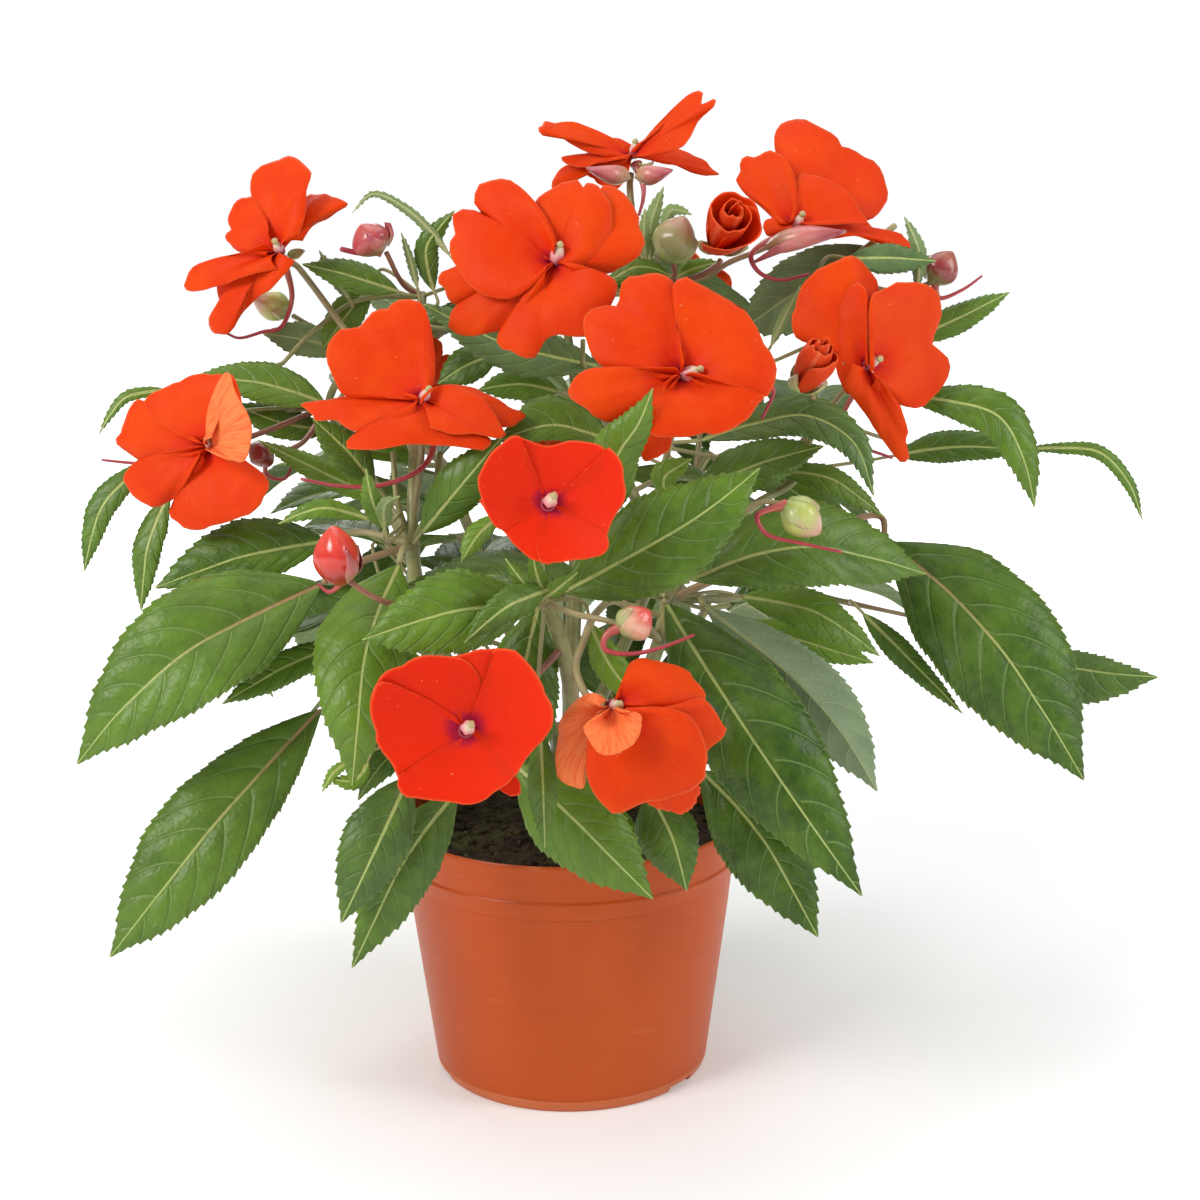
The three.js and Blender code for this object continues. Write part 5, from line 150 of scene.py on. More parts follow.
    ["X15","stem_back_top",[[-9.83,68.03,263.69],[-23.65,75.28,263.52],[-37.09,82.32,259.87],[-49.47,88.8,252.92],[-60.16,94.4,243.02]],[-6.15,-8.0,4.77],[5.31,9.81,-0.41],0.43,0,0],
    ["X16","stem_back_top",[[13.29,71.17,213.03],[25.23,89.07,220.21],[37.82,107.93,220.5],[49.86,125.98,213.87],[60.21,141.5,200.96]],[-13.77,9.72,3.07],[14.14,-8.71,4.21],0.48,0,0],
    ["X17","stem_far_left",[[-75.84,14.64,236.35],[-73.69,28.09,239.6],[-71.48,41.91,239.12],[-69.37,55.11,234.94],[-67.51,66.74,227.37]],[-10.37,1.98,1.87],[10.32,-1.19,2.67],0.44,0,0],
    ["X18","stem_back_right",[[29.41,52.95,171.89],[24.39,72.89,177.88],[19.16,93.65,177.19],[14.24,113.18,169.9],[10.12,129.55,156.72]],[-17.74,-4.6,-0.7],[15.46,5.51,8.18],0.44,0,0],
    ["X19","stem_left",[[-54.37,-43.55,174.15],[-76.61,-41.6,171.08],[-97.8,-39.74,163.62],[-117.09,-38.04,152.08],[-133.71,-36.58,136.92]],[-1.16,-18.99,-1.08],[-2.36,17.04,8.21],0.49,0,0],
    ["X20","stem_back_left",[[-26.69,16.43,148.26],[-45.49,16.77,148.24],[-63.65,17.1,143.34],[-79.92,17.39,133.92],[-93.2,17.62,120.6]],[-2.1,-15.19,4.4],[-0.51,15.83,1.9],0.43,0,0],
    ["X21","stem_back_low",[[12.62,58.41,142.66],[35.16,55.12,141.38],[56.45,52.01,133.81],[74.82,49.33,120.55],[88.81,47.29,102.64]],[4.34,15.23,4.04],[-1.21,-16.15,2.18],0.49,0,0],
    ["X22","stem_back_low_left",[[-38.23,36.9,130.46],[-52.75,48.23,129.52],[-66.47,58.94,123.43],[-78.29,68.16,112.69],[-87.25,75.15,98.17]],[-8.88,-10.18,1.42],[6.41,11.37,3.74],0.45,0,0],
    ["X23","stem_back_right",[[20.47,28.13,145.34],[23.17,40.07,151.39],[26.06,52.83,155.31],[29.05,66.06,156.98],[32.06,79.37,156.36]],[-10.31,2.35,-0.11],[9.11,-3.01,4.44],0.47,0,0],
    ["X24","stem_upper_centre",[[32.55,-0.12,208.44],[46.89,8.29,205.68],[59.77,15.84,197.88],[69.92,21.78,185.81],[76.32,25.53,170.69]],[-3.73,12.41,4.1],[7.19,-11.52,0.51],0.49,0,0],
    ["X25","stem_back_left",[[-43.93,66.01,200.55],[-49.09,84.39,198.49],[-54.06,102.09,192.95],[-58.68,118.51,184.13],[-62.78,133.09,172.32]],[-14.94,-2.29,4.54],[14.9,4.91,1.72],0.45,0,0],
    ["X26","stem_right",[[33.58,-41.7,143.82],[48.6,-54.14,141.36],[62.43,-65.61,133.41],[73.92,-75.14,120.63],[82.11,-81.92,104.1]],[9.0,11.5,-0.65],[-5.45,-12.27,5.77],0.45,0,0],
    ["X27","stem_back_left",[[-30.6,34.06,161.35],[-41.84,47.46,166.92],[-53.58,61.46,168.67],[-65.29,75.43,166.52],[-76.45,88.74,160.58]],[-10.88,-9.05,5.11],[11.48,9.64,1.3],0.47,0,0],
    ["X28","stem_back_right",[[28.38,17.62,150.33],[42.73,6.91,148.12],[55.97,-2.99,140.9],[67.03,-11.24,129.27],[74.98,-17.18,114.2]],[10.56,8.08,5.84],[-9.04,-11.34,-0.74],0.46,0,0],
]
# flowers, in mm: name, CAD node, kind, throat, facing, petals [outline, facing, fullness, tone], spur [path, radii]
FLOWERS = [
    ["F1","flower_upper_left","open",[-91.69,-7.19,283.45],[-0.55,-0.78,0.3],[[[[-95.38,-4.91,289.26],[-96.64,-3.15,291.52],[-97.91,-1.39,293.77],[-99.17,0.37,296.03],[-100.39,2.12,298.32],[-101.55,3.83,300.67],[-102.39,5.4,303.21],[-101.99,6.26,306.17],[-100.87,6.58,309.06],[-98.89,6.08,311.37],[-96.36,4.78,312.65],[-93.76,3.32,313.61],[-91.17,1.84,314.51],[-88.63,0.03,314.46],[-86.34,-1.91,313.61],[-84.23,-3.87,312.39],[-82.37,-5.8,310.78],[-81.01,-7.59,308.63],[-81.1,-8.63,305.76],[-81.84,-9.25,302.78],[-82.02,-10.26,299.83],[-82.2,-11.27,296.88],[-82.87,-11.94,293.9],[-84.0,-12.25,291.01],[-85.19,-12.52,288.13]],[-0.55,-0.78,0.3],3,0],[[[-95.5,-9.96,282.52],[-97.54,-8.43,282.76],[-99.58,-6.91,282.97],[-101.62,-5.39,283.19],[-103.65,-3.86,283.45],[-105.64,-2.31,283.84],[-107.44,-0.72,284.66],[-108.72,0.8,286.26],[-110.18,2.36,287.65],[-110.51,3.31,289.51],[-109.14,3.05,291.33],[-110.57,4.6,292.76],[-110.84,5.62,294.9],[-109.8,5.77,297.22],[-108.35,5.56,299.31],[-106.43,4.76,300.75],[-104.32,3.55,301.49],[-102.21,2.13,301.66],[-100.28,0.56,301.11],[-98.75,-1.01,299.83],[-97.56,-2.5,298.13],[-96.64,-3.9,296.2],[-95.82,-5.25,294.19],[-95.03,-6.58,292.17],[-94.2,-7.94,290.16]],[-0.55,-0.78,0.3],3,0],[[[-87.15,-3.56,288.24],[-86.66,-2.55,290.16],[-86.16,-1.54,292.07],[-85.67,-0.53,293.98],[-85.19,0.49,295.9],[-84.76,1.52,297.81],[-84.68,2.68,299.7],[-84.39,3.74,301.58],[-82.4,3.42,302.26],[-80.35,2.59,302.16],[-78.36,1.65,301.86],[-76.43,0.65,301.42],[-74.6,-0.43,300.77],[-72.83,-1.55,300.05],[-71.01,-2.64,299.4],[-69.47,-3.73,298.58],[-71.3,-3.79,297.38],[-73.23,-3.75,296.29],[-75.16,-3.71,295.19],[-77.1,-3.66,294.11],[-79.12,-3.46,293.23],[-81.03,-3.42,292.14],[-82.39,-3.95,290.48],[-83.52,-4.64,288.7],[-84.66,-5.32,286.92]],[-0.3,-0.81,0.51],3,0],[[[-94.38,-12.09,285.68],[-97.21,-10.35,285.01],[-100.05,-8.61,284.34],[-102.88,-6.87,283.66],[-105.72,-5.13,282.99],[-108.55,-3.39,282.33],[-111.39,-1.63,281.69],[-114.22,0.15,281.14],[-117.0,2.08,281.04],[-119.81,3.75,280.24],[-122.47,4.98,278.55],[-124.38,5.28,275.83],[-125.23,4.64,272.63],[-123.5,2.8,271.0],[-120.7,0.87,271.11],[-117.88,-0.99,271.45],[-115.06,-2.8,271.92],[-112.22,-4.57,272.52],[-109.39,-6.26,273.3],[-106.56,-7.91,274.2],[-103.73,-9.56,275.11],[-100.91,-11.21,275.99],[-98.08,-12.86,276.89],[-95.25,-14.51,277.79],[-92.42,-16.15,278.69]],[-0.55,-0.78,0.3],3,0],[[[-98.31,-6.12,277.41],[-101.08,-4.48,276.58],[-103.86,-2.84,275.77],[-106.63,-1.2,274.95],[-109.4,0.43,274.11],[-112.17,2.03,273.19],[-113.99,2.57,271.26],[-113.69,1.2,268.25],[-115.02,1.02,265.32],[-116.74,1.14,262.51],[-116.45,-0.19,259.55],[-114.75,-2.17,257.53],[-112.42,-4.24,256.44],[-109.69,-5.87,257.19],[-107.41,-6.61,259.44],[-105.92,-6.52,262.41],[-104.27,-6.58,265.28],[-101.98,-7.32,267.55],[-99.36,-8.53,269.2],[-96.6,-10.11,270.16],[-93.83,-11.72,271.05],[-91.22,-12.96,272.63],[-89.06,-13.53,275.09],[-87.18,-13.81,277.82],[-85.27,-14.12,280.52]],[-0.55,-0.78,0.3],3,0]],[[[-91.72,-3.21,281.85],[-91.06,8.72,269.29],[-94.53,6.73,259.42],[-100.99,4.74,257.56],[-108.07,2.76,255.73],[-112.28,0.77,257.5]],0.9,0.45]],
    ["F2","flower_top_centre","open",[-2.0,-34.0,279.22],[-0.2,-0.92,0.35],[[[[-10.17,-27.28,283.61],[-13.04,-26.85,283.09],[-15.91,-26.42,282.57],[-18.78,-25.99,282.06],[-21.65,-25.57,281.54],[-24.52,-25.14,281.01],[-27.39,-24.73,280.46],[-30.24,-24.35,279.83],[-32.99,-24.14,278.83],[-35.7,-23.97,277.72],[-38.41,-23.79,276.63],[-39.62,-24.46,274.17],[-38.8,-25.62,271.61],[-37.31,-26.8,269.37],[-35.21,-27.91,267.64],[-32.4,-28.67,267.25],[-29.57,-29.41,266.91],[-26.72,-30.14,266.63],[-23.86,-30.82,266.47],[-20.98,-31.42,266.54],[-18.11,-31.87,267.01],[-15.31,-32.14,267.89],[-12.58,-32.32,268.98],[-9.87,-32.46,270.15],[-7.14,-32.65,271.23]],[-0.2,-0.92,0.35],4,0],[[[-7.06,-34.75,274.35],[-9.79,-34.65,273.06],[-12.5,-34.57,271.72],[-15.26,-34.44,270.49],[-18.1,-34.19,269.51],[-21.03,-33.79,268.88],[-23.98,-33.31,268.48],[-26.94,-32.8,268.13],[-29.89,-32.31,267.72],[-32.78,-31.98,266.94],[-34.8,-32.33,264.85],[-36.04,-33.06,262.24],[-37.02,-33.79,259.75],[-34.66,-34.86,258.29],[-31.91,-35.77,257.48],[-28.98,-36.47,257.32],[-26.02,-36.99,257.62],[-23.08,-37.45,258.11],[-20.15,-37.85,258.72],[-17.23,-38.23,259.41],[-14.35,-38.52,260.28],[-11.69,-38.57,261.68],[-9.46,-38.28,263.69],[-7.52,-37.84,265.96],[-5.57,-37.41,268.22]],[-0.2,-0.92,0.35],4,0],[[[-5.11,-41.24,275.62],[-8.82,-41.61,272.53],[-12.67,-41.88,269.62],[-17.23,-41.4,268.28],[-21.84,-40.15,268.94],[-26.04,-38.56,270.72],[-29.46,-36.72,273.59],[-32.18,-34.8,277.1],[-34.34,-32.85,280.97],[-35.14,-31.03,285.29],[-32.95,-30.24,288.64],[-34.01,-28.42,292.81],[-31.4,-27.61,296.43],[-26.85,-28.75,296.04],[-25.15,-29.45,295.18],[-27.52,-27.52,298.88],[-26.33,-26.2,303.02],[-21.98,-26.39,305.03],[-17.28,-27.25,305.45],[-13.35,-28.93,303.28],[-10.19,-30.81,300.14],[-7.31,-32.72,296.76],[-4.62,-34.65,293.22],[-2.79,-36.59,289.19],[-1.29,-38.5,285.0]],[-0.2,-0.92,0.35],4,0],[[[-1.3,-34.12,285.04],[-2.41,-32.85,287.75],[-3.54,-31.57,290.46],[-4.89,-30.29,293.06],[-6.67,-29.02,295.39],[-8.05,-27.75,297.94],[-5.77,-27.52,299.83],[-2.98,-27.56,301.33],[-0.62,-27.26,303.45],[2.44,-27.64,304.2],[5.57,-28.18,304.58],[6.82,-29.29,302.36],[8.27,-28.98,304.02],[10.81,-29.65,303.7],[12.75,-30.91,301.5],[14.31,-32.19,299.02],[15.27,-33.46,296.25],[15.73,-34.67,293.33],[15.69,-35.8,290.34],[14.94,-36.76,287.39],[13.65,-37.55,284.57],[11.84,-38.13,282.01],[9.4,-38.37,279.97],[6.64,-38.39,278.35],[3.88,-38.41,276.74]],[-0.2,-0.92,0.35],4,0],[[[8.83,-28.54,291.16],[9.66,-27.79,293.59],[10.49,-27.04,296.03],[11.32,-26.3,298.47],[11.92,-25.49,300.94],[13.41,-25.11,302.79],[15.99,-25.74,302.6],[18.29,-26.63,301.58],[20.16,-27.65,299.97],[21.74,-28.71,298.09],[23.03,-29.78,296.0],[23.94,-30.85,293.72],[24.63,-31.9,291.35],[25.25,-32.94,288.96],[25.75,-33.97,286.54],[25.85,-34.94,284.05],[24.83,-35.61,281.7],[22.93,-35.9,279.85],[20.72,-36.0,278.33],[18.35,-35.96,277.09],[15.85,-35.77,276.14],[13.24,-35.28,275.94],[10.64,-34.66,276.09],[8.06,-33.99,276.38],[5.48,-33.31,276.68]],[-0.2,-0.92,0.35],4,0],[[[-5.16,-40.09,272.87],[-7.56,-40.72,269.85],[-9.93,-41.36,266.83],[-12.42,-41.94,263.88],[-15.25,-42.32,261.24],[-18.46,-42.46,259.04],[-20.67,-42.96,256.48],[-18.49,-44.49,253.69],[-15.31,-45.86,251.91],[-11.96,-47.16,250.4],[-8.41,-47.85,250.64],[-6.39,-47.07,253.83],[-3.51,-46.74,256.35],[0.25,-47.38,256.82],[3.98,-48.38,256.3],[7.76,-49.12,256.53],[10.87,-48.95,258.74],[12.97,-48.2,261.93],[14.7,-47.29,265.3],[16.23,-46.31,268.75],[17.32,-45.2,272.3],[15.0,-43.75,274.79],[11.43,-42.58,275.81],[7.66,-41.65,276.1],[3.86,-40.81,276.15]],[-0.2,-0.92,0.35],4,0]],[[[-1.4,-30.0,277.96],[2.32,-16.0,267.66],[2.88,-10.0,257.81]],1.1,0.5]],
    ["F3","flower_centre","open",[35.23,-62.8,245.29],[0.0,-0.92,0.4],[[[[28.75,-65.78,243.46],[24.98,-65.34,244.48],[21.22,-64.9,245.48],[17.48,-64.43,246.56],[13.82,-63.88,247.82],[10.53,-63.05,249.74],[8.44,-61.74,252.75],[7.14,-60.27,256.14],[6.22,-58.75,259.63],[6.06,-57.19,263.2],[8.26,-55.95,266.05],[11.95,-55.51,267.09],[15.81,-55.45,267.23],[16.97,-54.19,270.1],[17.72,-52.77,273.39],[20.98,-51.94,275.29],[24.86,-51.74,275.74],[28.77,-51.76,275.7],[32.36,-52.33,274.38],[34.28,-53.68,271.28],[35.41,-55.18,267.85],[36.11,-56.71,264.31],[36.44,-58.27,260.73],[36.63,-59.83,257.14],[36.83,-61.39,253.55]],[0.0,-0.92,0.4],4,0],[[[35.91,-66.11,250.25],[35.23,-64.45,254.05],[34.53,-62.8,257.84],[33.87,-61.15,261.65],[33.34,-59.49,265.46],[33.02,-57.82,269.3],[33.45,-56.17,273.11],[37.09,-55.63,274.33],[41.09,-56.08,273.3],[44.75,-56.9,271.41],[48.32,-57.79,269.38],[51.85,-58.69,267.31],[55.05,-59.76,264.84],[57.24,-61.19,261.56],[58.9,-62.72,258.03],[60.6,-64.24,254.54],[62.64,-65.7,251.19],[63.31,-67.34,247.41],[62.72,-68.99,243.61],[60.59,-70.42,240.33],[56.79,-71.02,238.94],[52.61,-70.9,239.23],[48.48,-70.6,239.91],[44.44,-70.14,240.96],[40.44,-69.63,242.13]],[0.0,-0.92,0.4],4,0],[[[32.27,-67.1,247.97],[29.18,-67.09,247.99],[26.1,-67.08,248.01],[23.02,-67.07,248.02],[19.93,-67.06,248.05],[16.85,-67.03,248.12],[13.78,-66.92,248.37],[10.74,-66.74,248.79],[7.69,-66.88,248.47],[4.91,-67.4,247.26],[2.68,-68.24,245.34],[1.45,-69.35,242.78],[1.98,-70.55,240.03],[4.02,-71.45,237.97],[6.66,-72.09,236.49],[8.86,-72.93,234.56],[11.38,-73.52,233.19],[14.44,-73.39,233.49],[17.49,-73.21,233.9],[20.54,-73.05,234.28],[23.31,-72.52,235.5],[25.81,-71.8,237.15],[28.2,-71.02,238.94],[30.47,-70.19,240.86],[32.72,-69.35,242.79]],[0.0,-0.92,0.4],4,0],[[[30.79,-71.78,244.74],[28.2,-72.68,242.68],[25.61,-73.57,240.62],[23.12,-74.52,238.45],[21.2,-75.64,235.87],[21.76,-76.95,232.84],[23.91,-78.01,230.41],[26.96,-78.6,229.04],[30.37,-78.72,228.78],[33.8,-78.68,228.87],[37.23,-78.57,229.12],[40.48,-78.29,229.77],[43.75,-78.6,229.06],[47.03,-78.2,229.98],[50.14,-77.62,231.31],[53.08,-76.91,232.93],[55.35,-75.9,235.26],[56.99,-74.7,238.02],[59.47,-73.76,240.18],[56.77,-73.22,241.43],[53.38,-72.99,241.95],[50.07,-72.62,242.8],[46.81,-72.2,243.78],[43.56,-71.76,244.79],[40.31,-71.32,245.8]],[0.0,-0.92,0.4],4,0],[[[28.77,-64.89,232.92],[27.82,-65.29,232.02],[26.84,-65.66,231.15],[25.84,-66.04,230.29],[24.88,-66.43,229.4],[24.0,-66.84,228.44],[23.29,-67.31,227.37],[22.89,-67.83,226.18],[22.72,-68.37,224.94],[22.72,-68.91,223.69],[22.86,-69.45,222.44],[23.19,-69.98,221.23],[24.21,-70.26,220.58],[25.48,-70.07,221.02],[26.69,-69.82,221.6],[27.96,-69.62,222.06],[29.22,-69.4,222.55],[30.39,-69.12,223.2],[31.26,-68.71,224.15],[31.71,-68.2,225.33],[31.97,-67.66,226.56],[32.27,-67.13,227.78],[32.61,-66.6,229.0],[32.93,-66.07,230.21],[33.24,-65.54,231.43]],[0.0,-0.92,0.4],4,0]],[[[36.41,-58.79,243.8],[54.39,-48.77,244.17],[64.87,-46.76,240.84],[61.53,-46.76,231.27]],1.0,0.5]],
    ["F4","flower_top","open",[24.12,22.0,314.24],[0.0,0.25,0.97],[[[[20.1,22.95,319.28],[17.62,22.25,320.47],[15.15,21.57,321.68],[12.66,20.88,322.86],[10.17,20.12,323.98],[7.65,19.29,325.0],[5.12,18.34,325.84],[2.6,17.13,326.3],[0.19,15.64,326.25],[-2.17,14.08,326.02],[-4.56,12.94,326.46],[-6.0,11.64,325.8],[-7.04,9.77,323.94],[-8.47,7.88,322.4],[-6.8,7.7,320.62],[-4.37,9.1,320.53],[-2.02,10.67,320.77],[0.46,11.96,320.47],[2.91,12.57,319.19],[5.33,13.1,317.8],[7.75,13.64,316.43],[10.25,14.44,315.38],[12.79,15.48,314.66],[15.33,16.59,314.04],[17.87,17.69,313.4]],[0.45,-0.74,0.5],1.5,0],[[[24.23,24.39,318.34],[22.04,24.86,318.97],[19.86,25.34,319.61],[17.57,25.19,319.78],[15.59,24.12,319.22],[13.92,22.73,318.39],[12.34,21.27,317.49],[10.72,19.84,316.62],[9.01,18.48,315.82],[7.32,17.1,314.99],[5.52,15.82,314.26],[3.37,15.09,313.98],[1.08,15.2,314.35],[0.13,14.16,313.69],[1.44,12.71,312.44],[3.34,11.78,311.5],[5.53,11.31,310.88],[7.83,11.25,310.54],[10.01,11.95,310.8],[12.0,13.03,311.36],[14.09,13.95,311.79],[16.21,14.83,312.18],[18.34,15.71,312.57],[20.46,16.58,312.96],[22.59,17.45,313.35]],[0.1,-0.6,0.8],1.5,0],[[[20.0,20.97,313.56],[17.51,20.7,313.61],[15.02,20.46,313.7],[12.54,20.18,313.74],[10.08,19.76,313.6],[7.67,19.18,313.22],[5.34,18.47,312.67],[3.09,17.65,311.95],[0.97,16.69,311.02],[-0.78,15.49,309.71],[-2.07,14.11,308.08],[-3.01,12.65,306.29],[-3.48,11.14,304.36],[-2.81,9.88,302.57],[-0.8,10.83,303.49],[0.8,12.11,304.94],[2.5,13.34,306.29],[4.31,14.51,307.56],[6.24,15.61,308.7],[8.51,16.39,309.36],[10.98,16.71,309.38],[13.45,17.12,309.51],[15.84,17.71,309.91],[18.22,18.35,310.36],[20.6,18.99,310.81]],[0.1,-0.8,0.6],1.5,0],[[[24.81,22.07,316.22],[27.07,21.96,318.85],[29.8,20.97,320.39],[32.69,19.27,320.82],[35.05,19.03,323.32],[37.13,19.13,326.09],[39.19,19.24,328.88],[41.11,19.49,331.75],[43.47,19.23,334.21],[46.41,17.96,335.5],[48.14,16.11,334.2],[47.29,14.99,331.04],[49.4,13.73,331.31],[52.15,12.31,332.09],[51.56,11.46,329.75],[48.71,12.44,328.04],[46.09,13.08,325.96],[44.64,12.41,322.9],[43.27,11.67,319.8],[41.39,11.41,316.95],[38.57,12.39,315.27],[35.58,13.98,314.51],[32.61,15.7,314.02],[29.66,17.46,313.64],[26.72,19.3,313.42]],[-0.51,-0.76,0.41],1.5,0],[[[28.69,25.1,316.03],[31.07,25.84,316.09],[33.43,26.62,316.2],[35.79,27.38,316.29],[38.17,28.09,316.32],[40.59,28.65,316.18],[43.01,28.84,315.68],[45.3,28.57,314.75],[47.4,27.98,313.57],[49.23,27.09,312.16],[50.66,25.88,310.53],[52.56,25.05,309.17],[54.56,24.34,307.88],[53.34,23.62,307.51],[50.93,23.19,307.77],[48.57,22.55,307.8],[46.15,22.43,308.37],[43.74,22.37,309.0],[41.34,22.3,309.62],[38.91,22.14,310.15],[36.48,21.9,310.61],[34.05,21.68,311.08],[31.63,21.55,311.64],[29.22,21.47,312.25],[26.81,21.39,312.87]],[0.2,-0.69,0.69],1.5,0],[[[15.95,22.09,313.65],[14.79,21.87,313.16],[13.63,21.66,312.69],[12.46,21.45,312.21],[11.3,21.24,311.73],[10.14,21.02,311.25],[8.98,20.8,310.75],[7.85,20.56,310.22],[6.98,20.35,309.74],[7.81,19.96,308.86],[8.69,19.58,308.01],[9.6,19.22,307.2],[10.53,18.87,306.4],[11.49,18.53,305.64],[12.5,18.21,304.92],[13.56,17.92,304.28],[14.67,17.67,303.71],[15.84,17.46,303.25],[17.09,17.37,303.03],[18.34,17.47,303.25],[19.37,17.77,303.93],[20.23,18.15,304.79],[21.02,18.56,305.7],[21.8,18.97,306.63],[22.62,19.36,307.51]],[0.0,-0.91,0.41],1.5,0]],[[[25.47,22.0,312.25],[27.65,18.0,305.1],[27.54,16.0,300.08],[26.08,14.0,295.08]],1.2,0.5]],
    ["F5","flower_upper_right","open",[77.07,2.0,290.16],[0.31,-0.62,0.72],[[[[75.14,11.65,301.2],[74.62,13.65,305.28],[74.1,15.66,309.35],[73.57,17.66,313.43],[72.97,19.64,317.5],[72.97,21.71,321.42],[74.72,24.06,324.88],[77.8,26.28,327.37],[81.78,27.42,327.3],[85.66,27.27,324.88],[89.65,27.28,322.66],[93.55,27.36,320.67],[96.14,26.53,317.65],[100.54,27.72,317.46],[103.98,27.27,314.68],[107.83,27.12,312.26],[110.31,25.95,308.68],[111.65,24.22,304.67],[111.71,22.11,300.66],[109.9,19.76,297.21],[107.23,17.44,294.32],[103.48,15.49,292.71],[99.17,14.02,292.34],[94.79,12.7,292.28],[90.42,11.36,292.18]],[0.25,-0.86,0.45],2,0],[[[72.24,0.62,290.83],[70.55,2.16,292.82],[68.88,3.69,294.83],[67.13,5.22,296.77],[65.18,6.74,298.53],[63.07,8.23,300.12],[61.15,9.75,301.9],[59.61,11.28,304.0],[58.73,12.73,306.43],[60.2,13.27,308.68],[60.36,14.52,311.44],[61.93,15.07,313.8],[64.68,14.19,313.99],[67.3,13.54,314.57],[69.95,13.03,315.49],[72.47,11.7,314.54],[74.54,10.2,312.91],[76.1,8.67,310.82],[77.21,7.16,308.44],[77.83,5.72,305.85],[77.95,4.4,303.13],[77.81,3.15,300.37],[77.5,1.95,297.61],[76.98,0.84,294.84],[76.43,-0.27,292.07]],[-0.3,-0.86,0.41],2,0],[[[75.25,-1.68,292.05],[76.01,0.28,294.38],[76.77,2.24,296.7],[77.51,4.2,299.02],[78.2,6.16,301.36],[78.55,8.13,303.77],[78.86,10.1,306.18],[80.53,11.74,307.95],[83.58,11.75,307.45],[86.51,11.33,306.44],[89.4,10.84,305.35],[92.14,10.13,304.0],[94.65,9.19,302.4],[96.88,8.0,300.55],[98.52,6.49,298.39],[99.05,4.61,295.94],[100.66,3.12,293.81],[101.48,1.62,291.81],[98.55,0.74,291.19],[95.5,0.11,290.91],[92.44,-0.49,290.68],[89.37,-1.07,290.46],[86.29,-1.6,290.31],[83.2,-2.11,290.19],[80.11,-2.63,290.06]],[0.1,-0.78,0.62],2,0],[[[84.52,5.29,290.8],[87.25,6.72,291.22],[89.97,8.16,291.65],[92.71,9.6,292.07],[95.45,11.01,292.47],[98.17,12.47,292.91],[100.97,13.77,293.2],[103.56,13.16,292.03],[105.11,11.31,290.13],[107.6,10.77,289.03],[110.65,11.15,288.52],[113.55,10.88,287.53],[116.0,9.76,285.99],[117.93,8.14,284.18],[117.66,5.97,282.51],[114.72,5.0,282.52],[111.68,4.48,282.91],[108.65,4.31,283.59],[105.6,4.0,284.15],[102.56,3.44,284.51],[99.53,2.84,284.84],[96.48,2.35,285.27],[93.43,1.96,285.76],[90.38,1.6,286.29],[87.34,1.23,286.81]],[0.2,-0.61,0.76],2,0],[[[75.7,1.76,290.82],[74.91,2.21,291.21],[74.13,2.66,291.63],[73.35,3.12,292.04],[72.55,3.56,292.43],[71.7,3.97,292.75],[70.78,4.3,292.92],[69.81,4.53,292.89],[68.85,4.63,292.67],[67.99,4.56,292.21],[67.47,4.21,291.44],[67.25,3.74,290.6],[67.21,3.22,289.75],[67.3,2.68,288.93],[67.52,2.13,288.13],[67.88,1.57,287.39],[68.57,1.09,286.9],[69.53,0.9,286.97],[70.48,0.84,287.25],[71.44,0.78,287.54],[72.4,0.69,287.78],[73.35,0.61,288.04],[74.31,0.54,288.31],[75.26,0.47,288.58],[76.22,0.4,288.84]],[-0.21,-0.83,0.52],2,0]],[[[76.56,3.0,288.22],[67.01,-2.0,285.33],[62.09,-5.0,281.15],[65.0,-6.0,275.63],[72.28,-6.0,273.29],[81.18,-6.0,275.16]],1.2,0.5]],
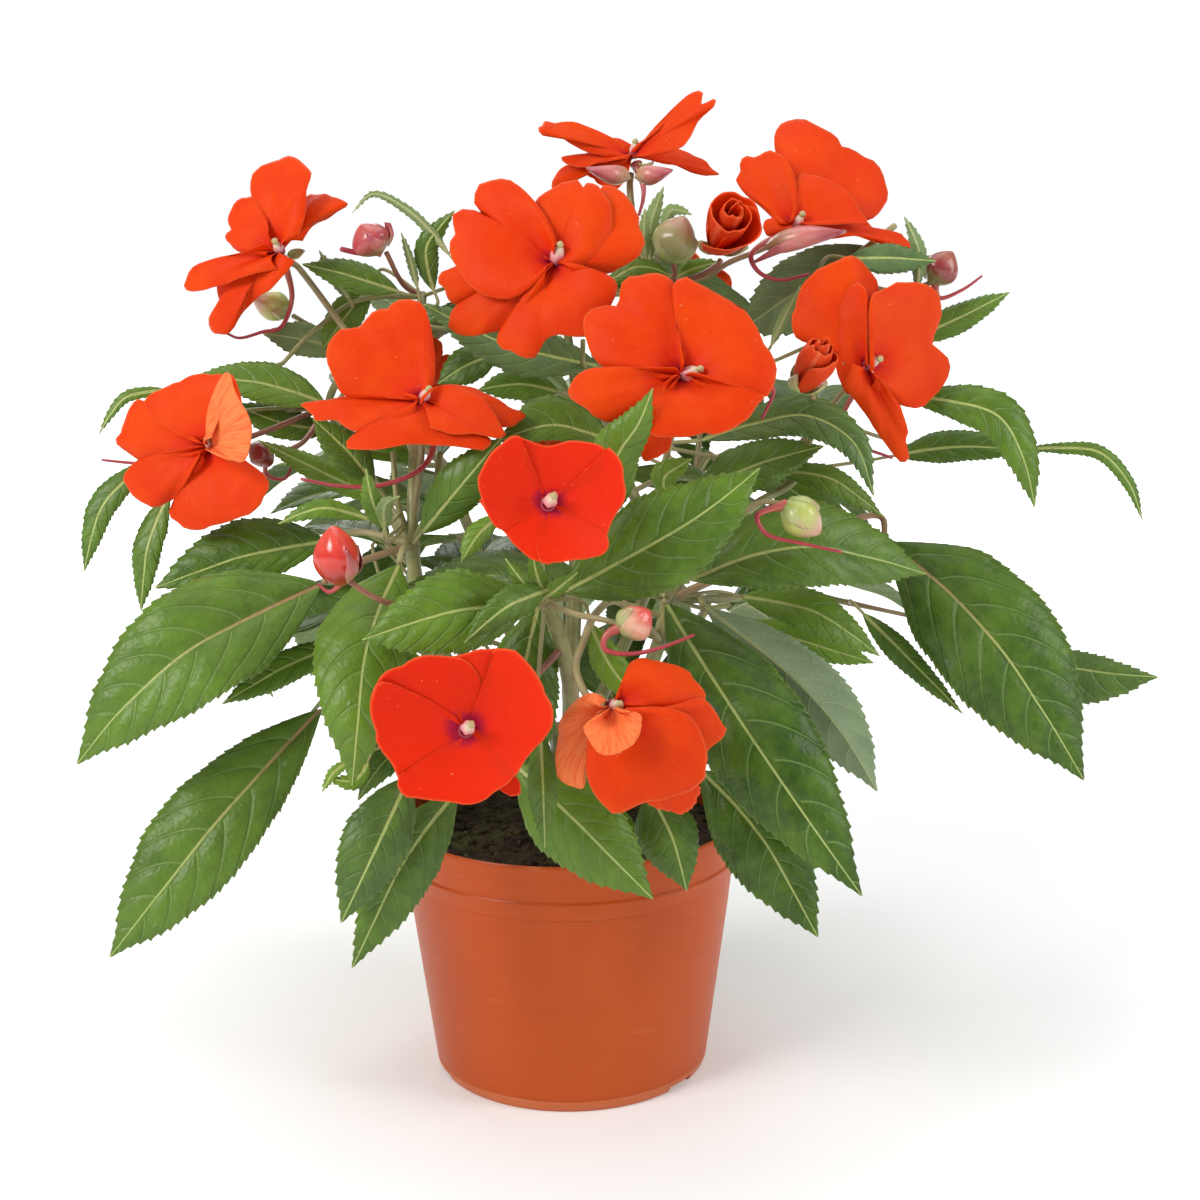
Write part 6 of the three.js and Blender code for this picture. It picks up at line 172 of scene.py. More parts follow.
    ["F6","flower_right","open",[97.56,-24.0,245.96],[0.64,-0.75,0.16],[[[[91.7,-17.29,252.41],[88.27,-17.62,252.65],[84.84,-17.95,252.89],[81.42,-18.26,253.24],[78.01,-18.57,253.7],[75.07,-18.7,255.33],[74.18,-18.46,258.6],[74.54,-18.07,262.01],[75.35,-17.64,265.34],[76.32,-17.2,268.62],[77.55,-16.75,271.81],[79.54,-16.26,274.57],[82.22,-15.77,276.68],[85.21,-15.29,278.32],[88.44,-14.84,279.45],[91.63,-14.38,280.69],[94.99,-14.06,280.44],[97.89,-13.95,278.59],[100.21,-13.98,276.04],[102.38,-14.03,273.35],[103.0,-14.29,270.21],[101.5,-14.76,267.18],[100.74,-15.18,263.84],[100.04,-15.6,260.48],[99.33,-16.02,257.12]],[0.1,-0.99,0.1],3,0],[[[97.21,-26.92,238.46],[94.56,-26.19,237.07],[91.83,-25.28,237.12],[90.06,-24.42,239.47],[88.89,-23.73,242.24],[88.17,-23.16,245.18],[87.78,-22.69,248.2],[87.54,-22.28,251.25],[87.38,-21.88,254.31],[87.28,-21.51,257.37],[87.3,-21.18,260.44],[87.63,-20.95,263.49],[88.68,-20.98,266.38],[90.37,-21.26,268.94],[92.28,-21.63,271.32],[94.95,-22.37,272.62],[96.94,-23.24,270.76],[97.68,-23.82,267.82],[97.96,-24.25,264.78],[98.04,-24.61,261.72],[98.06,-24.96,258.66],[98.09,-25.31,255.59],[98.17,-25.68,252.53],[98.3,-26.06,249.47],[98.43,-26.44,246.41]],[-0.31,-0.94,0.1],3,0],[[[97.63,-27.6,244.26],[97.46,-27.07,249.52],[97.23,-26.59,254.78],[97.04,-26.08,260.05],[97.1,-25.43,265.29],[99.12,-23.77,269.32],[103.31,-21.2,270.18],[107.43,-18.57,272.0],[111.95,-15.86,272.41],[116.51,-13.24,271.91],[120.89,-10.85,270.24],[124.39,-9.22,266.65],[124.88,-9.53,261.62],[123.09,-11.13,256.93],[121.06,-12.84,252.56],[124.87,-10.96,249.46],[127.98,-9.59,245.58],[126.12,-11.22,240.99],[122.93,-13.51,237.5],[119.19,-16.03,234.74],[115.65,-18.48,231.67],[111.39,-20.91,232.22],[107.04,-23.25,234.11],[102.97,-25.34,236.75],[99.06,-27.28,239.75]],[0.5,-0.86,0.1],3,0],[[[92.09,-29.62,247.61],[90.41,-29.23,244.89],[89.45,-28.71,241.92],[90.75,-27.97,239.1],[92.69,-27.25,236.63],[94.59,-26.52,234.12],[96.52,-25.8,231.65],[98.48,-25.07,229.18],[100.18,-24.34,226.56],[101.89,-23.61,223.94],[103.84,-22.89,221.48],[105.83,-22.16,219.04],[107.83,-21.44,216.62],[110.19,-20.77,214.59],[112.53,-20.81,215.94],[111.82,-21.52,219.0],[111.1,-22.24,222.05],[111.43,-22.84,225.05],[110.44,-23.57,228.03],[109.33,-24.31,230.96],[108.17,-25.04,233.88],[106.29,-25.77,236.39],[104.17,-26.48,238.72],[102.01,-27.19,241.0],[99.85,-27.9,243.29]],[0.1,-0.97,-0.2],3,0]],[[[98.27,-20.0,243.77],[91.96,-12.0,227.53],[97.76,-10.0,219.3],[109.24,-10.0,214.5]],0.9,0.5]],
    ["F7","flower_left","open",[-111.54,-36.0,223.3],[-0.38,-0.91,0.15],[[[[-114.91,-37.47,225.7],[-118.05,-36.01,226.51],[-121.2,-34.56,227.26],[-124.32,-33.1,228.11],[-127.33,-31.63,229.29],[-129.94,-30.21,231.21],[-131.98,-28.91,233.81],[-133.52,-27.77,236.77],[-131.95,-27.98,239.48],[-128.82,-29.09,240.76],[-125.77,-30.13,242.26],[-122.7,-31.19,243.68],[-119.55,-32.32,244.88],[-116.34,-33.51,245.84],[-113.08,-34.82,246.26],[-109.82,-36.23,246.07],[-106.56,-37.59,246.17],[-103.53,-38.85,246.25],[-102.37,-39.87,243.07],[-101.44,-40.82,239.77],[-100.31,-41.83,236.57],[-99.3,-42.79,233.34],[-101.03,-42.56,230.37],[-103.7,-41.8,228.16],[-106.38,-41.03,225.97]],[-0.38,-0.91,0.15],3,0],[[[-116.05,-34.63,226.7],[-118.91,-33.27,227.63],[-121.78,-31.91,228.5],[-124.65,-30.55,229.41],[-127.45,-29.19,230.47],[-130.05,-27.84,231.97],[-131.98,-26.63,234.34],[-133.51,-25.53,237.04],[-136.15,-24.37,237.34],[-138.53,-23.73,235.17],[-140.47,-23.35,232.53],[-142.23,-23.06,229.76],[-143.97,-22.79,226.98],[-145.27,-22.72,224.16],[-143.05,-23.99,222.13],[-140.55,-25.33,220.46],[-138.17,-26.64,218.62],[-135.23,-27.98,218.03],[-132.2,-29.28,217.9],[-129.16,-30.55,217.94],[-126.12,-31.81,218.11],[-123.08,-33.04,218.46],[-120.07,-34.2,219.12],[-117.09,-35.31,219.99],[-114.1,-36.43,220.84]],[-0.38,-0.91,0.15],3,0],[[[-114.94,-37.77,223.84],[-117.74,-36.68,223.26],[-120.55,-35.59,222.69],[-123.35,-34.51,222.09],[-126.14,-33.44,221.43],[-128.92,-32.38,220.74],[-131.7,-31.33,220.02],[-134.47,-30.29,219.23],[-137.18,-29.32,218.19],[-139.22,-28.82,216.0],[-141.25,-28.34,213.77],[-141.71,-28.63,210.89],[-140.16,-29.68,208.51],[-137.83,-30.92,206.98],[-135.35,-32.18,205.71],[-132.79,-33.44,204.59],[-130.05,-34.66,204.22],[-127.45,-35.54,205.55],[-124.87,-36.4,206.95],[-122.4,-37.16,208.59],[-120.02,-37.87,210.38],[-117.75,-38.5,212.32],[-115.73,-38.98,214.56],[-113.99,-39.3,217.06],[-112.29,-39.6,219.59]],[-0.38,-0.91,0.15],3,0],[[[-112.92,-42.37,221.16],[-114.93,-42.04,218.03],[-116.95,-41.7,214.9],[-119.05,-41.33,211.84],[-121.24,-40.9,208.84],[-123.28,-40.57,205.72],[-124.82,-40.47,202.36],[-122.5,-41.86,199.92],[-119.35,-43.4,198.63],[-115.98,-44.91,198.14],[-112.54,-46.29,198.55],[-109.5,-47.35,199.92],[-106.66,-48.58,199.74],[-103.47,-49.65,201.37],[-100.28,-50.73,202.97],[-96.98,-51.91,204.27],[-94.07,-52.79,206.36],[-92.23,-53.03,209.6],[-90.62,-53.16,212.89],[-92.04,-52.04,216.03],[-94.69,-50.55,218.21],[-97.52,-49.04,220.11],[-100.51,-47.51,221.76],[-103.61,-45.96,223.15],[-106.76,-44.42,224.44]],[-0.38,-0.91,0.15],3,0],[[[-105.99,-52.07,223.38],[-104.07,-54.09,222.74],[-102.15,-56.11,222.09],[-100.22,-58.13,221.47],[-98.25,-60.15,221.03],[-96.29,-61.89,221.59],[-95.03,-62.15,224.12],[-94.21,-62.03,226.85],[-93.77,-62.07,229.67],[-93.8,-62.18,232.52],[-94.34,-61.63,235.26],[-95.31,-60.55,237.72],[-96.4,-59.29,240.04],[-97.58,-57.83,242.2],[-98.81,-56.27,244.25],[-99.86,-54.9,246.52],[-101.54,-53.07,247.54],[-103.45,-51.33,246.38],[-104.69,-50.43,244.05],[-105.04,-50.48,241.22],[-105.23,-50.69,238.38],[-105.18,-51.14,235.56],[-105.44,-51.29,232.73],[-106.34,-50.77,230.08],[-107.39,-50.08,227.51]],[-0.7,-0.7,0.1],3,1]],[[[-114.52,-31.0,221.21],[-129.33,-24.0,216.73],[-140.09,-22.0,216.95],[-150.03,-22.0,218.04]],0.9,0.4]],
    ["F8","flower_left_centre","open",[-43.98,-50.78,237.96],[0.0,-0.55,0.83],[[[[-47.96,-50.39,239.2],[-52.37,-50.3,239.5],[-56.78,-50.21,239.79],[-61.19,-50.18,239.86],[-65.58,-50.33,239.4],[-68.99,-49.64,241.59],[-70.7,-48.41,245.47],[-72.5,-47.2,249.31],[-73.24,-45.9,253.42],[-71.23,-44.73,257.13],[-68.24,-43.83,259.99],[-63.85,-43.7,260.39],[-61.46,-42.76,263.38],[-58.22,-41.89,266.14],[-54.5,-41.89,266.14],[-52.7,-41.23,268.22],[-48.34,-41.06,268.77],[-43.99,-41.21,268.27],[-42.03,-42.36,264.64],[-40.99,-43.65,260.55],[-40.28,-44.97,256.39],[-39.81,-46.29,252.2],[-39.65,-47.62,247.99],[-40.14,-48.94,243.81],[-41.21,-50.23,239.73]],[0.0,-0.95,0.3],2,0],[[[-44.68,-53.4,238.18],[-47.67,-51.58,239.15],[-50.71,-49.82,240.07],[-53.93,-48.29,240.75],[-57.28,-46.98,241.22],[-60.84,-46.36,241.05],[-64.32,-46.64,240.1],[-67.74,-47.16,238.98],[-71.25,-47.36,238.1],[-74.82,-47.34,237.4],[-78.38,-46.88,237.08],[-81.43,-46.32,236.96],[-79.78,-48.87,235.08],[-77.48,-51.15,233.56],[-76.57,-52.5,232.58],[-73.0,-53.2,232.68],[-69.45,-53.95,232.75],[-67.81,-55.96,231.33],[-65.27,-58.09,229.99],[-61.79,-59.09,229.83],[-58.21,-59.53,230.16],[-54.72,-59.27,231.08],[-51.4,-58.54,232.37],[-48.25,-57.54,233.87],[-45.12,-56.51,235.39]],[-0.15,-0.65,0.75],2,0],[[[-43.0,-51.25,238.6],[-41.18,-49.29,239.69],[-39.37,-47.31,240.79],[-37.47,-45.39,241.81],[-35.26,-43.7,242.58],[-32.63,-42.56,242.79],[-29.82,-42.14,242.38],[-27.24,-42.71,241.23],[-24.99,-43.79,239.77],[-22.82,-44.96,238.25],[-20.56,-46.03,236.8],[-18.03,-46.71,235.58],[-15.35,-47.07,234.57],[-12.68,-47.47,233.54],[-12.0,-49.14,232.02],[-13.95,-51.03,231.03],[-15.95,-52.87,230.09],[-18.63,-53.91,229.97],[-21.44,-54.52,230.24],[-24.27,-54.85,230.73],[-27.08,-54.92,231.42],[-29.83,-54.76,232.29],[-32.56,-54.5,233.22],[-35.28,-54.22,234.17],[-38.0,-53.96,235.1]],[0.2,-0.61,0.76],2,0],[[[-43.83,-57.01,236.63],[-42.66,-55.36,238.35],[-41.09,-53.84,239.86],[-39.29,-52.43,241.22],[-37.21,-51.2,242.31],[-34.74,-50.44,242.81],[-32.14,-50.46,242.39],[-29.7,-50.96,241.44],[-27.44,-51.68,240.26],[-25.41,-52.64,238.84],[-23.67,-53.82,237.21],[-22.13,-55.12,235.48],[-20.76,-56.5,233.67],[-19.62,-57.98,231.78],[-18.67,-59.53,229.85],[-17.99,-61.16,227.86],[-19.92,-62.05,227.14],[-22.54,-62.01,227.59],[-25.18,-62.11,227.88],[-27.82,-62.33,228.03],[-30.47,-62.53,228.21],[-33.1,-62.58,228.55],[-35.66,-62.35,229.21],[-38.14,-61.93,230.08],[-40.62,-61.51,230.94]],[0.1,-0.75,0.65],2,0],[[[-45.46,-51.76,236.83],[-47.64,-54.08,234.16],[-50.2,-56.2,231.72],[-54.01,-57.22,230.54],[-58.01,-57.92,229.73],[-61.98,-58.7,228.83],[-65.6,-60.02,227.31],[-65.42,-62.15,224.85],[-61.5,-63.0,223.87],[-57.39,-63.36,223.45],[-53.3,-62.97,223.9],[-49.24,-62.42,224.54],[-45.13,-62.04,224.98],[-41.0,-61.83,225.22],[-36.86,-61.98,225.05],[-32.74,-62.31,224.67],[-28.61,-62.57,224.36],[-24.54,-63.06,223.8],[-21.68,-61.35,225.77],[-24.28,-59.86,227.49],[-28.39,-59.48,227.93],[-32.27,-58.56,228.99],[-35.58,-56.94,230.87],[-38.64,-55.1,232.98],[-41.72,-53.28,235.08]],[0.0,-0.76,0.65],2,0]],[[[-43.65,-47.79,235.87],[-40.59,-46.79,225.83],[-44.23,-50.78,217.6],[-56.34,-54.78,212.95],[-69.11,-55.78,212.91],[-80.95,-55.78,215.2]],1.2,0.5]],
    ["F9","flower_front_centre","open",[-4.95,-97.54,212.31],[0.0,-0.99,0.12],[[[[-8.58,-103.74,210.93],[-10.87,-103.9,209.61],[-13.1,-104.08,208.17],[-15.38,-104.24,206.83],[-17.88,-104.34,205.99],[-20.15,-104.21,207.12],[-21.49,-103.93,209.39],[-22.47,-103.63,211.84],[-23.43,-103.33,214.29],[-24.21,-103.02,216.81],[-24.49,-102.7,219.42],[-24.0,-102.38,222.0],[-22.86,-102.09,224.37],[-21.38,-101.83,226.55],[-19.54,-101.59,228.45],[-17.54,-101.38,230.19],[-15.37,-101.2,231.68],[-12.75,-101.17,231.93],[-10.73,-101.33,230.58],[-11.45,-101.64,228.06],[-11.47,-101.96,225.46],[-10.32,-102.25,223.09],[-8.9,-102.52,220.87],[-7.42,-102.79,218.69],[-5.97,-103.06,216.48]],[0.0,-0.99,0.12],-4,0],[[[-7.71,-101.22,215.12],[-9.01,-100.94,217.38],[-10.37,-100.67,219.62],[-11.69,-100.39,221.88],[-12.84,-100.1,224.22],[-13.47,-99.79,226.74],[-13.18,-99.48,229.31],[-11.34,-99.28,230.91],[-8.83,-99.37,230.17],[-6.38,-99.49,229.23],[-3.78,-99.49,229.2],[-1.24,-99.41,229.86],[1.36,-99.37,230.18],[3.99,-99.35,230.35],[6.59,-99.39,230.04],[9.11,-99.48,229.3],[11.43,-99.61,228.24],[12.12,-99.92,225.74],[12.17,-100.24,223.14],[11.04,-100.52,220.83],[8.87,-100.69,219.39],[6.46,-100.82,218.35],[3.99,-100.93,217.45],[1.52,-101.04,216.56],[-0.93,-101.16,215.6]],[0.0,-0.99,0.12],-4,0],[[[-2.04,-103.07,216.43],[0.63,-102.96,217.28],[3.33,-102.87,218.03],[6.01,-102.77,218.83],[8.59,-102.64,219.9],[10.55,-102.41,221.81],[10.96,-102.07,224.54],[10.81,-101.73,227.32],[12.44,-101.59,228.5],[14.54,-101.81,226.67],[15.93,-102.1,224.29],[16.6,-102.43,221.59],[17.0,-102.77,218.84],[17.05,-103.11,216.07],[16.3,-103.44,213.4],[14.98,-103.74,210.95],[13.45,-104.02,208.62],[12.1,-104.32,206.19],[11.27,-104.64,203.54],[9.08,-104.8,202.3],[6.45,-104.68,203.24],[4.03,-104.51,204.63],[1.85,-104.3,206.38],[-0.13,-104.06,208.34],[-2.12,-103.82,210.3]],[0.0,-0.99,0.12],-4,0],[[[-1.53,-102.56,212.39],[0.38,-102.69,211.27],[2.31,-102.83,210.19],[4.24,-102.96,209.12],[6.16,-103.09,208.03],[8.06,-103.23,206.91],[9.9,-103.38,205.69],[11.51,-103.56,204.19],[12.06,-103.81,202.12],[11.48,-104.07,200.01],[10.03,-104.26,198.44],[7.9,-104.33,197.88],[5.7,-104.36,197.66],[3.5,-104.39,197.42],[1.31,-104.43,197.09],[-0.89,-104.47,196.8],[-3.08,-104.5,196.48],[-5.26,-104.55,196.14],[-7.15,-104.43,197.08],[-8.12,-104.19,199.04],[-8.45,-103.92,201.21],[-8.15,-103.66,203.38],[-7.5,-103.4,205.48],[-6.77,-103.15,207.56],[-6.08,-102.89,209.64]],[0.0,-0.99,0.12],-4,0],[[[-4.39,-100.85,209.9],[-4.79,-101.13,207.61],[-5.2,-101.41,205.32],[-5.56,-101.69,203.03],[-5.74,-101.98,200.72],[-5.76,-102.26,198.39],[-6.49,-102.52,196.3],[-8.68,-102.44,196.92],[-10.69,-102.3,198.11],[-12.57,-102.13,199.49],[-14.26,-101.93,201.09],[-15.93,-101.73,202.72],[-17.46,-101.52,204.47],[-18.81,-101.28,206.37],[-20.09,-101.05,208.32],[-21.51,-100.82,210.16],[-23.06,-100.61,211.9],[-24.15,-100.36,213.9],[-22.46,-100.18,215.36],[-20.19,-100.12,215.89],[-17.86,-100.12,215.9],[-15.57,-100.18,215.42],[-13.33,-100.26,214.73],[-11.11,-100.35,214.0],[-8.87,-100.43,213.32]],[0.0,-0.99,0.12],-4,0]],[[[-5.01,-93.56,210.61],[-4.01,-85.58,203.0],[-0.25,-81.59,199.37]],1.0,0.5]],
    ["F10","flower_front_left","open",[-28.45,-120.0,152.24],[0.0,-0.99,0.1],[[[[-32.59,-123.68,155.57],[-35.54,-123.62,156.17],[-38.49,-123.56,156.75],[-41.43,-123.5,157.34],[-44.37,-123.43,158.0],[-47.26,-123.35,158.82],[-50.12,-123.26,159.74],[-52.75,-123.11,161.14],[-53.47,-122.83,163.87],[-52.39,-122.55,166.66],[-50.84,-122.29,169.21],[-48.46,-122.11,171.0],[-45.73,-121.98,172.26],[-42.9,-121.87,173.27],[-39.99,-121.8,174.01],[-37.01,-121.77,174.3],[-34.02,-121.8,174.0],[-31.04,-121.84,173.6],[-28.19,-121.94,172.67],[-26.04,-122.15,170.62],[-24.61,-122.41,167.99],[-23.74,-122.7,165.14],[-23.83,-123.01,162.17],[-24.86,-123.29,159.37],[-25.96,-123.58,156.59]],[0.0,-0.99,0.1],-5,0],[[[-30.49,-121.61,156.14],[-31.01,-121.35,158.67],[-31.54,-121.1,161.21],[-32.06,-120.84,163.74],[-32.55,-120.58,166.29],[-33.15,-120.32,168.81],[-33.7,-120.06,171.33],[-32.67,-119.85,173.44],[-30.09,-119.82,173.69],[-27.54,-119.78,174.09],[-25.14,-119.68,175.11],[-22.63,-119.61,175.76],[-20.04,-119.59,175.97],[-17.8,-119.64,175.47],[-16.09,-119.84,173.52],[-14.44,-120.04,171.52],[-12.94,-120.26,169.41],[-11.87,-120.5,167.06],[-12.33,-120.75,164.57],[-13.97,-120.96,162.58],[-15.92,-121.13,160.86],[-17.89,-121.3,159.17],[-19.99,-121.46,157.65],[-22.21,-121.6,156.3],[-24.42,-121.73,154.94]],[0.0,-0.99,0.1],-5,0],[[[-26.35,-126.51,157.36],[-24.25,-126.23,160.11],[-22.24,-125.95,162.91],[-21.04,-125.62,166.12],[-20.9,-125.27,169.56],[-20.96,-124.92,173.01],[-19.97,-124.59,176.2],[-16.66,-124.54,176.7],[-13.56,-124.69,175.25],[-11.07,-124.93,172.86],[-8.96,-125.21,170.12],[-7.14,-125.51,167.19],[-5.25,-125.81,164.3],[-4.22,-126.14,161.03],[-4.15,-126.49,157.59],[-4.77,-126.83,154.22],[-6.65,-127.13,151.33],[-8.95,-127.39,148.75],[-11.2,-127.66,146.14],[-13.08,-127.95,143.24],[-15.24,-128.23,140.56],[-18.22,-128.17,141.12],[-20.19,-127.88,143.95],[-21.91,-127.58,146.94],[-23.73,-127.28,149.87]],[0.0,-0.99,0.1],-5,0],[[[-25.42,-124.95,152.96],[-23.39,-125.19,150.59],[-21.36,-125.44,148.21],[-19.33,-125.68,145.84],[-17.3,-125.92,143.47],[-15.08,-126.14,141.28],[-16.39,-126.39,138.91],[-18.92,-126.57,137.07],[-21.5,-126.75,135.3],[-24.26,-126.9,133.84],[-27.29,-126.98,133.09],[-30.42,-126.99,133.03],[-33.52,-126.94,133.48],[-36.6,-126.88,134.05],[-39.65,-126.81,134.73],[-42.69,-126.73,135.49],[-45.64,-126.63,136.49],[-47.45,-126.38,138.97],[-46.46,-126.1,141.69],[-43.75,-125.94,143.24],[-40.94,-125.8,144.63],[-38.26,-125.64,146.23],[-35.63,-125.47,147.93],[-33.02,-125.29,149.65],[-30.4,-125.12,151.37]],[0.0,-0.99,0.1],-5,0],[[[-29.26,-126.21,150.51],[-30.89,-126.49,147.73],[-32.43,-126.78,144.91],[-34.36,-127.04,142.34],[-37.1,-127.21,140.69],[-40.23,-127.29,139.91],[-43.44,-127.32,139.57],[-46.67,-127.31,139.7],[-47.62,-127.03,142.42],[-49.07,-126.75,145.16],[-50.98,-126.49,147.75],[-52.52,-126.2,150.57],[-53.57,-125.89,153.6],[-53.98,-125.57,156.79],[-54.03,-125.24,160.0],[-53.62,-124.91,163.19],[-52.6,-124.6,166.24],[-50.29,-124.43,167.89],[-47.28,-124.55,166.75],[-44.42,-124.7,165.25],[-41.61,-124.87,163.65],[-38.82,-125.03,162.03],[-36.1,-125.21,160.3],[-33.45,-125.4,158.46],[-30.8,-125.58,156.61]],[0.0,-0.99,0.1],-5,0],[[[-22.14,-117.25,139.79],[-21.64,-117.34,138.93],[-21.16,-117.43,138.06],[-20.69,-117.52,137.18],[-20.18,-117.6,136.33],[-19.54,-117.68,135.58],[-18.68,-117.66,135.76],[-18.13,-117.58,136.58],[-17.52,-117.5,137.36],[-16.63,-117.45,137.8],[-15.67,-117.43,138.04],[-14.7,-117.44,137.9],[-13.99,-117.51,137.21],[-13.56,-117.6,136.32],[-13.45,-117.7,135.34],[-13.56,-117.8,134.35],[-13.88,-117.9,133.42],[-14.64,-117.96,132.8],[-15.62,-117.98,132.67],[-16.59,-117.95,132.88],[-17.49,-117.91,133.31],[-18.33,-117.86,133.84],[-19.16,-117.8,134.4],[-19.97,-117.74,134.96],[-20.81,-117.69,135.51]],[0.0,-0.99,0.1],-5,0]],[[[-28.2,-115.0,150.31],[-25.57,-104.0,138.95],[-20.02,-100.0,134.7]],1.0,0.5]],
    ["F11","flower_front_right","open",[12.43,-113.0,156.77],[0.1,-0.99,-0.1],[[[[13.07,-110.72,157.34],[14.96,-109.8,158.52],[15.17,-108.37,160.91],[16.2,-106.96,163.1],[16.86,-105.53,165.4],[18.22,-104.26,167.29],[20.78,-103.49,168.08],[23.55,-103.35,167.77],[26.29,-103.38,167.16],[29.03,-103.42,166.56],[31.73,-103.54,165.8],[34.16,-104.0,164.53],[36.1,-104.86,162.69],[37.81,-105.83,160.69],[39.17,-106.95,158.52],[38.7,-108.31,156.31],[36.76,-109.49,154.69],[34.2,-110.26,153.9],[31.44,-110.69,153.71],[28.65,-111.02,153.71],[25.86,-111.29,153.8],[23.07,-111.56,153.91],[20.28,-111.77,154.11],[17.49,-111.91,154.42],[14.71,-112.05,154.74]],[0.1,-0.86,0.5],5,0],[[[15.23,-113.55,155.12],[18.16,-113.28,155.53],[21.08,-113.02,155.94],[24.01,-112.75,156.35],[26.94,-112.49,156.75],[29.87,-112.22,157.16],[32.79,-111.96,157.59],[35.68,-111.73,158.27],[38.56,-111.42,158.22],[40.51,-110.99,156.07],[42.06,-110.56,153.58],[43.66,-110.13,151.12],[45.48,-109.7,148.82],[44.7,-109.53,146.45],[42.35,-109.59,144.64],[40.09,-109.62,142.72],[38.28,-109.65,141.17],[35.85,-110.08,142.81],[33.41,-110.51,144.45],[30.83,-110.93,145.85],[28.18,-111.34,147.13],[25.51,-111.75,148.36],[22.84,-112.16,149.58],[20.16,-112.57,150.8],[17.49,-112.98,152.03]],[0.1,-0.99,-0.1],5,0],[[[8.87,-121.2,156.62],[6.1,-121.02,153.52],[5.34,-120.63,149.43],[4.96,-120.22,145.27],[4.77,-119.79,141.11],[5.54,-119.32,137.02],[7.17,-118.83,133.19],[9.66,-118.35,129.86],[12.75,-117.9,127.19],[16.74,-117.8,128.23],[20.62,-117.76,129.82],[24.76,-117.62,130.47],[28.94,-117.42,130.72],[32.98,-117.32,131.74],[36.26,-117.42,134.33],[38.47,-117.67,137.82],[38.72,-118.09,141.97],[38.32,-118.55,146.12],[37.21,-119.03,150.13],[35.53,-119.52,153.93],[32.34,-119.96,156.51],[28.33,-120.29,157.69],[24.2,-120.58,158.39],[20.02,-120.83,158.63],[15.84,-121.06,158.77]],[0.05,-0.99,-0.1],5,0],[[[11.27,-115.1,159.05],[9.04,-113.79,160.59],[6.52,-112.3,160.56],[4.23,-110.95,159.15],[2.23,-109.78,157.22],[0.51,-108.77,154.97],[-0.97,-107.9,152.49],[-2.09,-107.24,149.77],[-2.8,-106.82,146.87],[-3.26,-106.55,143.91],[-3.54,-106.39,140.91],[-3.56,-106.38,137.89],[-2.92,-106.75,135.0],[-0.98,-107.89,133.04],[1.52,-109.36,132.29],[4.11,-110.89,132.07],[5.57,-111.75,134.14],[5.59,-111.76,137.15],[5.49,-111.7,140.16],[5.51,-111.71,143.18],[5.89,-111.94,146.16],[6.56,-112.33,149.07],[7.57,-112.92,151.85],[9.06,-113.8,154.31],[10.7,-114.76,156.66]],[-0.51,-0.86,0.0],5,1],[[[7.69,-125.47,157.17],[6.39,-125.65,156.29],[5.14,-125.86,155.33],[4.1,-126.09,154.2],[4.5,-126.4,152.74],[5.33,-126.68,151.42],[6.13,-126.96,150.08],[6.98,-127.24,148.77],[7.99,-127.49,147.58],[9.31,-127.66,146.74],[10.87,-127.7,146.55],[12.42,-127.63,146.88],[13.91,-127.53,147.39],[15.37,-127.4,148.0],[16.76,-127.24,148.74],[18.0,-127.04,149.69],[18.91,-126.78,150.96],[19.5,-126.47,152.39],[19.93,-126.16,153.89],[20.24,-125.84,155.4],[20.18,-125.52,156.94],[19.05,-125.31,157.91],[17.48,-125.28,158.08],[15.89,-125.27,158.09],[14.31,-125.26,158.16]],[0.0,-0.98,0.21],5,1],[[[20.27,-111.96,131.68],[20.82,-111.84,130.8],[21.32,-111.72,129.9],[21.85,-111.59,129.01],[22.48,-111.48,128.19],[23.26,-111.36,127.51],[24.14,-111.26,126.96],[25.06,-111.16,126.5],[26.02,-111.07,126.09],[27.0,-110.98,125.75],[27.99,-110.9,125.45],[29.01,-110.82,125.22],[30.03,-110.75,125.06],[31.07,-110.69,124.99],[32.11,-110.63,125.01],[33.15,-110.59,125.12],[34.15,-110.57,125.4],[35.03,-110.58,125.94],[35.69,-110.63,126.74],[36.18,-110.7,127.66],[36.59,-110.78,128.61],[36.87,-110.87,129.61],[37.08,-110.96,130.63],[37.27,-111.06,131.65],[37.49,-111.16,132.66]],[0.05,-0.99,-0.1],5,0]],[[[12.23,-110.01,156.01],[20.93,-99.03,154.88],[27.07,-93.05,156.31]],1.0,0.5]],
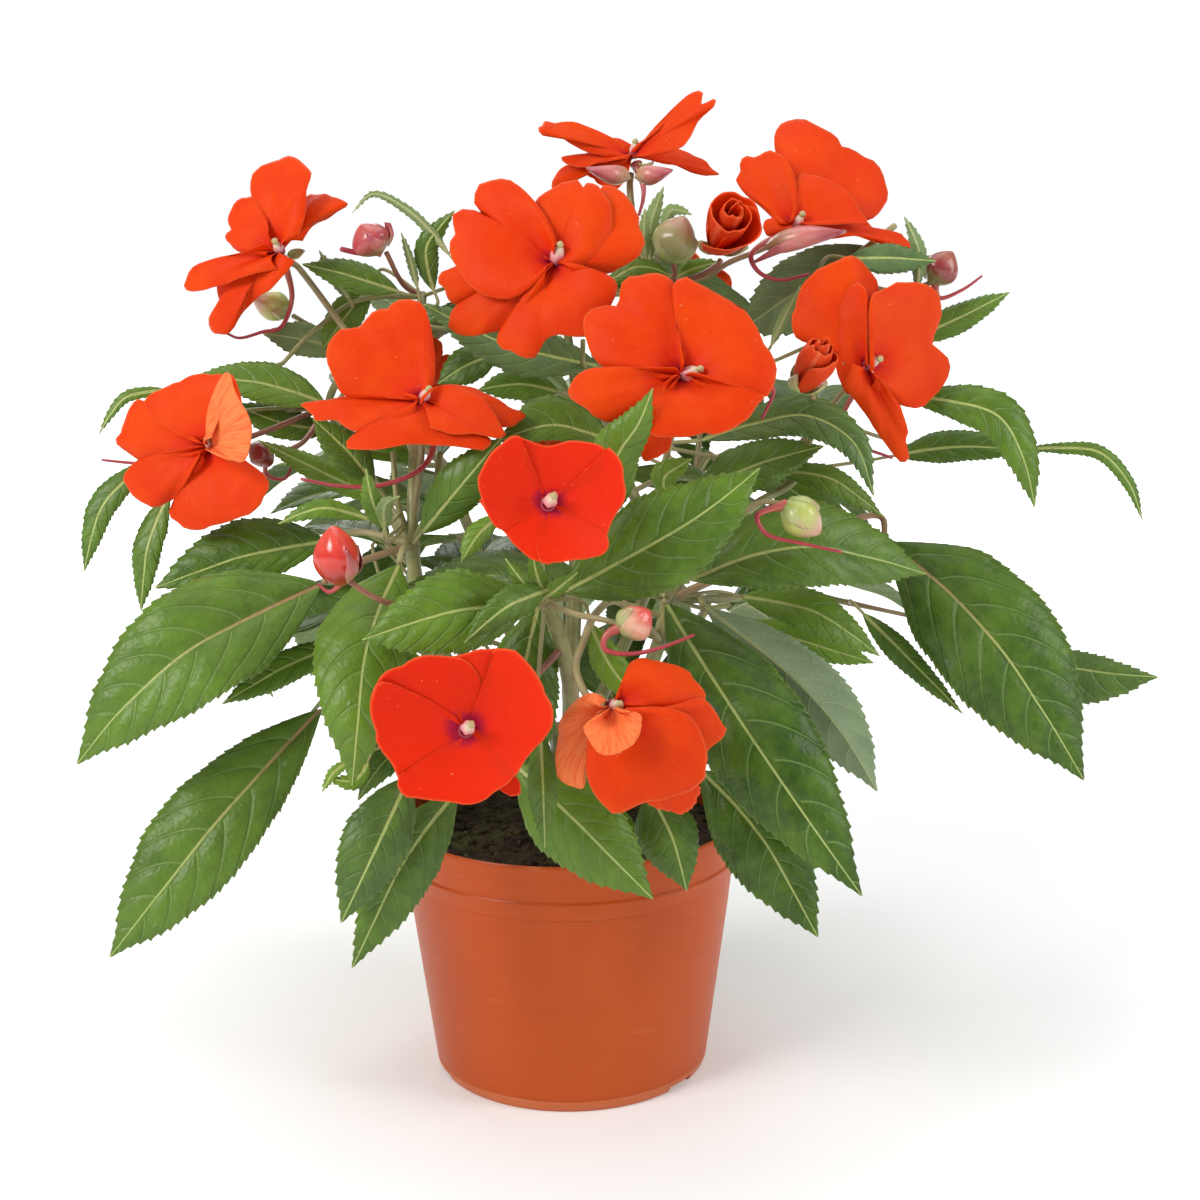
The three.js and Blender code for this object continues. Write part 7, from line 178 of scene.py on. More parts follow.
    ["F12","flower_half_open_top","half",[53.31,-10.62,289.52],[-0.1,-0.97,0.2],[[[[54.9,-14.99,279.29],[52.58,-14.77,279.2],[50.26,-14.56,279.05],[47.94,-14.31,279.05],[45.7,-13.96,279.58],[43.9,-13.48,280.97],[42.61,-12.95,282.84],[41.72,-12.42,284.92],[41.41,-11.91,287.18],[41.52,-11.44,289.46],[41.97,-11.02,291.71],[42.74,-10.64,293.88],[43.97,-10.36,295.84],[45.86,-10.28,297.17],[48.03,-10.33,298.03],[50.3,-10.45,298.58],[52.59,-10.59,299.04],[54.84,-10.7,299.64],[57.02,-10.76,300.48],[59.29,-10.92,300.82],[60.38,-11.38,299.2],[59.49,-11.73,297.08],[58.36,-12.04,295.06],[57.18,-12.34,293.06],[56.03,-12.64,291.05]],[-0.1,-0.97,0.2],8,0],[[[56.06,-13.07,279.28],[57.51,-13.05,280.06],[58.97,-13.05,280.82],[60.41,-13.03,281.63],[61.77,-12.98,282.57],[63.02,-12.88,283.64],[64.15,-12.75,284.82],[65.13,-12.58,286.14],[65.85,-12.34,287.6],[66.17,-12.04,289.19],[66.14,-11.7,290.8],[65.87,-11.34,292.39],[65.44,-10.97,293.93],[64.85,-10.59,295.42],[64.11,-10.21,296.85],[63.26,-9.84,298.21],[62.29,-9.47,299.49],[61.12,-9.11,300.59],[59.74,-8.79,301.42],[58.48,-8.82,300.65],[58.06,-9.11,299.09],[57.82,-9.42,297.49],[57.63,-9.74,295.88],[57.45,-10.06,294.27],[57.22,-10.37,292.67]],[-0.1,-0.97,0.2],8,0],[[[51.97,-18.78,279.33],[53.08,-18.84,279.61],[54.19,-18.9,279.89],[55.3,-18.95,280.19],[56.39,-19.0,280.53],[57.5,-19.05,280.84],[58.61,-19.11,281.11],[59.71,-19.15,281.46],[60.68,-19.13,282.05],[61.15,-18.96,283.06],[61.19,-18.73,284.18],[61.05,-18.48,285.3],[60.8,-18.23,286.39],[60.49,-17.97,287.46],[60.07,-17.71,288.5],[59.51,-17.44,289.46],[58.81,-17.19,290.33],[57.88,-16.96,290.95],[56.89,-16.95,290.49],[56.19,-17.07,289.59],[55.54,-17.19,288.66],[54.93,-17.33,287.69],[54.39,-17.49,286.69],[53.86,-17.64,285.68],[53.32,-17.8,284.68]],[-0.1,-0.97,0.2],8,0],[[[44.71,-12.61,280.65],[45.75,-12.87,279.91],[46.77,-13.14,279.15],[47.82,-13.41,278.41],[48.91,-13.66,277.74],[50.05,-13.91,277.16],[51.24,-14.13,276.67],[52.45,-14.35,276.24],[53.68,-14.57,275.84],[54.91,-14.78,275.45],[56.14,-14.99,275.07],[57.36,-15.2,274.67],[58.59,-15.41,274.28],[59.82,-15.62,273.89],[61.05,-15.83,273.53],[62.31,-16.02,273.23],[62.86,-15.98,273.7],[61.95,-15.7,274.59],[60.96,-15.42,275.4],[59.94,-15.16,276.17],[58.85,-14.9,276.84],[57.71,-14.66,277.43],[56.56,-14.41,278.0],[55.44,-14.17,278.62],[54.35,-13.91,279.29]],[-0.1,-0.97,0.2],8,0],[[[51.06,-21.76,279.34],[53.03,-22.05,278.96],[54.97,-22.23,279.07],[55.62,-21.91,280.91],[55.68,-21.5,282.9],[55.63,-21.08,284.88],[55.6,-20.66,286.87],[55.62,-20.24,288.85],[55.59,-19.82,290.83],[55.41,-19.39,292.81],[54.78,-18.93,294.66],[53.34,-18.5,295.99],[51.44,-18.17,296.6],[49.43,-17.93,296.72],[47.44,-17.79,296.4],[45.61,-17.78,295.55],[44.13,-17.91,294.18],[42.98,-18.14,292.53],[42.21,-18.44,290.68],[41.88,-18.82,288.72],[41.88,-19.24,286.74],[42.23,-19.69,284.79],[43.13,-20.15,283.05],[44.4,-20.6,281.53],[45.67,-21.05,280.01]],[-0.1,-0.97,0.2],8,0]],None],
    ["F13","flower_half_open_right","half",[78.41,-36.0,246.86],[-0.1,-0.99,0.1],[[[[80.96,-40.97,240.27],[79.18,-40.83,239.92],[77.42,-40.69,239.5],[75.63,-40.54,239.23],[73.84,-40.33,239.45],[72.28,-40.08,240.33],[70.96,-39.82,241.56],[69.82,-39.56,242.94],[68.82,-39.31,244.44],[68.07,-39.07,246.08],[67.66,-38.84,247.84],[67.71,-38.67,249.64],[68.22,-38.54,251.38],[69.13,-38.47,252.95],[70.5,-38.49,254.13],[72.15,-38.58,254.89],[73.92,-38.73,255.23],[75.72,-38.92,255.11],[77.47,-39.15,254.67],[79.12,-39.39,253.94],[80.49,-39.65,252.79],[81.28,-39.89,251.18],[81.66,-40.11,249.41],[81.91,-40.32,247.63],[82.2,-40.53,245.84]],[-0.1,-0.99,0.1],7,0],[[[79.07,-38.84,239.51],[80.63,-38.99,239.56],[82.18,-39.15,239.54],[83.74,-39.31,239.55],[85.28,-39.45,239.74],[86.63,-39.51,240.47],[87.24,-39.43,241.89],[87.39,-39.29,243.44],[87.45,-39.13,245.0],[87.57,-38.99,246.55],[87.58,-38.83,248.11],[87.37,-38.65,249.64],[86.78,-38.44,251.07],[85.87,-38.22,252.32],[84.74,-38.0,253.38],[83.45,-37.78,254.23],[81.99,-37.58,254.74],[80.45,-37.4,254.99],[78.9,-37.24,255.03],[77.38,-37.11,254.78],[76.88,-37.2,253.37],[77.1,-37.38,251.83],[77.44,-37.57,250.31],[77.8,-37.76,248.8],[78.14,-37.95,247.29]],[-0.1,-0.99,0.1],7,0],[[[79.16,-44.74,241.17],[80.18,-44.88,240.82],[81.18,-45.02,240.41],[82.23,-45.16,240.15],[83.24,-45.23,240.47],[83.98,-45.22,241.26],[84.52,-45.18,242.21],[84.9,-45.12,243.23],[85.11,-45.03,244.29],[85.16,-44.92,245.37],[85.1,-44.81,246.46],[84.95,-44.68,247.53],[84.68,-44.55,248.58],[84.21,-44.4,249.55],[83.57,-44.25,250.42],[82.8,-44.09,251.18],[81.93,-43.94,251.81],[80.98,-43.79,252.32],[79.94,-43.65,252.58],[79.04,-43.62,252.07],[78.72,-43.69,251.03],[78.57,-43.78,249.96],[78.47,-43.88,248.88],[78.37,-43.98,247.79],[78.23,-44.08,246.72]],[-0.1,-0.99,0.1],7,0]],None],
    ["FB1","flower_back_right","open",[48.0,92.0,262.0],[0.45,0.74,0.5],[[[[57.01,77.76,266.05],[59.16,76.46,265.95],[61.31,75.17,265.83],[63.54,74.13,265.35],[65.74,73.56,264.29],[67.77,73.45,262.82],[69.46,73.87,261.01],[70.49,74.92,259.0],[70.69,76.49,257.05],[70.27,78.29,255.37],[69.78,80.13,253.76],[70.54,81.46,251.78],[71.19,82.82,249.79],[71.21,84.47,247.9],[70.35,86.29,246.43],[68.79,88.04,245.55],[66.82,89.56,245.23],[64.64,90.78,245.43],[62.39,91.57,246.23],[60.2,92.05,247.36],[58.01,92.53,248.5]],[0.45,0.74,0.5],2.5,0],[[[58.7,90.04,251.96],[59.83,90.74,250.18],[60.95,91.44,248.4],[61.78,92.41,246.59],[62.06,93.74,244.85],[61.88,95.3,243.29],[61.17,96.98,242.05],[59.91,98.66,241.37],[58.22,100.08,241.41],[56.39,101.17,241.97],[54.53,102.16,242.61],[52.96,103.63,242.13],[51.32,105.02,241.68],[49.4,106.13,241.73],[47.42,106.71,242.48],[45.63,106.71,243.78],[44.17,106.25,245.38],[43.1,105.44,247.13],[42.57,104.27,248.93],[42.39,102.93,250.69],[42.23,101.58,252.44]],[0.45,0.74,0.5],2.5,0],[[[43.6,99.81,247.8],[42.29,101.61,246.7],[40.97,103.41,245.62],[39.39,105.16,244.87],[37.47,106.71,244.75],[35.39,108.0,245.16],[33.29,108.86,246.14],[31.43,109.1,247.73],[30.09,108.62,249.76],[29.27,107.66,251.87],[28.5,106.59,253.96],[26.68,106.34,255.6],[24.92,105.95,257.28],[23.6,105.08,259.18],[23.09,103.65,261.12],[23.38,101.89,262.83],[24.27,100.03,264.2],[25.63,98.2,265.17],[27.44,96.56,265.59],[29.44,95.09,265.66],[31.45,93.63,265.71]],[0.45,0.74,0.5],2.5,0],[[[35.07,99.1,264.73],[33.23,99.49,265.97],[31.39,99.86,267.23],[29.71,99.96,268.72],[28.4,99.56,270.5],[27.48,98.78,272.4],[27.08,97.6,274.28],[27.38,96.07,275.88],[28.39,94.39,276.97],[29.8,92.74,277.56],[31.23,91.09,278.07],[31.75,89.4,279.44],[32.36,87.7,280.76],[33.48,85.98,281.7],[35.1,84.47,281.95],[37.0,83.34,281.52],[38.92,82.62,280.59],[40.72,82.32,279.29],[42.23,82.5,277.63],[43.5,82.98,275.82],[44.76,83.46,274.02]],[0.45,0.74,0.5],2.5,0],[[[41.2,84.94,275.01],[41.27,83.45,276.94],[41.36,81.95,278.86],[41.81,80.31,280.59],[42.82,78.52,281.89],[44.23,76.73,282.74],[45.99,75.07,283.0],[47.95,73.76,282.48],[49.87,73.01,281.19],[51.56,72.74,279.48],[53.2,72.6,277.7],[55.26,71.62,276.91],[57.37,70.73,276.1],[59.38,70.34,274.79],[60.95,70.65,272.98],[61.9,71.57,270.95],[62.28,72.9,268.95],[62.13,74.48,267.1],[61.36,76.21,265.59],[60.25,77.98,264.33],[59.12,79.74,263.08]],[0.45,0.74,0.5],2.5,0]],[[[47.0,90.0,259.0],[40.0,78.0,262.0],[30.0,74.0,254.0]],1.0,0.5]],
    ["FB2","flower_back_left","open",[-62.05,84.58,231.96],[-0.55,0.7,0.45],[[[[-49.17,92.69,224.97],[-48.36,94.29,223.35],[-47.56,95.89,221.71],[-47.12,97.39,219.86],[-47.32,98.61,217.79],[-48.05,99.54,215.67],[-49.32,100.05,213.69],[-51.13,99.99,212.11],[-53.27,99.32,211.19],[-55.43,98.3,210.86],[-57.58,97.24,210.63],[-59.59,97.0,209.32],[-61.62,96.67,208.07],[-63.78,95.88,207.31],[-65.81,94.6,207.35],[-67.46,93.03,208.15],[-68.66,91.39,209.46],[-69.36,89.8,211.14],[-69.45,88.42,213.13],[-69.16,87.23,215.22],[-68.85,86.04,217.31]],[-0.55,0.7,0.45],2.5,0],[[[-65.48,88.13,218.56],[-66.91,88.24,216.97],[-68.34,88.33,215.39],[-69.98,88.19,214.03],[-71.84,87.67,213.13],[-73.77,86.87,212.68],[-75.62,85.82,212.76],[-77.18,84.6,213.53],[-78.18,83.36,214.94],[-78.7,82.24,216.67],[-79.08,81.12,218.44],[-80.34,79.72,219.42],[-81.51,78.26,220.43],[-82.21,76.81,221.83],[-82.16,75.61,223.57],[-81.43,74.79,225.39],[-80.24,74.34,227.11],[-78.72,74.26,228.6],[-76.95,74.63,229.72],[-75.09,75.24,230.59],[-73.23,75.87,231.44]],[-0.55,0.7,0.45],2.5,0],[[[-73.51,74.45,226.61],[-75.33,72.98,227.14],[-77.14,71.51,227.69],[-78.74,70.0,228.59],[-79.9,68.5,230.04],[-80.6,67.11,231.86],[-80.71,65.95,233.94],[-80.08,65.25,236.11],[-78.73,65.13,238.07],[-76.98,65.43,239.66],[-75.16,65.75,241.15],[-74.08,65.05,243.15],[-72.87,64.41,245.1],[-71.21,64.19,246.8],[-69.16,64.61,247.91],[-67.01,65.55,248.35],[-64.98,66.81,248.2],[-63.2,68.25,247.54],[-61.84,69.79,246.33],[-60.8,71.34,244.83],[-59.77,72.89,243.33]],[-0.55,0.7,0.45],2.5,0],[[[-65.54,75.96,243.03],[-65.17,75.11,245.0],[-64.78,74.26,246.97],[-64.08,73.64,248.92],[-62.9,73.42,250.72],[-61.38,73.55,252.27],[-59.59,74.06,253.38],[-57.69,74.98,253.82],[-55.93,76.2,253.47],[-54.45,77.5,252.58],[-53.01,78.78,251.62],[-51.07,79.74,251.71],[-49.17,80.76,251.72],[-47.46,81.99,251.2],[-46.25,83.31,250.01],[-45.67,84.55,248.33],[-45.64,85.6,246.42],[-46.1,86.4,244.46],[-47.08,86.82,242.58],[-48.34,87.0,240.81],[-49.61,87.17,239.06]],[-0.55,0.7,0.45],2.5,0],[[[-50.06,84.87,242.1],[-48.04,85.77,242.9],[-46.02,86.68,243.69],[-43.99,87.77,244.11],[-42.07,89.09,243.88],[-40.37,90.51,243.12],[-39.05,91.93,241.81],[-38.35,93.17,239.96],[-38.43,94.03,237.78],[-39.05,94.52,235.58],[-39.8,94.96,233.42],[-39.5,96.17,231.45],[-39.31,97.41,229.48],[-39.72,98.37,227.38],[-40.88,98.78,225.4],[-42.58,98.63,223.8],[-44.55,98.06,222.65],[-46.6,97.15,221.98],[-48.58,95.91,221.92],[-50.46,94.52,222.22],[-52.32,93.13,222.53]],[-0.55,0.7,0.45],2.5,0]],[[[-61.05,82.58,229.96],[-54.05,70.57,235.96],[-48.04,64.57,227.95]],1.0,0.5]],
    ["FB3","flower_back_middle","open",[-4.0,112.0,196.0],[-0.1,0.91,0.4],[[[[13.09,109.36,194.93],[15.32,109.98,193.94],[17.53,110.61,192.93],[19.5,111.4,191.59],[20.92,112.4,189.78],[21.78,113.52,187.71],[21.94,114.7,185.51],[21.17,115.82,183.41],[19.54,116.7,181.73],[17.44,117.36,180.53],[15.29,117.99,179.42],[14.17,119.11,177.49],[12.96,120.17,175.58],[11.18,120.99,174.02],[8.86,121.38,173.17],[6.36,121.32,173.1],[3.95,120.9,173.67],[1.79,120.22,174.74],[0.1,119.29,176.35],[-1.24,118.26,178.21],[-2.56,117.22,180.08]],[-0.1,0.91,0.4],2.5,0],[[[0.77,116.59,182.76],[0.39,117.57,180.8],[0.0,118.55,178.85],[-0.76,119.5,177.01],[-2.11,120.31,175.45],[-3.84,120.98,174.25],[-5.89,121.43,173.55],[-8.09,121.56,173.56],[-10.14,121.33,174.35],[-11.88,120.88,175.63],[-13.53,120.34,176.98],[-15.7,120.14,177.26],[-17.86,119.85,177.57],[-19.82,119.26,178.4],[-21.22,118.37,179.85],[-21.9,117.31,181.67],[-21.96,116.23,183.6],[-21.47,115.2,185.49],[-20.37,114.33,187.2],[-18.95,113.58,188.74],[-17.52,112.84,190.26]],[-0.1,0.91,0.4],2.5,0],[[[-16.89,111.83,185.24],[-19.34,111.94,184.89],[-21.8,112.05,184.55],[-24.27,112.0,184.62],[-26.62,111.68,185.35],[-28.69,111.15,186.6],[-30.29,110.41,188.33],[-31.1,109.51,190.48],[-30.92,108.58,192.77],[-30.05,107.69,194.9],[-29.09,106.76,196.96],[-29.5,105.57,199.09],[-29.77,104.33,201.2],[-29.34,103.12,203.31],[-28.0,102.1,205.11],[-26.0,101.39,206.39],[-23.67,100.98,207.13],[-21.21,100.87,207.35],[-18.79,101.1,206.91],[-16.48,101.53,206.11],[-14.17,101.97,205.29]],[-0.1,0.91,0.4],2.5,0],[[[-16.19,108.11,203.83],[-17.2,107.28,205.67],[-18.2,106.44,207.51],[-18.82,105.56,209.48],[-18.78,104.66,211.54],[-18.17,103.78,213.53],[-16.97,103.01,215.26],[-15.16,102.45,216.46],[-12.97,102.2,216.92],[-10.74,102.17,216.79],[-8.51,102.15,216.57],[-6.53,101.59,217.46],[-4.5,101.09,218.27],[-2.28,100.86,218.55],[-0.11,101.03,218.04],[1.73,101.53,216.85],[3.13,102.25,215.24],[4.05,103.11,213.37],[4.31,104.03,211.33],[4.17,104.95,209.28],[4.01,105.88,207.23]],[-0.1,0.91,0.4],2.5,0],[[[1.08,104.52,209.55],[2.81,103.88,211.14],[4.56,103.24,212.71],[6.58,102.73,213.97],[8.91,102.44,214.61],[11.34,102.36,214.69],[13.69,102.52,214.13],[15.68,102.94,212.81],[16.98,103.58,210.87],[17.67,104.3,208.66],[18.2,105.07,206.43],[19.93,105.74,204.87],[21.6,106.49,203.28],[22.7,107.43,201.33],[22.86,108.46,199.15],[22.13,109.43,197.05],[20.77,110.27,195.22],[18.95,110.93,193.75],[16.74,111.31,192.82],[14.38,111.52,192.24],[12.01,111.72,191.69]],[-0.1,0.91,0.4],2.5,0]],[[[-4.0,110.0,193.0],[4.0,98.0,198.0],[8.0,92.0,190.0]],1.0,0.5]],
]
# buds, in mm: name, CAD node, centre, tip, foot, radius, colour, spur
BUDS = [
    ["B1","bud_upper_left",[-62.98,-10.0,286.38],[-64.14,-12.0,293.64],[-58.2,-10.0,284.11],6.43,"pinkred",[[[-59.29,-9.0,283.48],[-65.68,-10.0,283.21],[-71.55,-12.0,284.53]],0.9,0.9]],
    ["B2","bud_left_glossy",[-67.57,-90.0,195.64],[-66.0,-90.0,206.75],[-64.58,-88.0,188.75],6.73,"red",[[[-64.56,-88.0,189.35],[-69.6,-84.0,185.1],[-73.59,-80.0,186.81]],0.8,0.4]],
    ["B3","bud_right_green",[70.69,-70.0,203.41],[77.41,-70.0,198.45],[66.1,-70.0,208.02],5.78,"green",[[[66.41,-70.0,207.41],[61.48,-71.0,206.39],[57.47,-72.0,204.16],[60.71,-73.0,198.81],[70.25,-74.0,196.42],[82.94,-74.0,193.53]],1.0,0.45]],
    ["B4","bud_front_pale",[19.92,-98.0,176.32],[23.88,-100.0,182.83],[15.3,-98.0,176.08],5.47,"redpale",[[[15.88,-98.0,176.67],[11.22,-99.0,173.99],[11.16,-100.0,170.08],[18.03,-101.0,169.04],[26.62,-102.0,170.91],[36.38,-102.0,174.59]],1.0,0.45]],
    ["B5","bud_left_dark",[-97.04,-29.31,219.88],[-100.62,-31.31,217.89],[-94.7,-27.31,222.21],4.58,"darkred",[[[-95.41,-27.31,220.61],[-96.7,-25.31,213.27],[-91.29,-23.3,211.34],[-88.83,-21.3,215.32]],0.8,0.4]],
    ["B6","bud_right_top",[126.72,3.1,275.99],[130.56,3.1,282.53],[123.53,5.11,272.04],5.85,"darkred",[[[124.68,4.1,272.04],[126.63,3.1,266.75],[133.98,3.1,269.33],[140.57,3.1,273.89]],0.9,0.4]],
    ["B7","bud_top",[36.77,-4.39,286.53],[40.71,-4.39,294.21],[34.9,-2.4,279.44],7.23,"greenbrown",None],
    ["B8","bud_left_green",[-98.35,13.85,266.91],[-105.06,11.82,268.02],[-93.04,15.88,263.78],5.2,"green",None],
]
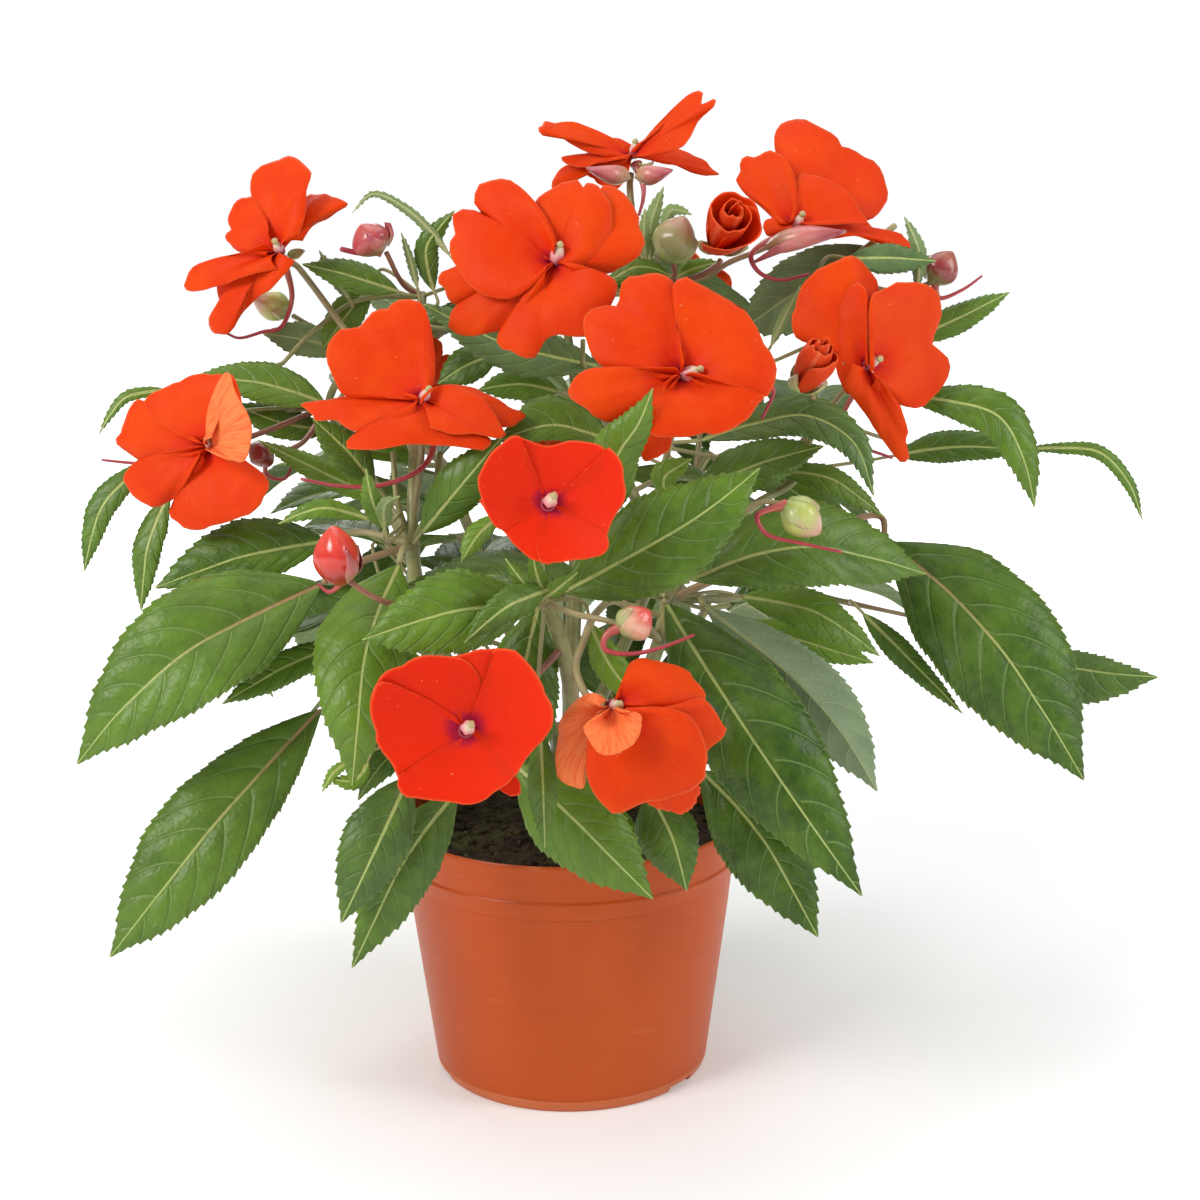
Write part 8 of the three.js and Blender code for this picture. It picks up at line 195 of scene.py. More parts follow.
# stems and stalks, in mm: name, CAD node, path, radius at its start and end
STEMS = [
    ["trunk","stem_front",[[0.0,-5.99,51.7],[0.0,-7.0,80.0],[-1.0,-9.0,104.0],[-2.0,-12.0,124.0]],5.2,4.0],
    ["b1","stem_front",[[-0.02,-7.63,95.83],[1.66,-34.0,108.16],[1.55,-62.0,141.04],[-1.55,-78.0,166.92],[-6.55,-84.19,181.76]],3.0,2.0],
    ["b2","stem_left",[[-0.65,-8.74,99.72],[-21.32,-24.0,115.92],[-38.03,-38.0,150.38],[-46.41,-46.0,175.1],[-48.32,-48.07,193.73]],3.0,2.1],
    ["b3","stem_right",[[-0.4,-8.63,99.68],[13.92,-22.0,111.33],[23.66,-34.0,141.89],[30.05,-38.0,159.41],[32.68,-40.11,173.71]],3.0,2.1],
    ["b25","stem_upper_left",[[-48.27,-48.21,192.37],[-47.88,-44.0,206.75],[-47.97,-34.0,221.44],[-47.05,-14.0,242.26],[-47.37,8.59,269.61]],1.9,1.4],
    ["b28","stem_far_left",[[-49.34,-46.62,192.31],[-62.92,-22.0,210.53],[-73.11,-6.0,224.76],[-79.74,4.0,232.99],[-72.62,20.69,250.58]],1.6,1.1],
    ["b39","stem_upper_centre",[[32.72,-40.67,172.28],[27.13,-20.0,192.69],[18.86,6.0,213.04],[12.48,18.0,237.79],[21.13,14.0,260.07],[31.53,5.59,280.45]],2.0,1.3],
    ["b37","stem_upper_right",[[32.01,-40.72,172.35],[45.82,-22.0,187.77],[63.95,-6.0,198.65],[80.35,4.0,209.15],[85.96,8.0,239.44],[84.15,8.0,270.09]],1.8,1.2],
    ["b3b","stem_right",[[31.72,-40.83,173.09],[58.28,-14.0,168.3],[80.08,-2.0,167.13],[98.19,0.06,163.26]],1.4,1.0],
    ["n1","stem_back_top",[[-0.01,-8.17,103.75],[2.0,20.0,146.0],[5.0,52.0,196.0],[5.0,70.0,225.0],[0.0,62.0,262.0],[-8.16,47.71,290.57]],3.0,1.2],
    ["n2","stem_back_left",[[0.15,-8.21,107.68],[-20.0,20.0,150.0],[-45.27,62.45,205.59]],2.6,1.6],
    ["n3","stem_back_right",[[-0.21,-8.3,107.63],[22.0,24.0,148.0],[50.34,72.58,200.63]],2.6,1.6],
    ["n4","stem_back_low",[[0.0,-8.53,97.66],[0.0,30.0,122.0],[0.0,85.94,150.48]],2.4,1.6],
    ["n5","stem_back_low_left",[[0.38,-8.51,97.62],[-28.0,30.0,126.0],[-55.52,80.96,150.46]],2.4,1.6],
    ["n6","stem_back_low_right",[[-0.43,-8.61,97.6],[28.0,32.0,124.0],[55.17,85.34,145.13]],2.4,1.6],
    ["e1","stem_upper_left",[[-46.41,7.91,268.96],[-68.44,10.0,267.73],[-83.14,4.0,258.08],[-94.02,-0.14,247.08]],1.0,0.7],
    ["e2","stem_upper_centre",[[12.81,18.92,237.36],[6.83,2.0,245.33],[6.45,-8.5,254.21]],1.0,0.8],
    ["e3","stem_left",[[-48.8,-47.84,192.04],[-41.51,-50.0,205.92],[-38.77,-45.8,221.81]],1.3,0.9],
    ["e4","stem_left",[[-48.16,-48.05,192.79],[-52.44,-46.0,205.49],[-54.0,-41.77,221.67]],1.2,0.8],
    ["p_L1","stem_left",[[-47.87,-47.91,193.19],[-65.98,-52.3,187.97],[-75.17,-57.82,183.24]],1.25,1.0],
    ["p_L2","stem_front",[[0.39,-8.8,99.72],[-70.45,-45.49,149.91],[-77.61,-51.8,142.05]],1.25,1.0],
    ["p_L3","stem_left",[[-47.71,-48.29,192.98],[-64.87,-39.17,196.06],[-75.19,-39.97,193.46]],1.25,1.0],
    ["p_L6","stem_left",[[-48.08,-47.28,193.06],[-50.21,-56.01,193.25],[-51.27,-59.71,189.63]],1.25,1.0],
    ["p_L7","stem_front",[[-5.76,-83.44,181.22],[-10.44,-87.61,181.77]],1.25,1.0],
    ["p_L8","stem_front",[[0.46,-8.27,99.59],[-43.45,-77.82,138.42],[-47.41,-85.75,129.68]],1.25,1.0],
    ["p_L9","stem_front",[[0.43,-8.12,99.57],[-27.71,-65.76,128.09],[-33.88,-73.75,121.09]],1.25,1.0],
    ["p_L10","stem_front",[[0.34,-8.01,99.45],[-24.24,-78.59,138.95],[-16.34,-84.93,132.01]],1.25,1.0],
    ["p_L13","stem_right",[[32.6,-39.71,172.9],[31.0,-47.71,174.03]],1.25,1.0],
    ["p_L14","stem_front",[[-0.22,-8.72,99.81],[33.9,-51.63,129.37],[41.32,-57.81,121.67]],1.25,1.0],
    ["p_L15","stem_right",[[32.12,-40.3,172.91],[41.05,-33.93,173.62],[44.49,-35.85,169.91]],1.25,1.0],
    ["p_L16","stem_right",[[32.01,-40.3,172.78],[100.82,-1.94,193.49],[108.64,-7.82,185.99]],1.25,1.0],
    ["p_L17","stem_right",[[96.98,-0.16,163.56],[135.46,8.62,153.03],[148.31,7.92,147.43]],0.8,0.6],
    ["p_L18","stem_right",[[32.54,-39.27,172.51],[32.49,-52.94,180.54],[38.29,-53.94,181.78]],1.25,1.0],
    ["p_L19","stem_front",[[-7.22,-84.01,180.81],[-1.65,-83.97,184.07]],1.25,1.0],
    ["p_L20","stem_upper_right",[[81.27,4.5,208.94],[32.73,-21.74,220.23],[43.61,-23.93,222.52]],0.8,0.6],
    ["p_L23","stem_upper_right",[[83.69,8.4,270.69],[100.22,-5.12,237.25],[111.47,-7.91,234.98]],1.25,1.0],
    ["p_L26","stem_upper_right",[[83.94,7.96,269.52],[112.03,13.11,290.25],[104.19,13.97,284.33]],1.25,1.0],
    ["p_L34","stem_upper_centre",[[12.34,18.33,237.61],[18.02,5.11,245.06],[12.6,4.07,245.08]],1.25,1.0],
    ["p_L43","stem_front",[[-6.35,-84.51,181.22],[-7.47,-68.67,183.38],[-8.61,-70.7,177.86]],1.25,1.0],
    ["p_K1","stem_back_top",[[4.57,69.64,224.72],[10.2,74.39,228.35]],1.25,1.0],
    ["p_K2","stem_back_top",[[5.03,69.37,224.61],[4.59,78.21,230.16],[3.74,85.18,229.85]],1.25,1.0],
    ["p_K3","stem_back_left",[[-45.01,62.84,204.89],[-44.74,40.31,207.82],[-52.38,44.72,207.78]],1.25,1.0],
    ["p_K4","stem_back_left",[[-44.95,61.04,205.04],[-45.97,80.19,204.17],[-49.13,92.0,205.68]],1.25,1.0],
    ["p_K5","stem_back_right",[[49.51,72.37,199.12],[54.19,68.85,207.51],[56.81,70.48,205.75]],1.25,1.0],
    ["p_K6","stem_back_right",[[49.83,70.83,200.03],[51.33,81.21,199.75],[52.69,86.29,199.25]],1.25,1.0],
    ["p_K7","stem_back_low",[[-0.0,84.7,149.99],[0.16,103.14,150.56],[-0.95,115.77,148.67]],1.25,1.0],
    ["p_K8","stem_back_low",[[-0.05,85.32,149.75],[2.1,72.85,159.71],[5.19,78.2,157.69]],1.25,1.0],
    ["p_K9","stem_back_low",[[0.44,85.23,149.86],[-6.71,81.46,152.12]],1.25,1.0],
    ["p_K10","stem_back_low_left",[[-54.59,80.27,149.6],[-59.87,76.73,154.74],[-64.8,78.05,153.31]],1.25,1.0],
    ["p_K11","stem_back_low_left",[[-54.81,79.44,149.56],[-57.58,87.65,156.05],[-61.47,93.2,153.96]],1.25,1.0],
    ["p_K12","stem_back_low_right",[[54.17,84.86,144.91],[64.38,86.6,145.97]],1.25,1.0],
    ["p_K13","stem_back_low_right",[[54.68,84.23,144.53],[57.71,91.59,149.05],[60.83,96.58,146.68]],1.25,1.0],
    ["p_X1","stem_back_low_left",[[-47.15,64.05,142.38],[-43.02,79.98,149.33]],1.0,0.8],
    ["p_X2","stem_back_left",[[-36.18,49.31,187.13],[-47.59,41.58,192.84]],1.0,0.8],
    ["p_X3","stem_upper_right",[[81.7,4.73,216.61],[83.66,15.58,221.05]],1.0,0.8],
    ["p_X4","stem_back_low_right",[[18.24,17.62,114.74],[16.32,34.47,121.8]],1.0,0.8],
    ["p_X5","stem_back_left",[[-32.99,42.75,179.17],[-40.68,35.04,182.83]],1.0,0.8],
    ["p_X6","stem_back_low_left",[[-20.02,20.16,118.32],[-30.59,14.13,122.6]],1.0,0.8],
    ["p_X7","stem_back_top",[[4.31,53.6,198.18],[15.9,51.9,202.14]],1.0,0.8],
    ["p_X8","stem_back_left",[[-37.95,51.44,190.98],[-49.5,52.33,194.9]],1.0,0.8],
    ["p_X9","stem_back_top",[[-1.91,60.29,265.19],[14.49,59.53,270.88]],1.0,0.8],
    ["p_X10","stem_back_right",[[47.43,69.52,196.16],[58.69,57.93,202.18]],1.0,0.8],
    ["p_X11","stem_upper_left",[[-46.98,-5.54,253.37],[-49.7,8.65,259.09]],1.0,0.8],
    ["p_X12","stem_back_top",[[-3.94,55.66,274.73],[9.26,52.17,279.62]],1.0,0.8],
    ["p_X13","stem_left",[[-47.21,-47.43,185.14],[-57.99,-34.16,191.7]],1.0,0.8],
    ["p_X14","stem_right",[[31.93,-39.03,166.88],[15.16,-42.8,173.9]],1.0,0.8],
    ["p_X15","stem_back_top",[[0.94,62.39,258.7],[-11.25,68.78,263.67]],1.0,0.8],
    ["p_X16","stem_back_top",[[4.62,58.18,206.6],[14.13,72.43,213.54]],1.0,0.8],
    ["p_X17","stem_far_left",[[-78.1,0.55,230.48],[-75.6,16.18,236.72]],1.0,0.8],
    ["p_X18","stem_back_right",[[32.48,40.74,166.71],[29.03,54.44,172.34]],1.0,0.8],
    ["p_X19","stem_left",[[-43.72,-44.49,169.82],[-55.95,-43.41,173.93]],1.0,0.8],
    ["p_X20","stem_back_left",[[-16.22,16.25,144.01],[-28.29,16.46,148.26]],1.0,0.8],
    ["p_X21","stem_back_low",[[-0.28,60.29,137.3],[14.21,58.18,142.57]],1.0,0.8],
    ["p_X22","stem_back_low_left",[[-25.83,27.23,123.99],[-39.49,37.89,130.38]],1.0,0.8],
    ["p_X23","stem_back_right",[[18.23,18.2,141.13],[20.79,29.53,146.04]],1.0,0.8],
    ["p_X24","stem_upper_centre",[[22.14,-6.22,203.51],[33.91,0.68,208.18]],1.0,0.8],
    ["p_X25","stem_back_left",[[-40.64,54.33,195.59],[-44.36,67.54,200.38]],1.0,0.8],
    ["p_X26","stem_right",[[21.75,-31.89,137.52],[34.81,-42.71,143.62]],1.0,0.8],
    ["p_X27","stem_back_left",[[-22.34,24.22,156.06],[-31.58,35.23,161.83]],1.0,0.8],
    ["p_X28","stem_back_right",[[20.45,23.54,146.33],[29.65,16.67,150.13]],1.0,0.8],
    ["d_F1","stem_upper_left",[[-47.53,-35.04,220.11],[-57.11,-19.18,238.83],[-72.88,2.01,258.06],[-86.3,3.35,276.9],[-89.28,0.25,280.24]],1.2,1.0],
    ["d_F2","stem_upper_centre",[[12.52,18.21,237.59],[8.23,-4.0,259.16],[1.75,-24.03,275.1]],1.2,1.0],
    ["d_F3","stem_upper_centre",[[27.06,-19.83,192.32],[33.01,-33.22,220.47],[35.97,-54.87,240.11]],1.2,1.0],
    ["d_F4","stem_upper_centre",[[29.51,7.1,275.78],[24.45,16.0,292.82],[23.34,21.0,303.6],[23.66,22.37,309.13]],1.3,1.1],
    ["d_F5","stem_upper_centre",[[27.51,8.34,273.8],[46.29,8.0,274.02],[56.2,6.0,279.24],[67.7,4.0,283.73],[73.11,4.0,286.93]],1.1,0.9],
    ["d_F6","stem_upper_right",[[81.9,5.73,218.71],[89.76,-4.0,231.87],[95.73,-16.14,242.1]],1.2,1.0],
    ["d_F7","stem_far_left",[[-79.17,4.59,233.21],[-93.29,-10.0,227.67],[-107.94,-28.02,223.15]],1.1,0.9],
    ["d_F8","stem_upper_left",[[-48.21,-45.84,199.42],[-44.82,-46.49,219.61],[-44.12,-47.57,232.67]],1.2,1.0],
    ["d_F9","stem_front",[[-6.3,-84.09,180.23],[-7.4,-82.98,193.71],[-5.6,-91.24,207.67]],1.2,1.0],
    ["d_F10","stem_front",[[-0.74,-76.73,166.64],[-13.47,-90.0,156.13],[-25.32,-111.75,151.64]],1.2,1.0],
    ["d_F11","stem_right",[[30.17,-37.78,159.25],[16.44,-62.32,176.81],[9.01,-80.5,177.38],[4.93,-92.64,171.53],[2.47,-98.78,164.6],[5.75,-106.9,157.66],[9.05,-109.45,156.8]],1.3,1.0],
    ["d_F12","stem_upper_centre",[[26.54,9.51,271.32],[43.14,1.71,274.12],[50.53,-5.47,278.02],[51.75,-7.73,279.76]],1.1,0.9],
    ["d_F13","stem_upper_right",[[80.32,4.39,208.81],[81.76,-14.0,224.52],[79.67,-29.95,236.8]],1.1,0.9],
    ["d_FB1","stem_back_right",[[49.95,71.77,199.41],[53.0,86.0,236.0],[47.65,89.57,256.52]],1.2,1.0],
    ["d_FB2","stem_back_left",[[-44.54,61.57,204.61],[-58.03,74.35,215.97],[-60.53,80.34,226.73]],1.2,1.0],
    ["d_FB3","stem_back_low",[[0.09,84.46,149.35],[-3.0,103.0,172.0],[-3.88,109.14,189.55]],1.2,1.0],
    ["d_B1","stem_upper_left",[[-46.77,8.62,268.48],[-53.09,2.0,273.02],[-57.44,-6.81,283.26]],1.0,0.8],
    ["d_B2","stem_left",[[-47.01,-45.18,175.43],[-37.54,-58.0,170.34],[-41.28,-80.0,177.93],[-52.05,-90.0,182.74],[-58.52,-91.0,186.27],[-63.2,-90.05,189.53]],1.0,0.8],
    ["d_B3","stem_right",[[32.32,-39.13,172.18],[38.04,-62.0,192.1],[52.04,-69.0,204.7],[59.16,-70.0,208.4],[65.2,-70.0,207.76]],1.0,0.8],
    ["d_B4","stem_front",[[-6.62,-83.82,181.35],[2.4,-91.0,178.97],[9.57,-97.0,178.6],[15.02,-97.95,177.33]],1.0,0.8],
    ["d_B5","stem_far_left",[[-79.65,4.37,233.15],[-84.8,-17.67,223.39],[-90.9,-27.48,220.58],[-93.96,-28.24,221.58]],1.0,0.8],
    ["d_B6","stem_upper_right",[[83.66,7.92,269.66],[100.82,10.46,270.84],[114.09,8.35,268.75],[123.27,5.2,271.62]],1.0,0.8],
    ["d_B7","stem_upper_centre",[[26.41,9.7,271.25],[36.5,2.28,273.85],[36.81,-3.18,279.22]],1.0,0.9],
    ["d_B8","stem_far_left",[[-72.3,19.86,249.47],[-82.27,22.18,255.65],[-92.32,17.02,262.58]],1.0,0.8],
]
# small leaves: where their stalks start
ROOTS = [
    ["L4",[-79.51,4.08,233.05]],
    ["L5",[-79.45,4.1,233.14]],
    ["L11",[-6.37,-83.84,181.69]],
    ["L12",[-0.16,-8.53,99.85]],
    ["L21",[80.87,4.3,209.21]],
    ["L21b",[80.93,4.38,209.14]],
    ["L22",[79.57,3.95,209.05]],
    ["L22b",[82.99,6.51,228.24]],
    ["L24",[83.96,8.01,269.82]],
    ["L25",[84.0,8.08,267.16]],
    ["L27",[83.96,8.28,269.45]],
    ["L28",[-47.63,8.33,268.61]],
    ["L29",[-47.56,4.01,263.21]],
    ["L29b",[-47.29,4.88,264.03]],
    ["L30",[-46.78,8.52,268.78]],
    ["L30b",[-70.78,9.35,265.29]],
    ["L31",[-72.84,20.24,249.84]],
    ["L32",[-79.78,4.34,232.95]],
    ["L33",[-93.26,0.11,247.53]],
    ["L35",[12.46,18.51,237.91]],
    ["L36",[32.79,-39.58,172.58]],
    ["L37",[-6.46,-83.4,180.94]],
    ["L37b",[-6.4,-83.26,181.03]],
    ["L37c",[-6.17,-83.22,180.95]],
    ["L37d",[-6.39,-83.78,181.17]],
    ["L39",[97.63,0.34,163.38]],
    ["L41",[-48.03,-48.11,192.73]],
    ["L44",[-48.46,-47.6,192.81]],
    ["Lr1",[31.95,-40.15,172.95]],
    ["Lr2",[31.96,-40.31,173.18]],
    ["Lr3",[-6.92,-84.48,181.64]],
    ["Lb1",[0.64,-8.75,99.45]],
    ["Lc1",[-51.54,-46.16,203.23]],
    ["Lc2",[-50.23,-46.68,199.27]],
    ["Lc3",[-50.41,-46.5,199.89]],
    ["Lc4",[-48.07,-48.35,192.73]],
    ["Lc5",[-42.06,-49.74,205.97]],
    ["Ld1",[-79.86,4.31,233.61]],
    ["Ld2",[9.48,7.57,243.11]],
    ["Ld3",[-48.0,-0.42,259.41]],
    ["Ld4",[-47.12,7.94,268.85]],
    ["Le1",[25.93,10.54,268.9]],
    ["Le2",[31.33,6.31,279.46]],
    ["Le3",[31.28,6.45,279.46]],
    ["Le4",[30.88,5.87,278.88]],
    ["Le5",[29.21,7.08,277.41]],
    ["Lf1",[29.32,-27.78,183.9]],
    ["Lf2",[86.04,8.32,252.11]],
    ["Lg1",[-39.02,-38.88,153.78]],
    ["Lg2",[-38.43,-38.26,152.17]],
    ["Lg3",[-44.32,-44.48,170.27]],
    ["Lh1",[-0.39,-8.66,100.03]],
    ["Lh2",[1.32,-54.11,132.63]],
    ["Li1",[32.1,-40.33,173.38]],
    ["Li2",[0.47,-8.69,99.45]],
    ["Ks0",[5.03,68.53,231.24]],
    ["Ks1",[3.92,68.68,231.18]],
    ["Ks2",[-8.06,47.68,289.89]],
    ["Ks3",[-7.65,47.8,289.86]],
    ["Ks4",[-8.46,47.83,289.84]],
]
WORLD = 0.40
# soft lights: name, place, target, width, height, power, colour
LIGHTS = [
    ["key_left", (-1.2, -0.95, 1.15), (0.0, 0.0, 0.15), 0.7, 0.7, 21.0, (1.0, 0.985, 0.96)],
    ["key_right", (1.25, -0.55, 0.85), (0.0, 0.0, 0.15), 0.5, 0.9, 9.0, (0.98, 0.99, 1.0)],
    ["top", (0.0, 0.25, 1.7), (0.0, 0.0, 0.1), 1.4, 1.4, 10.0, (1.0, 1.0, 1.0)],
    ["back", (-0.5, 1.3, 1.0), (0.0, 0.0, 0.2), 0.9, 0.7, 6.0, (1.0, 1.0, 1.0)],
]


# ------------------------------------------------------------ curves
def unit(v):
    v = np.asarray(v, float)
    return v / (np.linalg.norm(v, axis=-1, keepdims=True) + 1e-12)


def spline(M, ts):
    """Smooth curve through the points M at the parameters ts (0 to 1)."""
    M = np.asarray(M, float)
    n = len(M) - 1
    if n == 1:
        return M[0] + (M[1] - M[0]) * np.asarray(ts)[:, None]
    x = np.clip(ts, 0, 1) * n
    i = np.minimum(x.astype(int), n - 1)
    u = (x - i)[:, None]
    E = np.vstack([2 * M[0] - M[1], M, 2 * M[-1] - M[-2]])
    p0, p1, p2, p3 = E[i], E[i + 1], E[i + 2], E[i + 3]
    return 0.5 * (2 * p1 + (p2 - p0) * u + (2 * p0 - 5 * p1 + 4 * p2 - p3) * u * u + (3 * p1 - p0 - 3 * p2 + p3) * u ** 3)


def carry(v, a, b):
    """v turned by the smallest rotation that carries a onto b."""
    k = np.cross(a, b)
    c = float(np.dot(a, b))
    return v * c + np.cross(k, v) + k * np.dot(k, v) / (1 + c + 1e-9)


def frames(T, start, v):
    """v carried along the headings T from the index start."""
    out = [None] * len(T)
    out[start] = np.array(v, float)
    for i in range(start + 1, len(T)):
        out[i] = carry(out[i - 1], T[i - 1], T[i])
    for i in range(start - 1, -1, -1):
        out[i] = carry(out[i + 1], T[i + 1], T[i])
    return np.array(out)


def wave(x, seed, octaves=3):
    """Smooth repeatable noise along x, about -1 to 1."""
    x = np.asarray(x, float)
    y = np.zeros_like(x)
    for k in range(octaves):
        a = (seed * 12.9898 + k * 78.233) % 6.283
        b = (seed * 4.898 + k * 31.7) % 6.283
        y += (np.sin(x * (1.7 + 1.9 * k) + a) + np.sin(x * (2.9 + 2.3 * k) + b)) * 0.5 / (k + 1)
    return y / 1.4


def rnd(seed, k=0):
    return (math.sin(seed * 91.7 + k * 47.3 + 1.3) * 43758.5453) % 1.0


# ------------------------------------------------------------ meshes
class Shape:
    """Closed meshes gathered into one piece: vertices in mm, faces, material numbers, point attributes."""

    def __init__(self):
        self.V, self.F, self.M, self.A, self.n = [], [], [], [], 0

    def add(self, V, F, mats, attr):
        V = np.asarray(V, float)
        F = [np.asarray(f, int) for f in F]
        vol = 0.0
        for f in F:
            for k in range(1, f.shape[1] - 1):
                vol += np.einsum("ij,ij->i", V[f[:, 0]], np.cross(V[f[:, k]], V[f[:, k + 1]])).sum()
        if vol < 0:
            F = [f[:, ::-1] for f in F]
        self.V.append(V)
        for f, m in zip(F, mats):
            self.F += (f + self.n).tolist()
            self.M += [m] * len(f) if np.isscalar(m) else list(m)
        self.A.append({k: np.broadcast_to(np.asarray(v, float), (len(V), 3)) for k, v in attr.items()})
        self.n += len(V)

    def make(self, name, mats, node, slot, flat=False):
        me = bpy.data.meshes.new(name)
        V = np.vstack(self.V) * MM
        me.from_pydata(V.tolist(), [], self.F)
        for k in sorted({k for a in self.A for k in a}):
            at = me.attributes.new(k, "FLOAT_VECTOR", "POINT")
            at.data.foreach_set("vector", np.vstack([a.get(k, np.zeros((len(v), 3))) for a, v in zip(self.A, self.V)]).astype(np.float32).ravel())
        for m in mats:
            me.materials.append(m)
        me.polygons.foreach_set("material_index", self.M)
        me.polygons.foreach_set("use_smooth", [not flat] * len(self.F))
        me.update()
        ob = bpy.data.objects.new(name, me)
        bpy.context.scene.collection.objects.link(ob)
        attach(ob, "root")
        for nd in ([node] if isinstance(node, str) else node):
            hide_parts(nd)
        return ob


def sheet(top, bottom):
    """Faces of a closed sheet between two grids of points: vertices, and the quads of its top, bottom and rim."""
    a, b = top.shape[:2]
    n = a * b
    I = np.arange(n).reshape(a, b)
    q = np.stack([I[:-1, :-1], I[1:, :-1], I[1:, 1:], I[:-1, 1:]], -1).reshape(-1, 4)
    loop = np.concatenate([I[0, :], I[1:, -1], I[-1, -2::-1], I[-2:0:-1, 0]])
    nxt = np.roll(loop, -1)
    rim = np.stack([loop, nxt, nxt + n, loop + n], -1)
    return np.vstack([top.reshape(-1, 3), bottom.reshape(-1, 3)]), q, q[:, ::-1] + n, rim


def rod(path, radii, sides, steps, closed_round=0.0):
    """A round rod along a path; radii is one number per step."""
    ts = np.linspace(0, 1, steps + 1)
    C = spline(path, ts)
    T = unit(np.gradient(C, axis=0))
    a0 = unit(np.cross(T[0], [0, 0, 1.0] if abs(T[0][2]) < 0.9 else [1.0, 0, 0]))
    A = frames(T, 0, a0)
    B = np.cross(T, A)
    an = np.arange(sides) * 2 * np.pi / sides
    R = np.asarray(radii, float)
    ring = C[:, None, :] + (np.cos(an)[None, :, None] * A[:, None, :] + np.sin(an)[None, :, None] * B[:, None, :]) * R[:, None, None]
    V = np.vstack([ring.reshape(-1, 3), C[:1] - T[:1] * closed_round * R[0], C[-1:] + T[-1:] * closed_round * R[-1]])
    I = np.arange((steps + 1) * sides).reshape(steps + 1, sides)
    J = np.roll(I, -1, axis=1)
    q = np.stack([I[:-1], J[:-1], J[1:], I[1:]], -1).reshape(-1, 4)
    e0, e1 = len(V) - 2, len(V) - 1
    caps = np.vstack([np.stack([np.full(sides, e0), J[0], I[0]], -1), np.stack([np.full(sides, e1), I[-1], J[-1]], -1)])
    s = np.concatenate([[0], np.cumsum(np.linalg.norm(np.diff(C, axis=0), axis=1))])
    return V, q, caps, s, ts


# ------------------------------------------------------------ leaves
def blade_width(t, peak):
    # widest at peak, a wedge towards the stalk and a drawn-out point
    x = np.clip((t - peak) / (1 - peak), 0, 1)
    y = np.clip((peak - t) / peak, 0, 1)
    fore = (1 - x ** 1.95) ** 1.12 * (1 - 0.16 * np.exp(-((x - 0.86) / 0.10) ** 2))
    aft = (1 - y ** 2.1) ** 1.0
    return np.where(t > peak, fore, aft)


